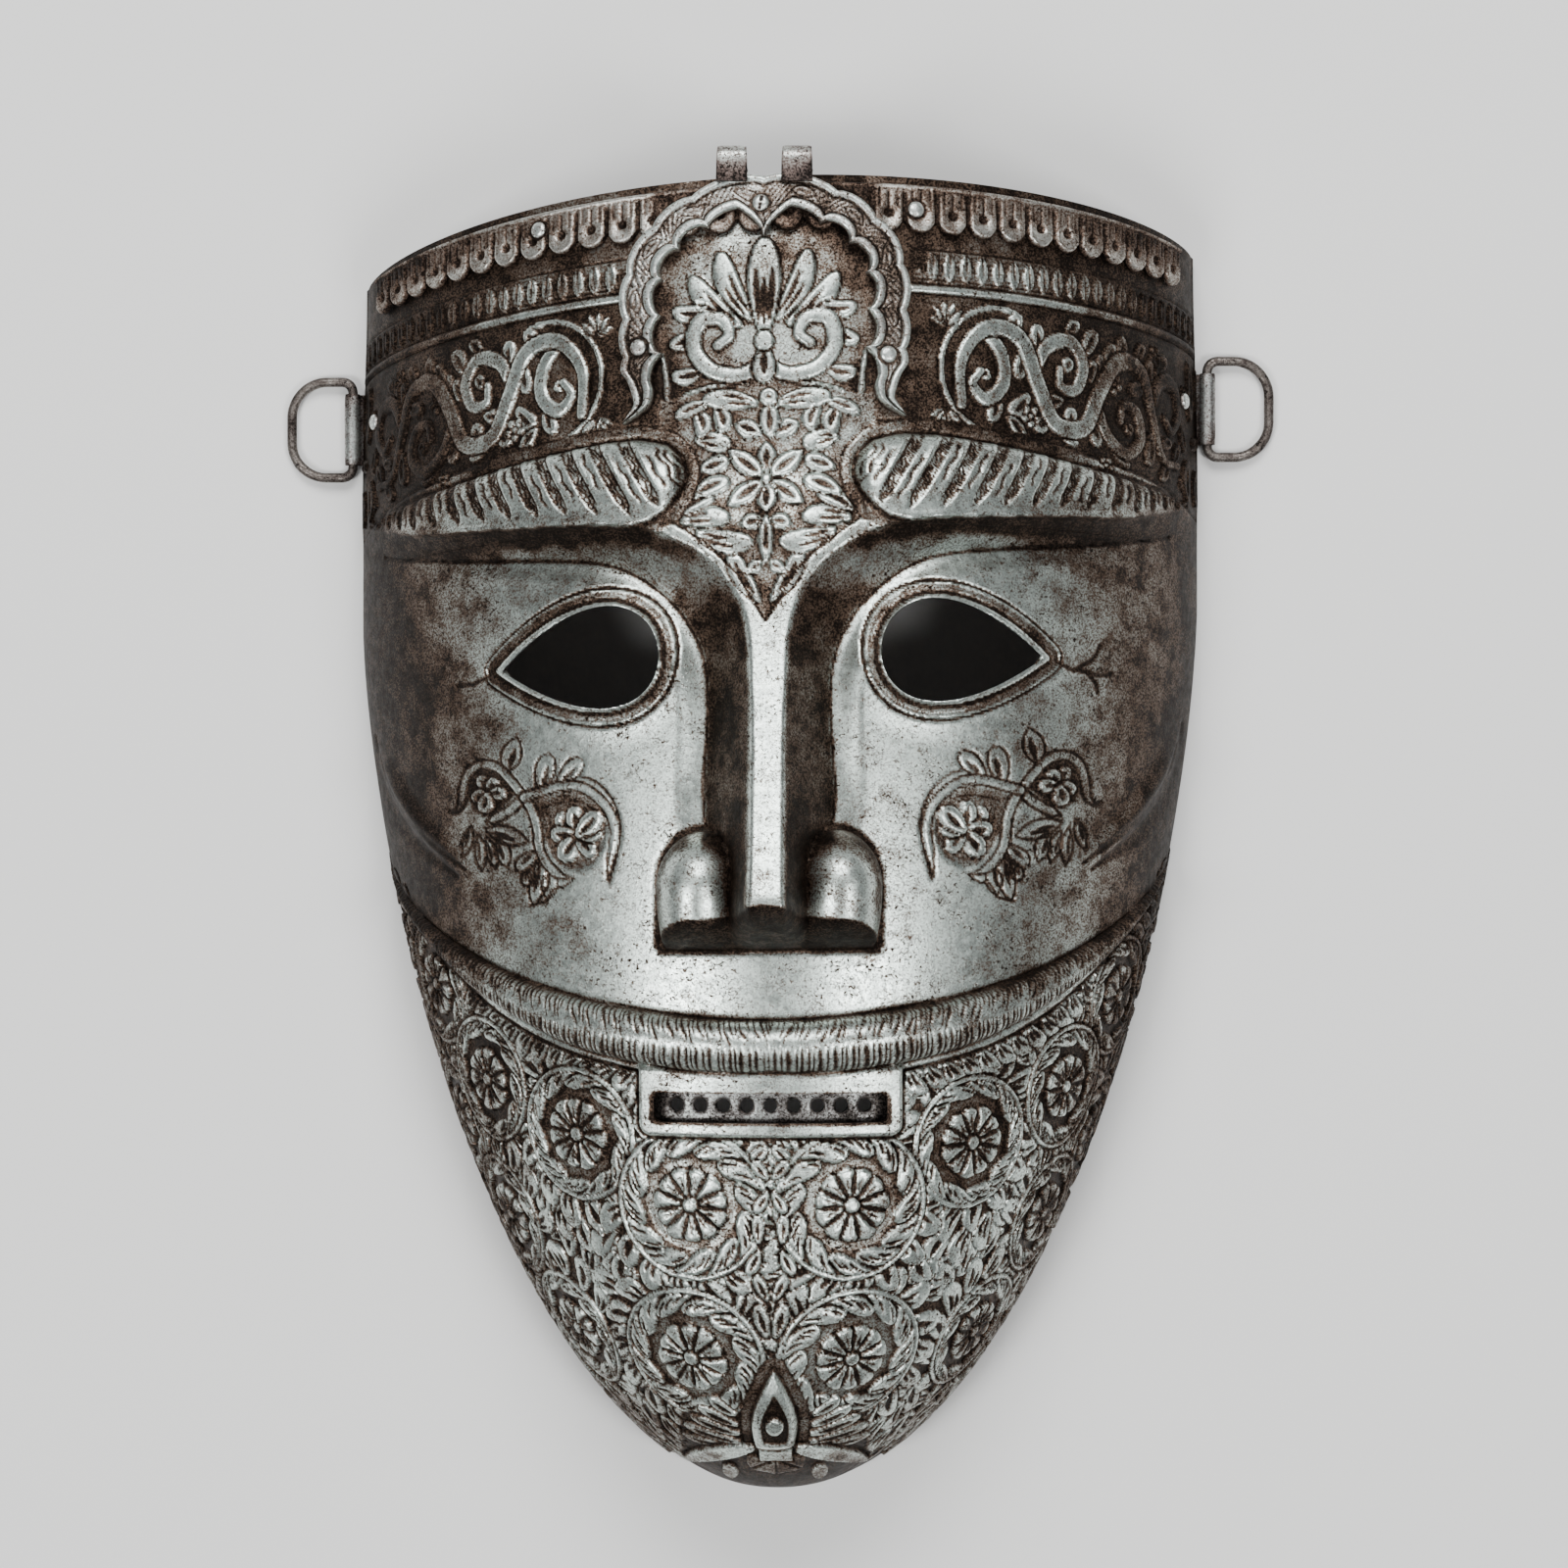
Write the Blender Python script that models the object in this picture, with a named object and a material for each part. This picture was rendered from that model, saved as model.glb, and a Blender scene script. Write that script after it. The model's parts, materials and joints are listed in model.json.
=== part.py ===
"""Iron warrior face mask, lying on its back with its face up.

Frame: +Z points out of the face, +Y towards the top of the forehead, +X to the right.
The mask's rear edge lies on z = 0. All named sizes and tables are in millimetres and
degrees; MM turns them into metres when a mesh is made.

The shell is a skin of tilted cross sections. Each place on it has two chart coordinates:
p, the length round the section from the centre line, and q, the length down the centre
line from the rim. The plates and rivets that sit on the shell are laid out in p and q.
"""

import math

import bmesh
import bpy
import numpy as np
from mathutils import Vector

MM = 0.001

# ---- driving dimensions -------------------------------------------------------------
SHEET = 1.5               # thickness of the shell
GAP = 0.3                 # air between pieces that touch on the real mask
HALF_WIDTH = 85.1         # widest half width, at the rear edge
WIDEST_Y = 45.0           # below this height the rear edge narrows to the chin
CHIN_Y = -132.5           # lowest point of the chin
CHIN_POWER = 1.57         # fullness of the jaw's outline
SECTION_POWER = 1.38      # 1 would make each section half an ellipse; more slopes its sides

PLATE = 1.0               # thickness of the cusped arch
STRIP = 0.8               # thickness of the lappet strip
STRAP = 0.55              # thickness of the folded straps that hold the rings
WIRE_R = 1.0              # radius of the ring wire

# Cross sections from the rim to the chin. y_mid and z_mid: the section's crest on the
# centre line. y_edge and z_edge: its two ends at the rear edge. lean: how much the
# hand-made section rises to the right, as a slope.
SECTIONS = (
    # name             y_mid   z_mid  y_edge  z_edge  lean
    ("rim",            127.0,  56.0,  114.5,  1.2,   0.036),
    ("band line",      107.0,  59.5,   97.0,  1.2,   0.030),
    ("band foot",       80.5,  62.5,   70.0,  1.2,   0.024),
    ("brow",            66.0,  64.5,   60.0,  0.0,   0.024),
    ("eyes",            37.0,  66.0,   40.0,  0.0,   0.024),
    ("nose",             5.0,  66.5,   20.0,  0.0,   0.014),
    ("nose foot",      -20.0,  66.0,    4.0,  0.0,   0.010),
    ("lip top",        -33.0,  65.0,   -4.0,  0.0,   0.008),
    ("lip foot",       -44.0,  64.0,   -9.0,  0.0,   0.004),
    ("mouth",          -50.5,  63.0,  -15.0,  0.0,   0.0),
    ("upper rosettes", -69.0,  60.5,  -36.0,  0.0,   0.0),
    ("beard",          -85.0,  57.5,  -60.0,  0.0,   0.0),
    ("lower rosettes", -99.5,  53.0,  -83.0,  0.0,   0.0),
    ("chin boss",     -112.0,  46.0, -103.0,  0.0,   0.0),
    ("chin turn",     -122.0,  36.0, -119.0,  0.0,   0.0),
    ("chin under",    -129.5,  21.0, -129.0,  0.0,   0.0),
    ("chin edge",     -132.5,   0.0, -132.0,  0.0,   0.0),
)

# The raised middle of the face, on one side of the centre line, seen from the front: its
# edge runs along the brow's foot, turns down and becomes the edge of the nose's ridge.
PLATEAU = (
    # x      y      height over the skin
    (84.0,   64.8,   0.2),
    (79.0,   63.6,   1.2),
    (66.0,   60.9,   2.8),
    (48.0,   60.6,   3.6),
    (34.0,   60.4,   3.8),
    (25.5,   59.8,   3.6),
    (17.0,   57.4,   3.4),
    (10.6,   53.4,   3.2),
    (6.6,    48.6,   3.6),
    (4.4,    43.6,   4.6),
    (3.3,    38.6,   5.8),
    (2.9,    32.0,   7.6),
    (2.5,    20.0,  11.2),
    (2.45,   10.0,  14.6),
    (2.4,     1.0,  18.0),
    (2.4,    -6.0,  21.2),
    (2.4,   -10.6,  23.0),
    (2.4,   -20.0,  23.0),
)
# The crease at the foot of that form: under the brow, down beside the nose.
CREASE_LINE = (
    # x      y      depth
    (88.0,   61.0,   0.0),
    (76.0,   57.6,   0.6),
    (60.0,   55.8,   1.6),
    (46.0,   55.0,   2.2),
    (34.0,   53.9,   2.6),
    (26.4,   51.2,   3.0),
    (19.4,   45.8,   3.4),
    (15.2,   40.2,   3.4),
    (12.9,   34.6,   3.0),
    (12.0,   28.0,   2.6),
    (12.2,   20.0,   2.2),
    (12.8,   10.7,   1.6),
    (12.2,    3.6,   1.0),
    (11.0,   -2.0,   0.4),
    (10.6,   -8.0,   0.0),
    (10.6,  -20.0,   0.0),
)
# One brow's lower and upper edge, seen from the front.
BROW_FOOT = (
    # x      y
    (16.1,   69.0),
    (16.9,   65.9),
    (18.8,   62.8),
    (21.6,   60.6),
    (25.5,   59.7),
    (34.0,   60.3),
    (48.0,   60.6),
    (66.0,   60.9),
    (79.0,   63.6),
    (83.0,   64.6),
)
BROW_TOP = (
    # x      y
    (16.0,   70.0),
    (16.9,   73.0),
    (19.6,   75.6),
    (25.0,   76.8),
    (31.0,   76.6),
    (48.0,   73.9),
    (66.0,   69.6),
    (76.0,   66.9),
    (83.0,   65.0),
)
BROW_FADE = (74.0, 57.0)  # between these heights the middle of the forehead rises
BROW = {"height": 4.6, "fade_from": 64.0, "fade_to": 83.0, "inner_x": 16.0, "inner_round": 5.0,
        "crown_power": 2.4}
CREASE = {"reach": 6.0, "power": 1.35}    # skin past the crease; fullness of the slope
WING = {"x": 12.4, "y": -8.0, "half_x": 8.2, "half_y": 10.2, "half_below": 22.0,
        "height": 13.2, "blend": 0.8}
# The nose's lower rim, from the tip along the wing and round its outside.
NOSE_RIM = (
    # x      y
    (0.0,  -10.5),
    (1.8,  -10.8),
    (3.4,  -11.8),
    (5.2,  -13.2),
    (8.5,  -13.6),
    (12.5, -13.8),
    (15.4, -14.6),
    (17.8, -16.4),
    (19.6, -18.9),
    (20.6, -20.3),
)
NOSE_FOOT_Y = -20.3       # where the nose's underside meets the lip
UNDERSIDE_POWER = 1.5     # fullness of the nose's underside

EYE = {"x": 36.6, "y": 35.2, "half_length": 15.6, "height": 12.7, "tilt": -5.0}
EYE_BULGE = {"half_x": 25.0, "half_y": 19.0, "height": 2.2}
CHEEK_FOLD = {"x0": 80.5, "y0": 19.0, "x1": 58.5, "y1": -6.0, "bow": 2.5,
              "half": 3.0, "height": 1.4}

MOUTH = {"y": -50.4, "half_width": 22.2, "half_height": 2.85, "corner": 0.9}
# The raised frame round the mouth: its width, outer corners, height and top edge.
MOUTH_FRAME = {"width": 2.6, "corner": 2.4, "height": 1.2, "top": -42.0, "slope": 0.5}
BREATH_HOLES = 9
BREATH_HOLE_R = 1.3
BREATH_PITCH = 4.62
BREATH_PLATE = {"half_width": 25.5, "half_height": 5.2, "thickness": 0.8}

# The moustache's upper and lower edge in chart places, and its height.
MOUSTACHE = (
    # p      q_top  q_foot  height
    (0.0,   161.4,  170.9,  5.0),
    (20.0,  161.5,  171.8,  5.0),
    (38.0,  161.9,  172.4,  4.6),
    (60.0,  162.5,  171.0,  3.8),
    (84.0,  162.4,  167.2,  2.4),
    (100.0, 161.6,  164.4,  1.2),
    (112.0, 160.6,  162.0,  0.3),
)
MOUSTACHE_POWER = 2.4     # above 2, the roll's section is fuller than an ellipse

# The pointed drop on the chin: wide at a share of its height, narrower at its foot.
CHIN_BOSS = {"top": -101.6, "foot": -118.6, "half": 4.4, "height": 2.0,
             "widest": 0.36, "foot_narrowing": 0.22}

ARCH = {"x": -1.2, "half_span": 23.6, "rise": 18.5, "spring_q": 22.5, "foot_q": 47.0}
ARCH_COLUMNS = 165        # points along the arch's edges
CUSPS = (0.112, 0.175, 0.245, 0.320, 0.390)     # shares of the arch's path, then 0.5
ARCH_EDGE = {"outer": 3.0, "lobe": 1.0, "cusp": 4.6, "foil": 2.1, "centre": 4.2,
             "centre_half": 0.047, "rim_clear": 0.4}
# A leg below the arch's last cusp, from its tip (0) to the cusp (1).
ARCH_LEG = (
    # part   outer   inner edge, mm inwards of the path
    (0.00,  -3.3,   -2.9),
    (0.12,  -2.1,    0.2),
    (0.28,  -0.9,    2.2),
    (0.45,  -1.4,    2.7),
    (0.62,  -2.2,    2.2),
    (0.82,  -3.6,    2.5),
    (0.93,  -3.4,    3.5),
    (1.00,  -3.0,    4.6),
)

TONGUE = {"count": 30, "reach": 96.0, "top": 1.8, "foot": 11.3, "notch": 2.6, "gap": 0.2}

RING_AXIS_X = 87.0
RING_AXIS_Z = 1.75
RING_Y = {"left": 83.2, "right": 87.0}
RING_HALF = 9.75          # half the ring's height, to the middle of the wire
RING_REACH = 12.6         # from the axis to the far bar, to the middle of the wire
RING_NEAR_BEND = 2.2
RING_FAR_BEND = 7.2
SLEEVE_HALF = 7.2
SLEEVE_BORE = 1.15

KNUCKLE_R = 2.6
KNUCKLE_HALF = 3.0
KNUCKLE_X = {"left": -7.4, "right": 5.0}
TAB = 0.8

RIVET_R = 1.6
RIVET_HEIGHT = 0.75


# ---- small mathematics --------------------------------------------------------------
def smooth(low, high, value):
    """0 below low, 1 above high, with a smooth ramp between (low may exceed high)."""
    t = np.clip((value - low) / (high - low), 0.0, 1.0)
    return t * t * (3.0 - 2.0 * t)


def hump(distance, half):
    """A cosine hump: 1 at distance 0, falling to 0 at half."""
    t = np.clip(np.abs(distance) / half, 0.0, 1.0)
    return 0.5 + 0.5 * np.cos(np.pi * t)


def curve_through(knots, values, at):
    """A monotone cubic through the knots, which may rise or fall."""
    knots = np.asarray(knots, float)
    values = np.asarray(values, float)
    if knots[0] > knots[-1]:
        knots, values = knots[::-1], values[::-1]
    step = np.diff(knots)
    slope = np.diff(values) / step
    tangent = np.zeros_like(values)
    tangent[0], tangent[-1] = slope[0], slope[-1]
    same = slope[:-1] * slope[1:] > 0
    near = 2 * step[1:] + step[:-1]
    far = step[1:] + 2 * step[:-1]
    safe = np.where(same, slope[:-1], 1.0), np.where(same, slope[1:], 1.0)
    mean = (near + far) / (near / safe[0] + far / safe[1])
    tangent[1:-1] = np.where(same, mean, 0.0)
    at = np.clip(at, knots[0], knots[-1])
    i = np.clip(np.searchsorted(knots, at) - 1, 0, len(step) - 1)
    t = (at - knots[i]) / step[i]
    return ((1 + 2 * t) * (1 - t) ** 2 * values[i]
            + t * (1 - t) ** 2 * step[i] * tangent[i]
            + t * t * (3 - 2 * t) * values[i + 1]
            + t * t * (t - 1) * step[i] * tangent[i + 1])


def column(table, index):
    return np.array([row[index] for row in table], float)


def mix(low, high, share):
    return low + (high - low) * share


def blend_max(a, b, softness):
    """The larger of two heights, rounded where they cross."""
    return 0.5 * (a + b + np.sqrt((a - b) ** 2 + softness ** 2) - softness)


def round_curve(points, count):
    """A smooth open curve through the points (Catmull-Rom), as count points."""
    points = np.asarray(points, float)
    padded = np.concatenate([[2 * points[0] - points[1]], points, [2 * points[-1] - points[-2]]])
    at = np.linspace(0.0, len(points) - 1.0, count)
    i = np.minimum(at.astype(int), len(points) - 2)
    t = (at - i)[:, None]
    a, b, c, d = (padded[i + k] for k in range(4))
    return 0.5 * (2 * b + (c - a) * t + (2 * a - 5 * b + 4 * c - d) * t ** 2
                  + (3 * b - a - 3 * c + d) * t ** 3)


# ---- the skin: cross sections and chart ---------------------------------------------
def rear_half_width(y):
    """Half width of the rear edge at height y."""
    t = np.clip((WIDEST_Y - y) / (WIDEST_Y - CHIN_Y), 0.0, 1.0)
    narrow_top = 0.9 * smooth(70.0, 115.0, y)
    return HALF_WIDTH * np.sqrt(np.clip(1.0 - t ** CHIN_POWER, 0.0, 1.0)) - narrow_top


SECTION_Q = np.concatenate(([0.0], np.cumsum(np.hypot(
    np.diff(column(SECTIONS, 1)), np.diff(column(SECTIONS, 2))))))
Q_END = SECTION_Q[-1]


def section(q, index):
    return curve_through(SECTION_Q, column(SECTIONS, index), q)


def q_at(y):
    """The chart's q where the centre line is at height y."""
    return curve_through(column(SECTIONS, 1), SECTION_Q, y)


def skin_point(turn, q):
    """A point of the bare skin. turn runs from -90 degrees, left edge, to 90, right."""
    y_mid, z_mid = section(q, 1), section(q, 2)
    y_edge, z_edge = section(q, 3), section(q, 4)
    rise = np.clip(np.cos(turn), 0.0, 1.0) ** SECTION_POWER
    x = rear_half_width(y_edge) * np.sin(turn)
    y = y_edge + (y_mid - y_edge) * rise + section(q, 5) * x
    z = z_edge + (z_mid - z_edge) * rise
    return np.stack([x, y, z], axis=-1)


def skin_normal(turn, q):
    """The outward normal of the bare skin."""
    step = 1e-3
    q0, q1 = np.clip(q - 0.5, 0.0, Q_END), np.clip(q + 0.5, 0.0, Q_END)
    across = skin_point(turn + step, q) - skin_point(turn - step, q)
    down = skin_point(turn, q1) - skin_point(turn, q0)
    normal = np.cross(down, across)
    normal /= np.linalg.norm(normal, axis=-1, keepdims=True)
    return normal


TURNS = np.linspace(0.0, math.pi / 2, 91)
CHART_Q = np.linspace(0.0, Q_END, 120)


def chart_lengths():
    """Length round each charted section from the centre line, at each turn."""
    grid_turn, grid_q = np.meshgrid(TURNS, CHART_Q)
    points = skin_point(grid_turn, grid_q)
    steps = np.linalg.norm(np.diff(points, axis=1), axis=-1)
    return np.concatenate([np.zeros((len(CHART_Q), 1)), np.cumsum(steps, axis=1)], axis=1)


LENGTHS = chart_lengths()


def turn_at(p, q):
    """The turn where the section's length from the centre line is p."""
    p, q = np.broadcast_arrays(np.asarray(p, float), np.asarray(q, float))
    place = np.clip(q / Q_END * (len(CHART_Q) - 1), 0, len(CHART_Q) - 1.001)
    low = place.astype(int)
    share = place - low
    turns = np.empty(p.shape)
    for index in np.ndindex(p.shape):
        lengths = (LENGTHS[low[index]] * (1 - share[index])
                   + LENGTHS[low[index] + 1] * share[index])
        turns[index] = np.interp(abs(p[index]), lengths, TURNS) * np.sign(p[index])
    return turns


def chart_p(turn, q):
    """Signed length round the section from the centre line, for a grid of turns and q."""
    p = np.empty(turn.shape)
    for row, here in enumerate(q[:, 0]):
        place = min(here / Q_END * (len(CHART_Q) - 1), len(CHART_Q) - 1.001)
        low = int(place)
        lengths = mix(LENGTHS[low], LENGTHS[low + 1], place - low)
        p[row] = np.interp(np.abs(turn[row]), TURNS, lengths) * np.sign(turn[row])
    return p


def on_skin(p, q, lift):
    """The point lift above the bare skin at chart place p, q."""
    turn = turn_at(p, q)
    q = np.broadcast_to(np.asarray(q, float), turn.shape)
    return skin_point(turn, q) + skin_normal(turn, q) * np.asarray(lift)[..., None]


# ---- the face: how far each form stands out of the skin ------------------------------
class Line:
    """A smooth open line on one side of the face, with a value along it."""

    def __init__(self, table, count=90):
        points = round_curve([row[:3] for row in table], count)
        self.points, self.value = points[:, :2], points[:, 2]

    def measure(self, x, y):
        """Signed distance (positive below or outside), and the value at the nearest point."""
        start, end = self.points[:-1], self.points[1:]
        best = np.full(x.shape, 1e9)
        signed = np.zeros(x.shape)
        value = np.zeros(x.shape)
        for (ax, ay), (bx, by), v0, v1 in zip(start, end, self.value[:-1], self.value[1:]):
            dx, dy = bx - ax, by - ay
            t = np.clip(((x - ax) * dx + (y - ay) * dy) / (dx * dx + dy * dy), 0.0, 1.0)
            ox, oy = x - ax - t * dx, y - ay - t * dy
            away = ox * ox + oy * oy
            closer = away < best
            best = np.where(closer, away, best)
            signed = np.where(closer, np.sign(dy * ox - dx * oy), signed)
            value = np.where(closer, v0 + (v1 - v0) * t, value)
        return np.sqrt(best) * -signed, value


PLATEAU_EDGE = Line(PLATEAU)
CREASE_EDGE = Line(CREASE_LINE)


def centre_form(side, y):
    """The raised brows, the middle of the forehead and the nose's ridge as one form."""
    out_edge, height = PLATEAU_EDGE.measure(side, y)
    out_crease, depth = CREASE_EDGE.measure(side, y)
    between = np.clip(out_edge / np.maximum(out_edge - out_crease, 1e-3), 0.0, 1.0)
    slope = mix(height, -depth, 1.0 - (1.0 - between) ** CREASE["power"])
    beyond = -depth * hump(out_crease, CREASE["reach"])
    form = np.where(out_edge <= 0.0, height, np.where(out_crease < 0.0, slope, beyond))
    return form * smooth(*BROW_FADE, y), out_edge


def brow_share(side, y):
    """Place across a brow: 0 at its top edge, 1 at its foot; below 0 away from the brows."""
    foot = curve_through(column(BROW_FOOT, 0), column(BROW_FOOT, 1), side)
    top = curve_through(column(BROW_TOP, 0), column(BROW_TOP, 1), side)
    share = (top - y) / np.maximum(top - foot, 0.3)
    inside = (side > BROW_TOP[0][0]) & (side < BROW_TOP[-1][0])
    return np.where(inside, share, -1.0)


def brow_height(side, y):
    """A brow rises steeply from its top edge and its inner end, and is high down to its foot."""
    share = np.clip(brow_share(side, y), 0.0, 1.0)
    crown = np.sqrt(1.0 - (1.0 - share) ** BROW["crown_power"])
    from_end = np.clip((side - BROW["inner_x"]) / BROW["inner_round"], 0.0, 1.0)
    inner = np.sqrt(1.0 - (1.0 - from_end) ** 2)
    return BROW["height"] * smooth(BROW["fade_to"], BROW["fade_from"], side) * crown * inner


def wing_height(side, y):
    """The bulb of the nose's wing."""
    above = np.maximum(y - WING["y"], 0.0) / WING["half_y"]
    below = np.minimum(y - WING["y"], 0.0) / WING["half_below"]
    ball = 1.0 - ((side - WING["x"]) / WING["half_x"]) ** 2 - above ** 2 - below ** 2
    return WING["height"] * np.sqrt(np.clip(ball, 0.0, 1.0))


def face_height(side, y):
    """Brows, nose and eye sockets over the bare skin, in front-view places."""
    rim_y = curve_through(column(NOSE_RIM, 0), column(NOSE_RIM, 1), side)
    above = np.maximum(y, rim_y)
    height, out_edge = centre_form(side, above)
    height = np.where(out_edge < 0.0, np.maximum(height, brow_height(side, y)), height)
    wing = wing_height(side, above)
    height = np.where(wing > 0.0, blend_max(height, wing, WING["blend"]), height)
    under = np.clip((y - NOSE_FOOT_Y) / np.maximum(rim_y - NOSE_FOOT_Y, 0.05), 0.0, 1.0)
    underside = np.maximum(height, 0.0) * (1.0 - (1.0 - under) ** UNDERSIDE_POWER)
    return np.where(y < rim_y, underside, height)


def eye_bulge(side, y):
    """The skin swells round the eye."""
    reach = np.hypot((side - EYE["x"]) / EYE_BULGE["half_x"],
                     (y - EYE["y"]) / EYE_BULGE["half_y"])
    return EYE_BULGE["height"] * hump(reach, 1.0)


def cheek_fold(side, y):
    """A lens-shaped fold on each cheek."""
    dx, dy = CHEEK_FOLD["x1"] - CHEEK_FOLD["x0"], CHEEK_FOLD["y1"] - CHEEK_FOLD["y0"]
    length = math.hypot(dx, dy)
    px, py = side - CHEEK_FOLD["x0"], y - CHEEK_FOLD["y0"]
    along = np.clip((px * dx + py * dy) / length ** 2, 0.0, 1.0)
    aside = (px * dy - py * dx) / length + CHEEK_FOLD["bow"] * np.sin(np.pi * along)
    return CHEEK_FOLD["height"] * np.sin(np.pi * along) * hump(aside, CHEEK_FOLD["half"])


def moustache_height(p, q):
    """A thick roll from cheek to cheek."""
    side = np.abs(p)
    top = curve_through(column(MOUSTACHE, 0), column(MOUSTACHE, 1), side)
    foot = curve_through(column(MOUSTACHE, 0), column(MOUSTACHE, 2), side)
    height = curve_through(column(MOUSTACHE, 0), column(MOUSTACHE, 3), side)
    place = np.abs((q - (top + foot) / 2) / ((foot - top) / 2))
    return height * np.sqrt(np.clip(1.0 - place ** MOUSTACHE_POWER, 0.0, 1.0))


def mouth_distance(x, y, grow, corner):
    """Distance outside the mouth window grown on all sides, negative inside it."""
    dx = np.abs(x) - MOUTH["half_width"] - grow + corner
    dy = np.abs(y - MOUTH["y"]) - MOUTH["half_height"] - grow + corner
    outside = np.hypot(np.maximum(dx, 0.0), np.maximum(dy, 0.0))
    return outside + np.minimum(np.maximum(dx, dy), 0.0) - corner


def mouth_height(x, y):
    """The raised frame round the mouth, which reaches up to the moustache."""
    away = mouth_distance(x, np.minimum(y, MOUTH["y"]), MOUTH_FRAME["width"], MOUTH_FRAME["corner"])
    below_top = smooth(MOUTH_FRAME["top"], MOUTH_FRAME["top"] - 2 * MOUTH_FRAME["slope"], y)
    return MOUTH_FRAME["height"] * smooth(MOUTH_FRAME["slope"], -MOUTH_FRAME["slope"], away) * below_top


def chin_boss_height(x, y):
    """A pointed drop that stands out of the chin."""
    v = np.clip((y - CHIN_BOSS["foot"]) / (CHIN_BOSS["top"] - CHIN_BOSS["foot"]), 0.0, 1.0)
    swell = np.sqrt(1.0 - v ** 1.7) * smooth(-0.12, 0.12, v) * np.sin(np.pi * v) ** 0.35
    widest = CHIN_BOSS["widest"]
    above = np.clip((v - widest) / (1.0 - widest), 0.0, 1.0)
    below = np.clip((widest - v) / widest, 0.0, 1.0)
    half = CHIN_BOSS["half"] * (1.0 - above ** 1.5)
    half *= 1.0 - CHIN_BOSS["foot_narrowing"] * below ** 2
    across = np.clip(np.abs(x) / np.maximum(half, 0.05), 0.0, 1.0)
    return CHIN_BOSS["height"] * swell * np.sqrt(1.0 - across ** 2)


def form_height(x, y, p, q):
    """All forms of the face together, over the bare skin. y is the front view's height."""
    side = np.abs(x)
    face = face_height(side, y)
    face += (eye_bulge(side, y) + cheek_fold(side, y)) * (face < 1.0)
    upper = np.where(y > NOSE_FOOT_Y - 1.0, face, 0.0)
    lip = np.maximum(moustache_height(p, q), mouth_height(x, y))
    below_nose = q > q_at(NOSE_FOOT_Y) - 10.0
    return np.where(below_nose, np.maximum(upper, lip), upper) + chin_boss_height(x, y)


# ---- mesh helpers -------------------------------------------------------------------
def material(name, colour, roughness, metallic):
    surface = bpy.data.materials.new(name)
    surface.use_nodes = True
    shader = surface.node_tree.nodes["Principled BSDF"]
    shader.inputs["Base Color"].default_value = (*colour, 1.0)
    shader.inputs["Roughness"].default_value = roughness
    shader.inputs["Metallic"].default_value = metallic
    return surface


def add_object(name, mesh, surface, parent, smooth_angle=40.0):
    mesh.materials.append(surface)
    mesh.shade_smooth()
    mesh.set_sharp_from_angle(angle=math.radians(smooth_angle))
    piece = bpy.data.objects.new(name, mesh)
    bpy.context.scene.collection.objects.link(piece)
    piece.parent = parent
    return piece


def mesh_from(name, points, faces):
    """A mesh in metres from points in millimetres, its faces turned outwards."""
    mesh = bpy.data.meshes.new(name)
    mesh.from_pydata((np.asarray(points) * MM).tolist(), [], faces)
    shape = bmesh.new()
    shape.from_mesh(mesh)
    bmesh.ops.recalc_face_normals(shape, faces=shape.faces)
    bmesh.ops.triangulate(shape, faces=[f for f in shape.faces if len(f.verts) > 3])
    shape.to_mesh(mesh)
    shape.free()
    return mesh


def sheet_solid(name, outer, inner):
    """A closed solid between two grids of points of the same shape."""
    rows, columns = outer.shape[:2]
    points = np.concatenate([outer.reshape(-1, 3), inner.reshape(-1, 3)])
    under = rows * columns

    def at(r, c, layer):
        return layer * under + r * columns + c

    faces = []
    for r in range(rows - 1):
        for c in range(columns - 1):
            faces.append((at(r, c, 0), at(r, c + 1, 0), at(r + 1, c + 1, 0), at(r + 1, c, 0)))
            faces.append((at(r, c, 1), at(r + 1, c, 1), at(r + 1, c + 1, 1), at(r, c + 1, 1)))
    rim = [(0, c) for c in range(columns)]
    rim += [(r, columns - 1) for r in range(1, rows)]
    rim += [(rows - 1, c) for c in range(columns - 2, -1, -1)]
    rim += [(r, 0) for r in range(rows - 2, 0, -1)]
    for (r0, c0), (r1, c1) in zip(rim, rim[1:] + rim[:1]):
        faces.append((at(r0, c0, 0), at(r0, c0, 1), at(r1, c1, 1), at(r1, c1, 0)))
    return mesh_from(name, points, faces)


def prism(name, outline, low, high):
    """A prism along Z over an outline of (x, y) points."""
    count = len(outline)
    points = [(x, y, low) for x, y in outline] + [(x, y, high) for x, y in outline]
    faces = [tuple(range(count))[::-1], tuple(range(count, 2 * count))]
    faces += [(i, (i + 1) % count, count + (i + 1) % count, count + i) for i in range(count)]
    return mesh_from(name, points, faces)


def cut(piece, mesh, name, parent):
    """Cut a hidden cutter out of the piece."""
    cutter = bpy.data.objects.new(name, mesh)
    bpy.context.scene.collection.objects.link(cutter)
    cutter.parent = parent
    cutter.hide_render = True
    cutter.display_type = "WIRE"
    boolean = piece.modifiers.new(name, "BOOLEAN")
    boolean.operation = "DIFFERENCE"
    boolean.solver = "EXACT"
    boolean.object = cutter


# ---- the shell ----------------------------------------------------------------------
# Rows of the shell's mesh: how many between two heights of the centre line.
SHELL_ROWS = (
    # from     to      rows
    (127.0,    82.0,   6),
    (82.0,     56.0,   9),
    (56.0,     12.0,   9),
    (12.0,     -9.6,   5),
    (-9.6,    -21.6,   6),
    (-21.6,   -31.0,   2),
    (-31.0,   -44.0,   8),
    (-44.0,   -57.0,   4),
    (-57.0,   -99.0,   5),
    (-99.0,  -121.0,   6),
    (-121.0, -132.5,   3),
)
SHELL_HALF_COLUMNS = 21
SHELL_CROWDING = 1.35     # above 1, the columns stand closer near the nose


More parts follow.
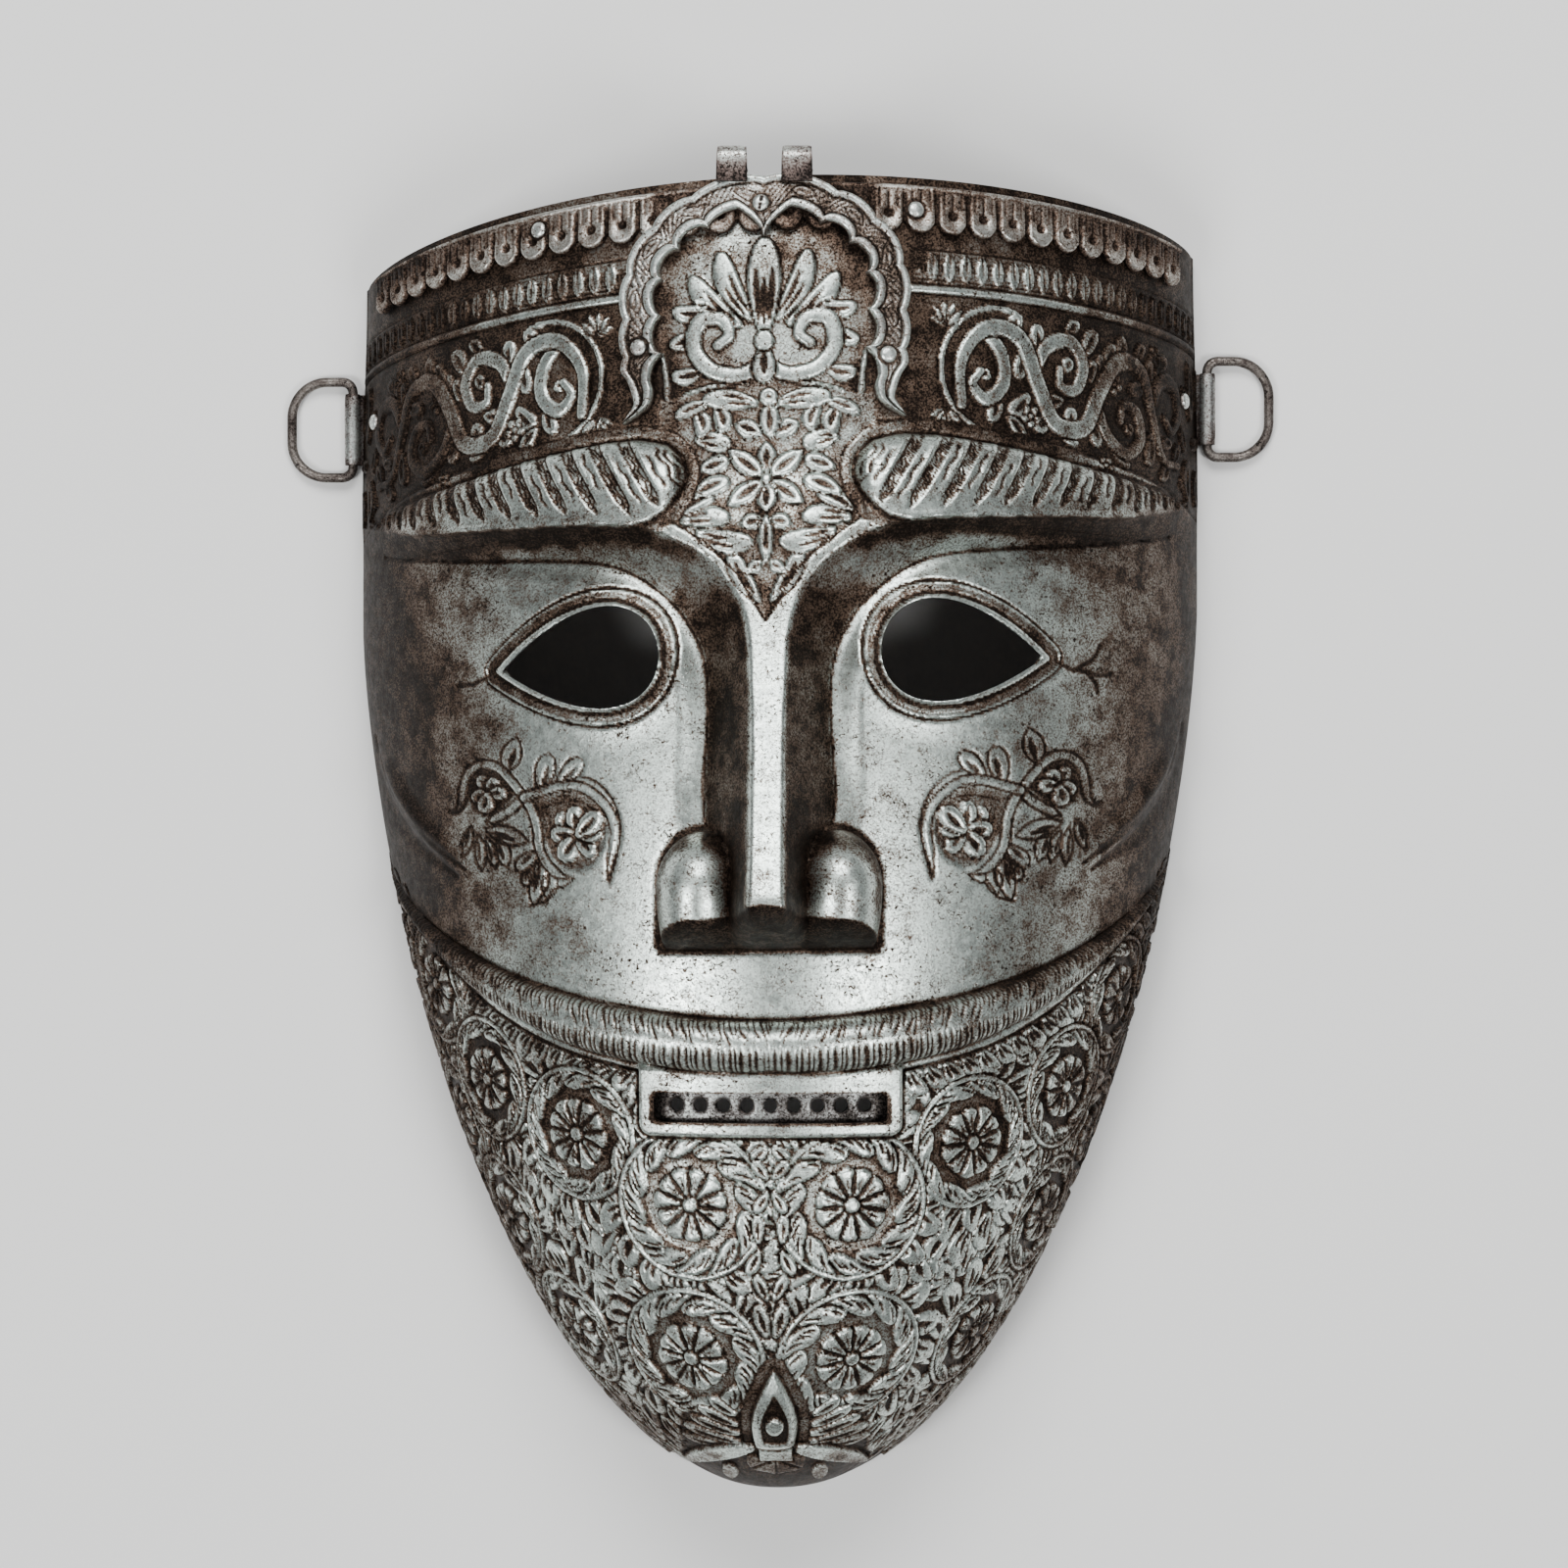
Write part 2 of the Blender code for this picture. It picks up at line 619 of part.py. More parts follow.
def shell_rows():
    rows = [0.0]
    for start, end, count in SHELL_ROWS:
        rows.extend(np.linspace(q_at(start), q_at(end), count + 1)[1:])
    return np.array(rows)


def shell_grids():
    """The shell's outer and inner surface as grids of points."""
    steps = np.arange(-SHELL_HALF_COLUMNS, SHELL_HALF_COLUMNS + 1) / SHELL_HALF_COLUMNS
    share = np.sign(steps) * np.abs(steps) ** SHELL_CROWDING
    share, q = np.meshgrid(share, shell_rows())
    turn = share * math.pi / 2
    bare = skin_point(turn, q)
    normal = skin_normal(turn, q)
    front_y = bare[..., 1] - section(q, 5) * bare[..., 0]
    height = form_height(bare[..., 0], front_y, chart_p(turn, q), q)
    # The rear edge stays flat: there the sheet's thickness lies in the floor's plane.
    edge = np.abs(share) > 0.999
    edge[-1] = True
    normal[edge, 2] = 0.0
    normal /= np.linalg.norm(normal, axis=-1, keepdims=True)
    height[edge] = 0.0
    outer = bare + normal * height[..., None]
    inner = bare + normal * (height - SHEET)[..., None]
    return outer, inner


def eye_outline(side, count=26):
    """A teardrop: round towards the nose, with its corner outside."""
    tilt = math.radians(EYE["tilt"])
    outline = []
    for i in range(count):
        t = 2 * math.pi * i / count
        along = EYE["half_length"] * math.cos(t)
        up = EYE["height"] * math.sin(t) * math.sin(t / 2)
        x = EYE["x"] + along * math.cos(tilt) - up * math.sin(tilt)
        y = EYE["y"] + along * math.sin(tilt) + up * math.cos(tilt)
        lean = float(section(q_at(EYE["y"]), 5))
        outline.append((side * x, y + lean * side * x))
    return outline


def mouth_outline():
    corner_x = MOUTH["half_width"] - MOUTH["corner"]
    corner_y = MOUTH["half_height"] - MOUTH["corner"]
    outline = []
    for quarter, (sx, sy) in enumerate(((1, 1), (-1, 1), (-1, -1), (1, -1))):
        for step in range(4):
            angle = math.radians(90 * quarter + 30 * step)
            outline.append((sx * corner_x + MOUTH["corner"] * math.cos(angle),
                            MOUTH["y"] + sy * corner_y + MOUTH["corner"] * math.sin(angle)))
    return outline


def make_shell(parent, surface):
    shell = add_object("mask_shell", sheet_solid("mask_shell", *shell_grids()), surface, parent)
    for side, name in ((-1, "left_eye_cutter"), (1, "right_eye_cutter")):
        cut(shell, prism(name, eye_outline(side), 20.0, 90.0), name, parent)
    cut(shell, prism("mouth_cutter", mouth_outline(), 30.0, 80.0), "mouth_cutter", parent)


# ---- plates on and behind the shell ---------------------------------------------------
def make_breath_plate(parent, surface):
    """The pierced strip behind the mouth window."""
    half_width, half_height = BREATH_PLATE["half_width"], BREATH_PLATE["half_height"]
    p = np.linspace(-half_width, half_width, 19)
    q = q_at(MOUTH["y"]) + np.array([-half_height, 0.0, half_height])
    p, q = np.meshgrid(p, q)
    front = -SHEET - 1.3 * GAP
    outer = on_skin(p, q, np.full(p.shape, front))
    inner = on_skin(p, q, np.full(p.shape, front - BREATH_PLATE["thickness"]))
    plate = add_object("breath_plate", sheet_solid("breath_plate", outer, inner), surface, parent)
    for i in range(BREATH_HOLES):
        x = (i - (BREATH_HOLES - 1) / 2) * BREATH_PITCH
        ring = [(x + BREATH_HOLE_R * math.cos(t), MOUTH["y"] + BREATH_HOLE_R * math.sin(t))
                for t in np.linspace(0.0, 2 * math.pi, 8, endpoint=False)]
        name = "breath_cutter_%d" % (i + 1)
        cut(plate, prism(name, ring, 40.0, 75.0), name, parent)


def make_lappet_strip(parent, surface):
    """A strip under the rim whose lower edge is cut into tongues."""
    pitch = 2 * TONGUE["reach"] / TONGUE["count"]
    radius = pitch / 2 - TONGUE["gap"]
    middle_q = TONGUE["foot"] - radius
    p = np.linspace(-TONGUE["reach"], TONGUE["reach"], 6 * TONGUE["count"] + 1)
    place = (p + TONGUE["reach"]) / pitch
    from_middle = (place - np.floor(place - 1e-9) - 0.5) * pitch
    shallowest = (radius - TONGUE["notch"]) ** 2
    foot = middle_q + np.sqrt(np.maximum(radius ** 2 - from_middle ** 2, shallowest))
    q = np.stack([np.full(p.shape, TONGUE["top"]), foot])
    p = np.stack([p, p])
    outer = on_skin(p, q, np.full(p.shape, GAP + STRIP))
    inner = on_skin(p, q, np.full(p.shape, GAP))
    mesh = sheet_solid("lappet_strip", outer, inner)
    add_object("lappet_strip", mesh, surface, parent)


def arch_path(count):
    """The arch's middle line in chart places, its direction, and the length along it."""
    leg = ARCH["foot_q"] - ARCH["spring_q"]
    fine = np.linspace(0.0, 1.0, 400)
    left = np.stack([np.full(400, -ARCH["half_span"]), ARCH["foot_q"] - leg * fine], 1)
    turn = np.pi * (1.0 - fine)
    bow = np.stack([ARCH["half_span"] * np.cos(turn),
                    ARCH["spring_q"] - ARCH["rise"] * np.sin(turn)], 1)
    right = left[::-1] * (-1, 1)
    path = np.concatenate([left, bow[1:], right[1:]])
    length = np.concatenate([[0.0], np.cumsum(np.linalg.norm(np.diff(path, axis=0), axis=1))])
    at = np.linspace(0.0, length[-1], count)
    points = np.stack([np.interp(at, length, path[:, i]) for i in (0, 1)], 1)
    along = np.gradient(points, axis=0)
    along /= np.linalg.norm(along, axis=1, keepdims=True)
    return points, along, at / length[-1]


def arch_edges(share):
    """How far inwards of the path the arch's outer and inner edges lie."""
    half = np.minimum(share, 1.0 - share)
    nodes = np.array((0.0,) + CUSPS + (0.5,))
    cell = np.clip(np.searchsorted(nodes, half, side="right") - 1, 0, len(nodes) - 2)
    part = (half - nodes[cell]) / (nodes[cell + 1] - nodes[cell])
    bulge = np.sin(np.pi * np.clip(part, 0.0, 1.0))
    outer = -ARCH_EDGE["outer"] - ARCH_EDGE["lobe"] * bulge ** 0.6
    inner = ARCH_EDGE["cusp"] - ARCH_EDGE["foil"] * bulge ** 0.45
    to_centre = np.clip(1.0 - (0.5 - half) / ARCH_EDGE["centre_half"], 0.0, 1.0)
    inner += ARCH_EDGE["centre"] * to_centre
    legs = [curve_through(column(ARCH_LEG, 0), column(ARCH_LEG, k), part) for k in (1, 2)]
    on_leg = cell == 0
    return np.where(on_leg, legs[0], outer), np.where(on_leg, legs[1], inner)


def arch_lift(q):
    """How far the arch's back is above the skin: it passes over the lappet strip."""
    over_strip = GAP + STRIP + GAP
    foot = TONGUE["foot"]
    return GAP + (over_strip - GAP) * smooth(foot + 2.6, foot + 0.6, q)


def make_arch(parent, surface):
    """A cusped arch: scalloped outside, foiled inside, with pointed feet."""
    points, along, share = arch_path(ARCH_COLUMNS)
    inwards = np.stack([-along[:, 1], along[:, 0]], 1)
    outer_edge, inner_edge = arch_edges(share)
    rows_p, rows_q = [], []
    for offset in (outer_edge, (outer_edge + inner_edge) / 2, inner_edge):
        row = points + inwards * offset[:, None]
        rows_p.append(row[:, 0] + ARCH["x"])
        rows_q.append(np.maximum(row[:, 1], ARCH_EDGE["rim_clear"]))
    p, q = np.stack(rows_p), np.stack(rows_q)
    back = arch_lift(q)
    front = np.full(q.shape, GAP + STRIP + GAP + PLATE)
    mesh = sheet_solid("cusped_arch", on_skin(p, q, front), on_skin(p, q, back))
    add_object("cusped_arch", mesh, surface, parent)


# ---- rivets ---------------------------------------------------------------------------
def rivet_mesh(name, radius=RIVET_R, height=RIVET_HEIGHT, sides=12):
    """A low dome standing on z = 0, as a turned profile."""
    profile = ((1.0, 0.0), (1.0, 0.3), (0.75, 0.8), (0.35, 1.0))
    points = [(radius * r * math.cos(t), radius * r * math.sin(t), height * z)
              for r, z in profile
              for t in np.linspace(0.0, 2 * math.pi, sides, endpoint=False)]
    faces = [tuple(range(sides))[::-1]]
    for ring in range(len(profile) - 1):
        for i in range(sides):
            low, high = ring * sides, (ring + 1) * sides
            j = (i + 1) % sides
            faces.append((low + i, low + j, high + j, high + i))
    faces.append(tuple(range((len(profile) - 1) * sides, len(profile) * sides)))
    return mesh_from(name, points, faces)


def place_rivet(name, p, q, lift, parent, surface):
    """Set a rivet on the skin, square to it."""
    turn = turn_at(p, q)
    foot = skin_point(turn, np.float64(q)) + skin_normal(turn, np.float64(q)) * lift
    rivet = add_object(name, rivet_mesh(name), surface, parent)
    rivet.location = Vector(foot * MM)
    normal = Vector(skin_normal(turn, np.float64(q)))
    rivet.rotation_euler = normal.to_track_quat("Z", "Y").to_euler()


def make_rivets(parent, surface):
    on_arch = GAP + STRIP + GAP + PLATE + GAP
    on_strip = GAP + STRIP + GAP
    rivets = (
        # name                  p       q      lift
        ("arch_rivet_top",     -1.8,    6.2,   on_arch),
        ("arch_rivet_left",   -24.8,   32.6,   on_arch),
        ("arch_rivet_right",   22.0,   35.4,   on_arch),
        ("lappet_rivet_left", -46.6,    5.4,   on_strip),
        ("lappet_rivet_right", 27.7,    6.8,   on_strip),
        ("strap_rivet_left",  -99.5,   32.8,   GAP),
        ("strap_rivet_right", 100.5,   33.0,   GAP),
    )
    for name, p, q, lift in rivets:
        place_rivet(name, p, q, lift, parent, surface)


# ---- hinge loops, straps and rings ------------------------------------------------------
def thick_path(path, thickness):
    """The outline of a sheet of the given thickness bent along a path of 2-D points."""
    path = np.asarray(path, float)
    along = np.gradient(path, axis=0)
    along /= np.linalg.norm(along, axis=1, keepdims=True)
    aside = np.stack([-along[:, 1], along[:, 0]], 1) * thickness / 2
    return path + aside, path - aside


def bent_sheet(name, path, thickness, low, high, axis):
    """A bent sheet: the path lies across the axis ("X" or "Y"), from low to high."""
    sides = thick_path(path, thickness)
    grids = []
    for side in sides:
        rows = []
        for place in (low, high):
            if axis == "X":
                rows.append([(place, a, b) for a, b in side])
            else:
                rows.append([(a, place, b) for a, b in side])
        grids.append(np.array(rows))
    return sheet_solid(name, grids[0], grids[1])


def arc(x, y, radius, start, end, count):
    angles = np.radians(np.linspace(start, end, count))
    return [(x + radius * math.cos(a), y + radius * math.sin(a)) for a in angles]


def make_hinge_loops(parent, surface):
    """Two knuckles of the hinge at the rim: a tab on the arch, rolled over backwards."""
    rim = skin_point(np.float64(0.0), np.float64(0.0))
    tab_z = rim[2] + GAP + STRIP + GAP + PLATE + GAP + TAB / 2
    roll = KNUCKLE_R - TAB / 2
    centre_y = rim[1] + GAP + KNUCKLE_R
    path = [(rim[1] - 1.6, tab_z + 0.35), (rim[1] + 0.4, tab_z + 0.1), (centre_y - 0.9, tab_z)]
    path += arc(centre_y, tab_z - roll, roll, 90.0, -185.0, 15)
    for side, x in KNUCKLE_X.items():
        name = "hinge_loop_" + side
        mesh = bent_sheet(name, path, TAB, x - KNUCKLE_HALF, x + KNUCKLE_HALF, "X")
        add_object(name, mesh, surface, parent)


def inner_wall_x(z, y):
    """Half width between the shell's inner walls at height z, beside the rings."""
    q = np.interp(-y, -column(SECTIONS, 3), SECTION_Q)
    z_mid, z_edge = float(section(q, 2)), float(section(q, 4))
    turn = math.acos(((z - z_edge) / (z_mid - z_edge)) ** (1.0 / SECTION_POWER))
    return float(rear_half_width(y)) * math.sin(turn) - 1.1 * SHEET


def make_ring_strap(side_name, side, parent, surface):
    """A strap riveted inside the shell, led under its edge and folded round the ring."""
    middle = SLEEVE_BORE + STRAP / 2
    floor_z = RING_AXIS_Z - middle
    y = RING_Y[side_name]
    wall = [(inner_wall_x(z, y) - GAP - STRAP, z) for z in (16.0, 11.0, 6.5, 3.0)]
    foot_x = wall[-1][0] + 0.5
    path = wall + [(foot_x, 1.4), (foot_x + 0.5, floor_z + 0.2), (foot_x + 1.3, floor_z)]
    path += [(RING_AXIS_X - 0.8, floor_z)]
    path += arc(RING_AXIS_X, RING_AXIS_Z, middle, -90.0, 160.0, 13)
    path = [(side * x, z) for x, z in path]
    name = "ring_strap_" + side_name
    mesh = bent_sheet(name, path, STRAP, y - SLEEVE_HALF, y + SLEEVE_HALF, "Y")
    add_object(name, mesh, surface, parent)


def ring_path():
    """The ring's middle line, in its own plane: x away from the axis, y along it."""
    near, far = RING_NEAR_BEND, RING_FAR_BEND
    path = [(0.0, -5.0), (0.0, 0.0), (0.0, 5.0)]
    path += arc(near, RING_HALF - near, near, 180.0, 90.0, 5)
    path += arc(RING_REACH - far, RING_HALF - far, far, 90.0, 0.0, 9)
    path += arc(RING_REACH - far, far - RING_HALF, far, 0.0, -90.0, 9)
    path += arc(near, near - RING_HALF, near, -90.0, -180.0, 5)
    return path


def ring_mesh(name, side, sides=8):
    """The wire ring: a circle carried round the closed path."""
    path = np.array(ring_path())
    along = np.roll(path, -1, axis=0) - np.roll(path, 1, axis=0)
    along /= np.linalg.norm(along, axis=1, keepdims=True)
    points = []
    for (x, y), (ax, ay) in zip(path, along):
        for t in np.linspace(0.0, 2 * math.pi, sides, endpoint=False):
            reach = WIRE_R * math.cos(t)
            points.append((side * (x + ay * reach), y - ax * reach, WIRE_R * math.sin(t)))
    faces = []
    for i in range(len(path)):
        j = (i + 1) % len(path)
        for k in range(sides):
            m = (k + 1) % sides
            faces.append((i * sides + k, j * sides + k, j * sides + m, i * sides + m))
    return mesh_from(name, points, faces)


def make_ring(side_name, side, parent, surface):
    """A ring lying down: its far bar drops from the sleeve to the floor."""
    pivot = bpy.data.objects.new(side_name + "_ring_pivot", None)
    bpy.context.scene.collection.objects.link(pivot)
    pivot.parent = parent
    pivot.location = (side * RING_AXIS_X * MM, RING_Y[side_name] * MM, RING_AXIS_Z * MM)
    drop = math.asin((RING_AXIS_Z - WIRE_R) / RING_REACH)
    pivot.rotation_euler = (0.0, side * drop, 0.0)
    name = "strap_ring_" + side_name
    add_object(name, ring_mesh(name, side), surface, pivot)


def main():
    for old in list(bpy.data.objects):
        bpy.data.objects.remove(old, do_unlink=True)
    frame = bpy.data.objects.new("mask_frame", None)
    bpy.context.scene.collection.objects.link(frame)

    make_shell(frame, material("worn_iron", (0.42, 0.43, 0.41), 0.42, 1.0))
    make_breath_plate(frame, material("breath_plate_iron", (0.30, 0.32, 0.31), 0.45, 1.0))
    make_lappet_strip(frame, material("lappet_iron", (0.32, 0.31, 0.29), 0.5, 1.0))
    make_arch(frame, material("arch_iron", (0.55, 0.57, 0.54), 0.38, 1.0))
    make_rivets(frame, material("rivet_steel", (0.65, 0.66, 0.63), 0.35, 1.0))
    make_hinge_loops(frame, material("hinge_iron", (0.38, 0.36, 0.34), 0.4, 1.0))
    strap_iron = material("strap_iron", (0.36, 0.38, 0.37), 0.4, 1.0)
    ring_iron = material("ring_iron", (0.16, 0.14, 0.13), 0.5, 0.9)
    for side_name, side in (("left", -1), ("right", 1)):
        make_ring_strap(side_name, side, frame, strap_iron)
        make_ring(side_name, side, frame, ring_iron)


main()
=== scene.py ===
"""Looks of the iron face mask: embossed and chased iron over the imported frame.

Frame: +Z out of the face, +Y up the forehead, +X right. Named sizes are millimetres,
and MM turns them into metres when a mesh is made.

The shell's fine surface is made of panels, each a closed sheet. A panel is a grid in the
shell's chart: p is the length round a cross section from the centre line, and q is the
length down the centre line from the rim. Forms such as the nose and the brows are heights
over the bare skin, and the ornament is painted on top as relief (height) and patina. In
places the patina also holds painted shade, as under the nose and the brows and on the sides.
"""

import functools
import json
import math

import bpy
import numpy as np
from mathutils import Matrix, Vector

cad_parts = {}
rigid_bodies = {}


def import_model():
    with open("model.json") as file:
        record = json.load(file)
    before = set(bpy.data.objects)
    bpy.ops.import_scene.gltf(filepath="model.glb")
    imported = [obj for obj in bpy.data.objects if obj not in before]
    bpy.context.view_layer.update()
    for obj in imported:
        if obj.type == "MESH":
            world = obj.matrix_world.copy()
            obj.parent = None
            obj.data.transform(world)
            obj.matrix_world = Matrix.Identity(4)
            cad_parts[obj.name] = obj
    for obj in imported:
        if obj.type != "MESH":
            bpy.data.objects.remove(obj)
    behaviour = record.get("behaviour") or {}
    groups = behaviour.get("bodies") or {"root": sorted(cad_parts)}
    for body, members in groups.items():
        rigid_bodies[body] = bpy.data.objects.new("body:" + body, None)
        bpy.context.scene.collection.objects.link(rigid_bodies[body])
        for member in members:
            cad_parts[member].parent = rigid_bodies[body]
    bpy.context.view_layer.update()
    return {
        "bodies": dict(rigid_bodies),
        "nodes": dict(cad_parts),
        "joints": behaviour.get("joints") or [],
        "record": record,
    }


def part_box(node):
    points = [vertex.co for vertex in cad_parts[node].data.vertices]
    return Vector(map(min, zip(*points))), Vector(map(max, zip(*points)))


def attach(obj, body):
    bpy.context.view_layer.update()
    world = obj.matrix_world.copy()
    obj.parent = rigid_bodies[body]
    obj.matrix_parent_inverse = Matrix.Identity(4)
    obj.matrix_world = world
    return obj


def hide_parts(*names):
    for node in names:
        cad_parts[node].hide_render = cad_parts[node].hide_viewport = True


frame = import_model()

MM = 0.001
SHELL_LOW, SHELL_HIGH = (np.array(corner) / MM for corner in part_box("mask_shell"))

# ---- sizes, as the frame has them -----------------------------------------------------
SHEET = 1.5
GAP = 0.3
STRIP = 0.8
PLATE = 1.0
HALF_WIDTH = float(SHELL_HIGH[0])
CHIN_Y = float(SHELL_LOW[1])
WIDEST_Y = 45.0
CHIN_POWER = 1.57
SECTION_POWER = 1.38

SECTIONS = (
    # name             y_mid   z_mid  y_edge  z_edge  lean
    ("rim",            127.0,  56.0,  114.5,  1.2,   0.036),
    ("band line",      107.0,  59.5,   97.0,  1.2,   0.030),
    ("band foot",       80.5,  62.5,   70.0,  1.2,   0.024),
    ("brow",            66.0,  64.5,   60.0,  0.0,   0.024),
    ("eyes",            37.0,  66.0,   40.0,  0.0,   0.024),
    ("nose",             5.0,  66.5,   20.0,  0.0,   0.014),
    ("nose foot",      -20.0,  66.0,    4.0,  0.0,   0.010),
    ("lip top",        -33.0,  65.0,   -4.0,  0.0,   0.008),
    ("lip foot",       -44.0,  64.0,   -9.0,  0.0,   0.004),
    ("mouth",          -50.5,  63.0,  -15.0,  0.0,   0.0),
    ("upper rosettes", -69.0,  60.5,  -36.0,  0.0,   0.0),
    ("beard",          -85.0,  57.5,  -60.0,  0.0,   0.0),
    ("lower rosettes", -99.5,  53.0,  -83.0,  0.0,   0.0),
    ("chin boss",     -112.0,  46.0, -103.0,  0.0,   0.0),
    ("chin turn",     -122.0,  36.0, -119.0,  0.0,   0.0),
    ("chin under",    -129.5,  21.0, -129.0,  0.0,   0.0),
    ("chin edge",     -132.5,   0.0, -132.0,  0.0,   0.0),
)


# ---- small mathematics ----------------------------------------------------------------
OUT_OF_REACH = 9.0        # mm from an ornament's edge, where nothing of it is left


def smooth(low, high, value):
    """0 below low, 1 above high, with a smooth ramp between (low may exceed high)."""
    t = np.clip((value - low) / (high - low), 0.0, 1.0)
    return t * t * (3.0 - 2.0 * t)


def hump(distance, half):
    """A cosine hump: 1 at distance 0, falling to 0 at half."""
    t = np.clip(np.abs(distance) / half, 0.0, 1.0)
    return 0.5 + 0.5 * np.cos(np.pi * t)


def bell(distance, half):
    """1 at distance 0, falling off smoothly on both sides, to 0.37 at half."""
    return np.exp(-(distance / half) ** 2)


def mix(low, high, share):
    """low where share is 0, and high where it is 1."""
    return low + (high - low) * share


def only(place, away):
    """The distance where place is true, and one out of every edge's reach elsewhere."""
    return np.where(place, away, OUT_OF_REACH)


def curve_through(knots, values, at):
    """A monotone cubic through the knots, which may rise or fall."""
    knots = np.asarray(knots, float)
    values = np.asarray(values, float)
    if knots[0] > knots[-1]:
        knots, values = knots[::-1], values[::-1]
    step = np.diff(knots)
    slope = np.diff(values) / step
    tangent = np.zeros_like(values)
    tangent[0], tangent[-1] = slope[0], slope[-1]
    same = slope[:-1] * slope[1:] > 0
    near = 2 * step[1:] + step[:-1]
    far = step[1:] + 2 * step[:-1]
    safe = np.where(same, slope[:-1], 1.0), np.where(same, slope[1:], 1.0)
    mean = (near + far) / (near / safe[0] + far / safe[1])
    tangent[1:-1] = np.where(same, mean, 0.0)
    at = np.clip(at, knots[0], knots[-1])
    i = np.clip(np.searchsorted(knots, at) - 1, 0, len(step) - 1)
    t = (at - knots[i]) / step[i]
    return ((1 + 2 * t) * (1 - t) ** 2 * values[i]
            + t * (1 - t) ** 2 * step[i] * tangent[i]
            + t * t * (3 - 2 * t) * values[i + 1]
            + t * t * (t - 1) * step[i] * tangent[i + 1])


def column(table, index):
    """One column of a table as an array."""
    return np.array([row[index] for row in table], float)


def table_curve(table, index, at):
    """A smooth curve through one column of a table, by its first column."""
    return curve_through(column(table, 0), column(table, index), at)


def round_curve(points, count):
    """A smooth open curve through the points (Catmull-Rom), as count points."""
    points = np.asarray(points, float)
    padded = np.concatenate([[2 * points[0] - points[1]], points, [2 * points[-1] - points[-2]]])
    at = np.linspace(0.0, len(points) - 1.0, count)
    i = np.minimum(at.astype(int), len(points) - 2)
    t = (at - i)[:, None]
    a, b, c, d = (padded[i + k] for k in range(4))
    return 0.5 * (2 * b + (c - a) * t + (2 * a - 5 * b + 4 * c - d) * t ** 2
                  + (3 * b - a - 3 * c + d) * t ** 3)


# ---- the skin: cross sections and chart -----------------------------------------------
def rear_half_width(y):
    """Half width of the rear edge at height y."""
    t = np.clip((WIDEST_Y - y) / (WIDEST_Y - CHIN_Y), 0.0, 1.0)
    narrow_top = 0.9 * smooth(70.0, 115.0, y)
    return HALF_WIDTH * np.sqrt(np.clip(1.0 - t ** CHIN_POWER, 0.0, 1.0)) - narrow_top


SECTION_Q = np.concatenate(([0.0], np.cumsum(np.hypot(
    np.diff(column(SECTIONS, 1)), np.diff(column(SECTIONS, 2))))))
Q_END = SECTION_Q[-1]


def section(q, index):
    """A column of the sections' table, smoothly between the sections."""
    return curve_through(SECTION_Q, column(SECTIONS, index), q)


def q_at(y):
    """The chart's q where the centre line is at height y."""
    return curve_through(column(SECTIONS, 1), SECTION_Q, y)


def skin_point(turn, q):
    """A point of the bare skin. turn runs from -90 degrees, left edge, to 90, right."""
    y_mid, z_mid = section(q, 1), section(q, 2)
    y_edge, z_edge = section(q, 3), section(q, 4)
    rise = np.clip(np.cos(turn), 0.0, 1.0) ** SECTION_POWER
    x = rear_half_width(y_edge) * np.sin(turn)
    y = y_edge + (y_mid - y_edge) * rise + section(q, 5) * x
    z = z_edge + (z_mid - z_edge) * rise
    return np.stack(np.broadcast_arrays(x, y, z), axis=-1)


def skin_normal(turn, q):
    """The outward normal of the bare skin."""
    step = 1e-3
    q0, q1 = np.clip(q - 0.5, 0.0, Q_END), np.clip(q + 0.5, 0.0, Q_END)
    across = skin_point(turn + step, q) - skin_point(turn - step, q)
    down = skin_point(turn, q1) - skin_point(turn, q0)
    normal = np.cross(down, across)
    return normal / np.linalg.norm(normal, axis=-1, keepdims=True)


CHART_TURNS = np.linspace(0.0, math.pi / 2, 181)
CHART_Q = np.linspace(0.0, Q_END, 300)
CHART_SHARES = np.linspace(0.0, 1.0, 361)


def make_chart():
    """For each charted q: the whole length from centre to edge, and turns by share of it."""
    points = skin_point(CHART_TURNS[None, :], CHART_Q[:, None])
    steps = np.linalg.norm(np.diff(points, axis=1), axis=-1)
    lengths = np.concatenate([np.zeros((len(CHART_Q), 1)), np.cumsum(steps, axis=1)], axis=1)
    turns = np.stack([np.interp(CHART_SHARES * row[-1], row, CHART_TURNS) for row in lengths])
    return lengths[:, -1], turns


CHART_REACH, CHART_TURN = make_chart()


def reach_at(q):
    """Length round the section at q, from the centre line to the edge."""
    return np.interp(q, CHART_Q, CHART_REACH)


def turn_at(share, q):
    """The turn at a share (-1 to 1) of the section's length."""
    share, q = np.broadcast_arrays(share, q)
    row = np.clip(q / Q_END * (len(CHART_Q) - 1), 0, len(CHART_Q) - 1.0001)
    col = np.clip(np.abs(share), 0, 1) * (len(CHART_SHARES) - 1.0001)
    r, c = row.astype(int), col.astype(int)
    fr, fc = row - r, col - c
    top = mix(CHART_TURN[r, c], CHART_TURN[r, c + 1], fc)
    low = mix(CHART_TURN[r + 1, c], CHART_TURN[r + 1, c + 1], fc)
    return mix(top, low, fr) * np.sign(share)


def skin_at(p, q):
    """Bare point and normal at chart place p, q."""
    turn = turn_at(p / reach_at(q), q)
    return skin_point(turn, q), skin_normal(turn, q)


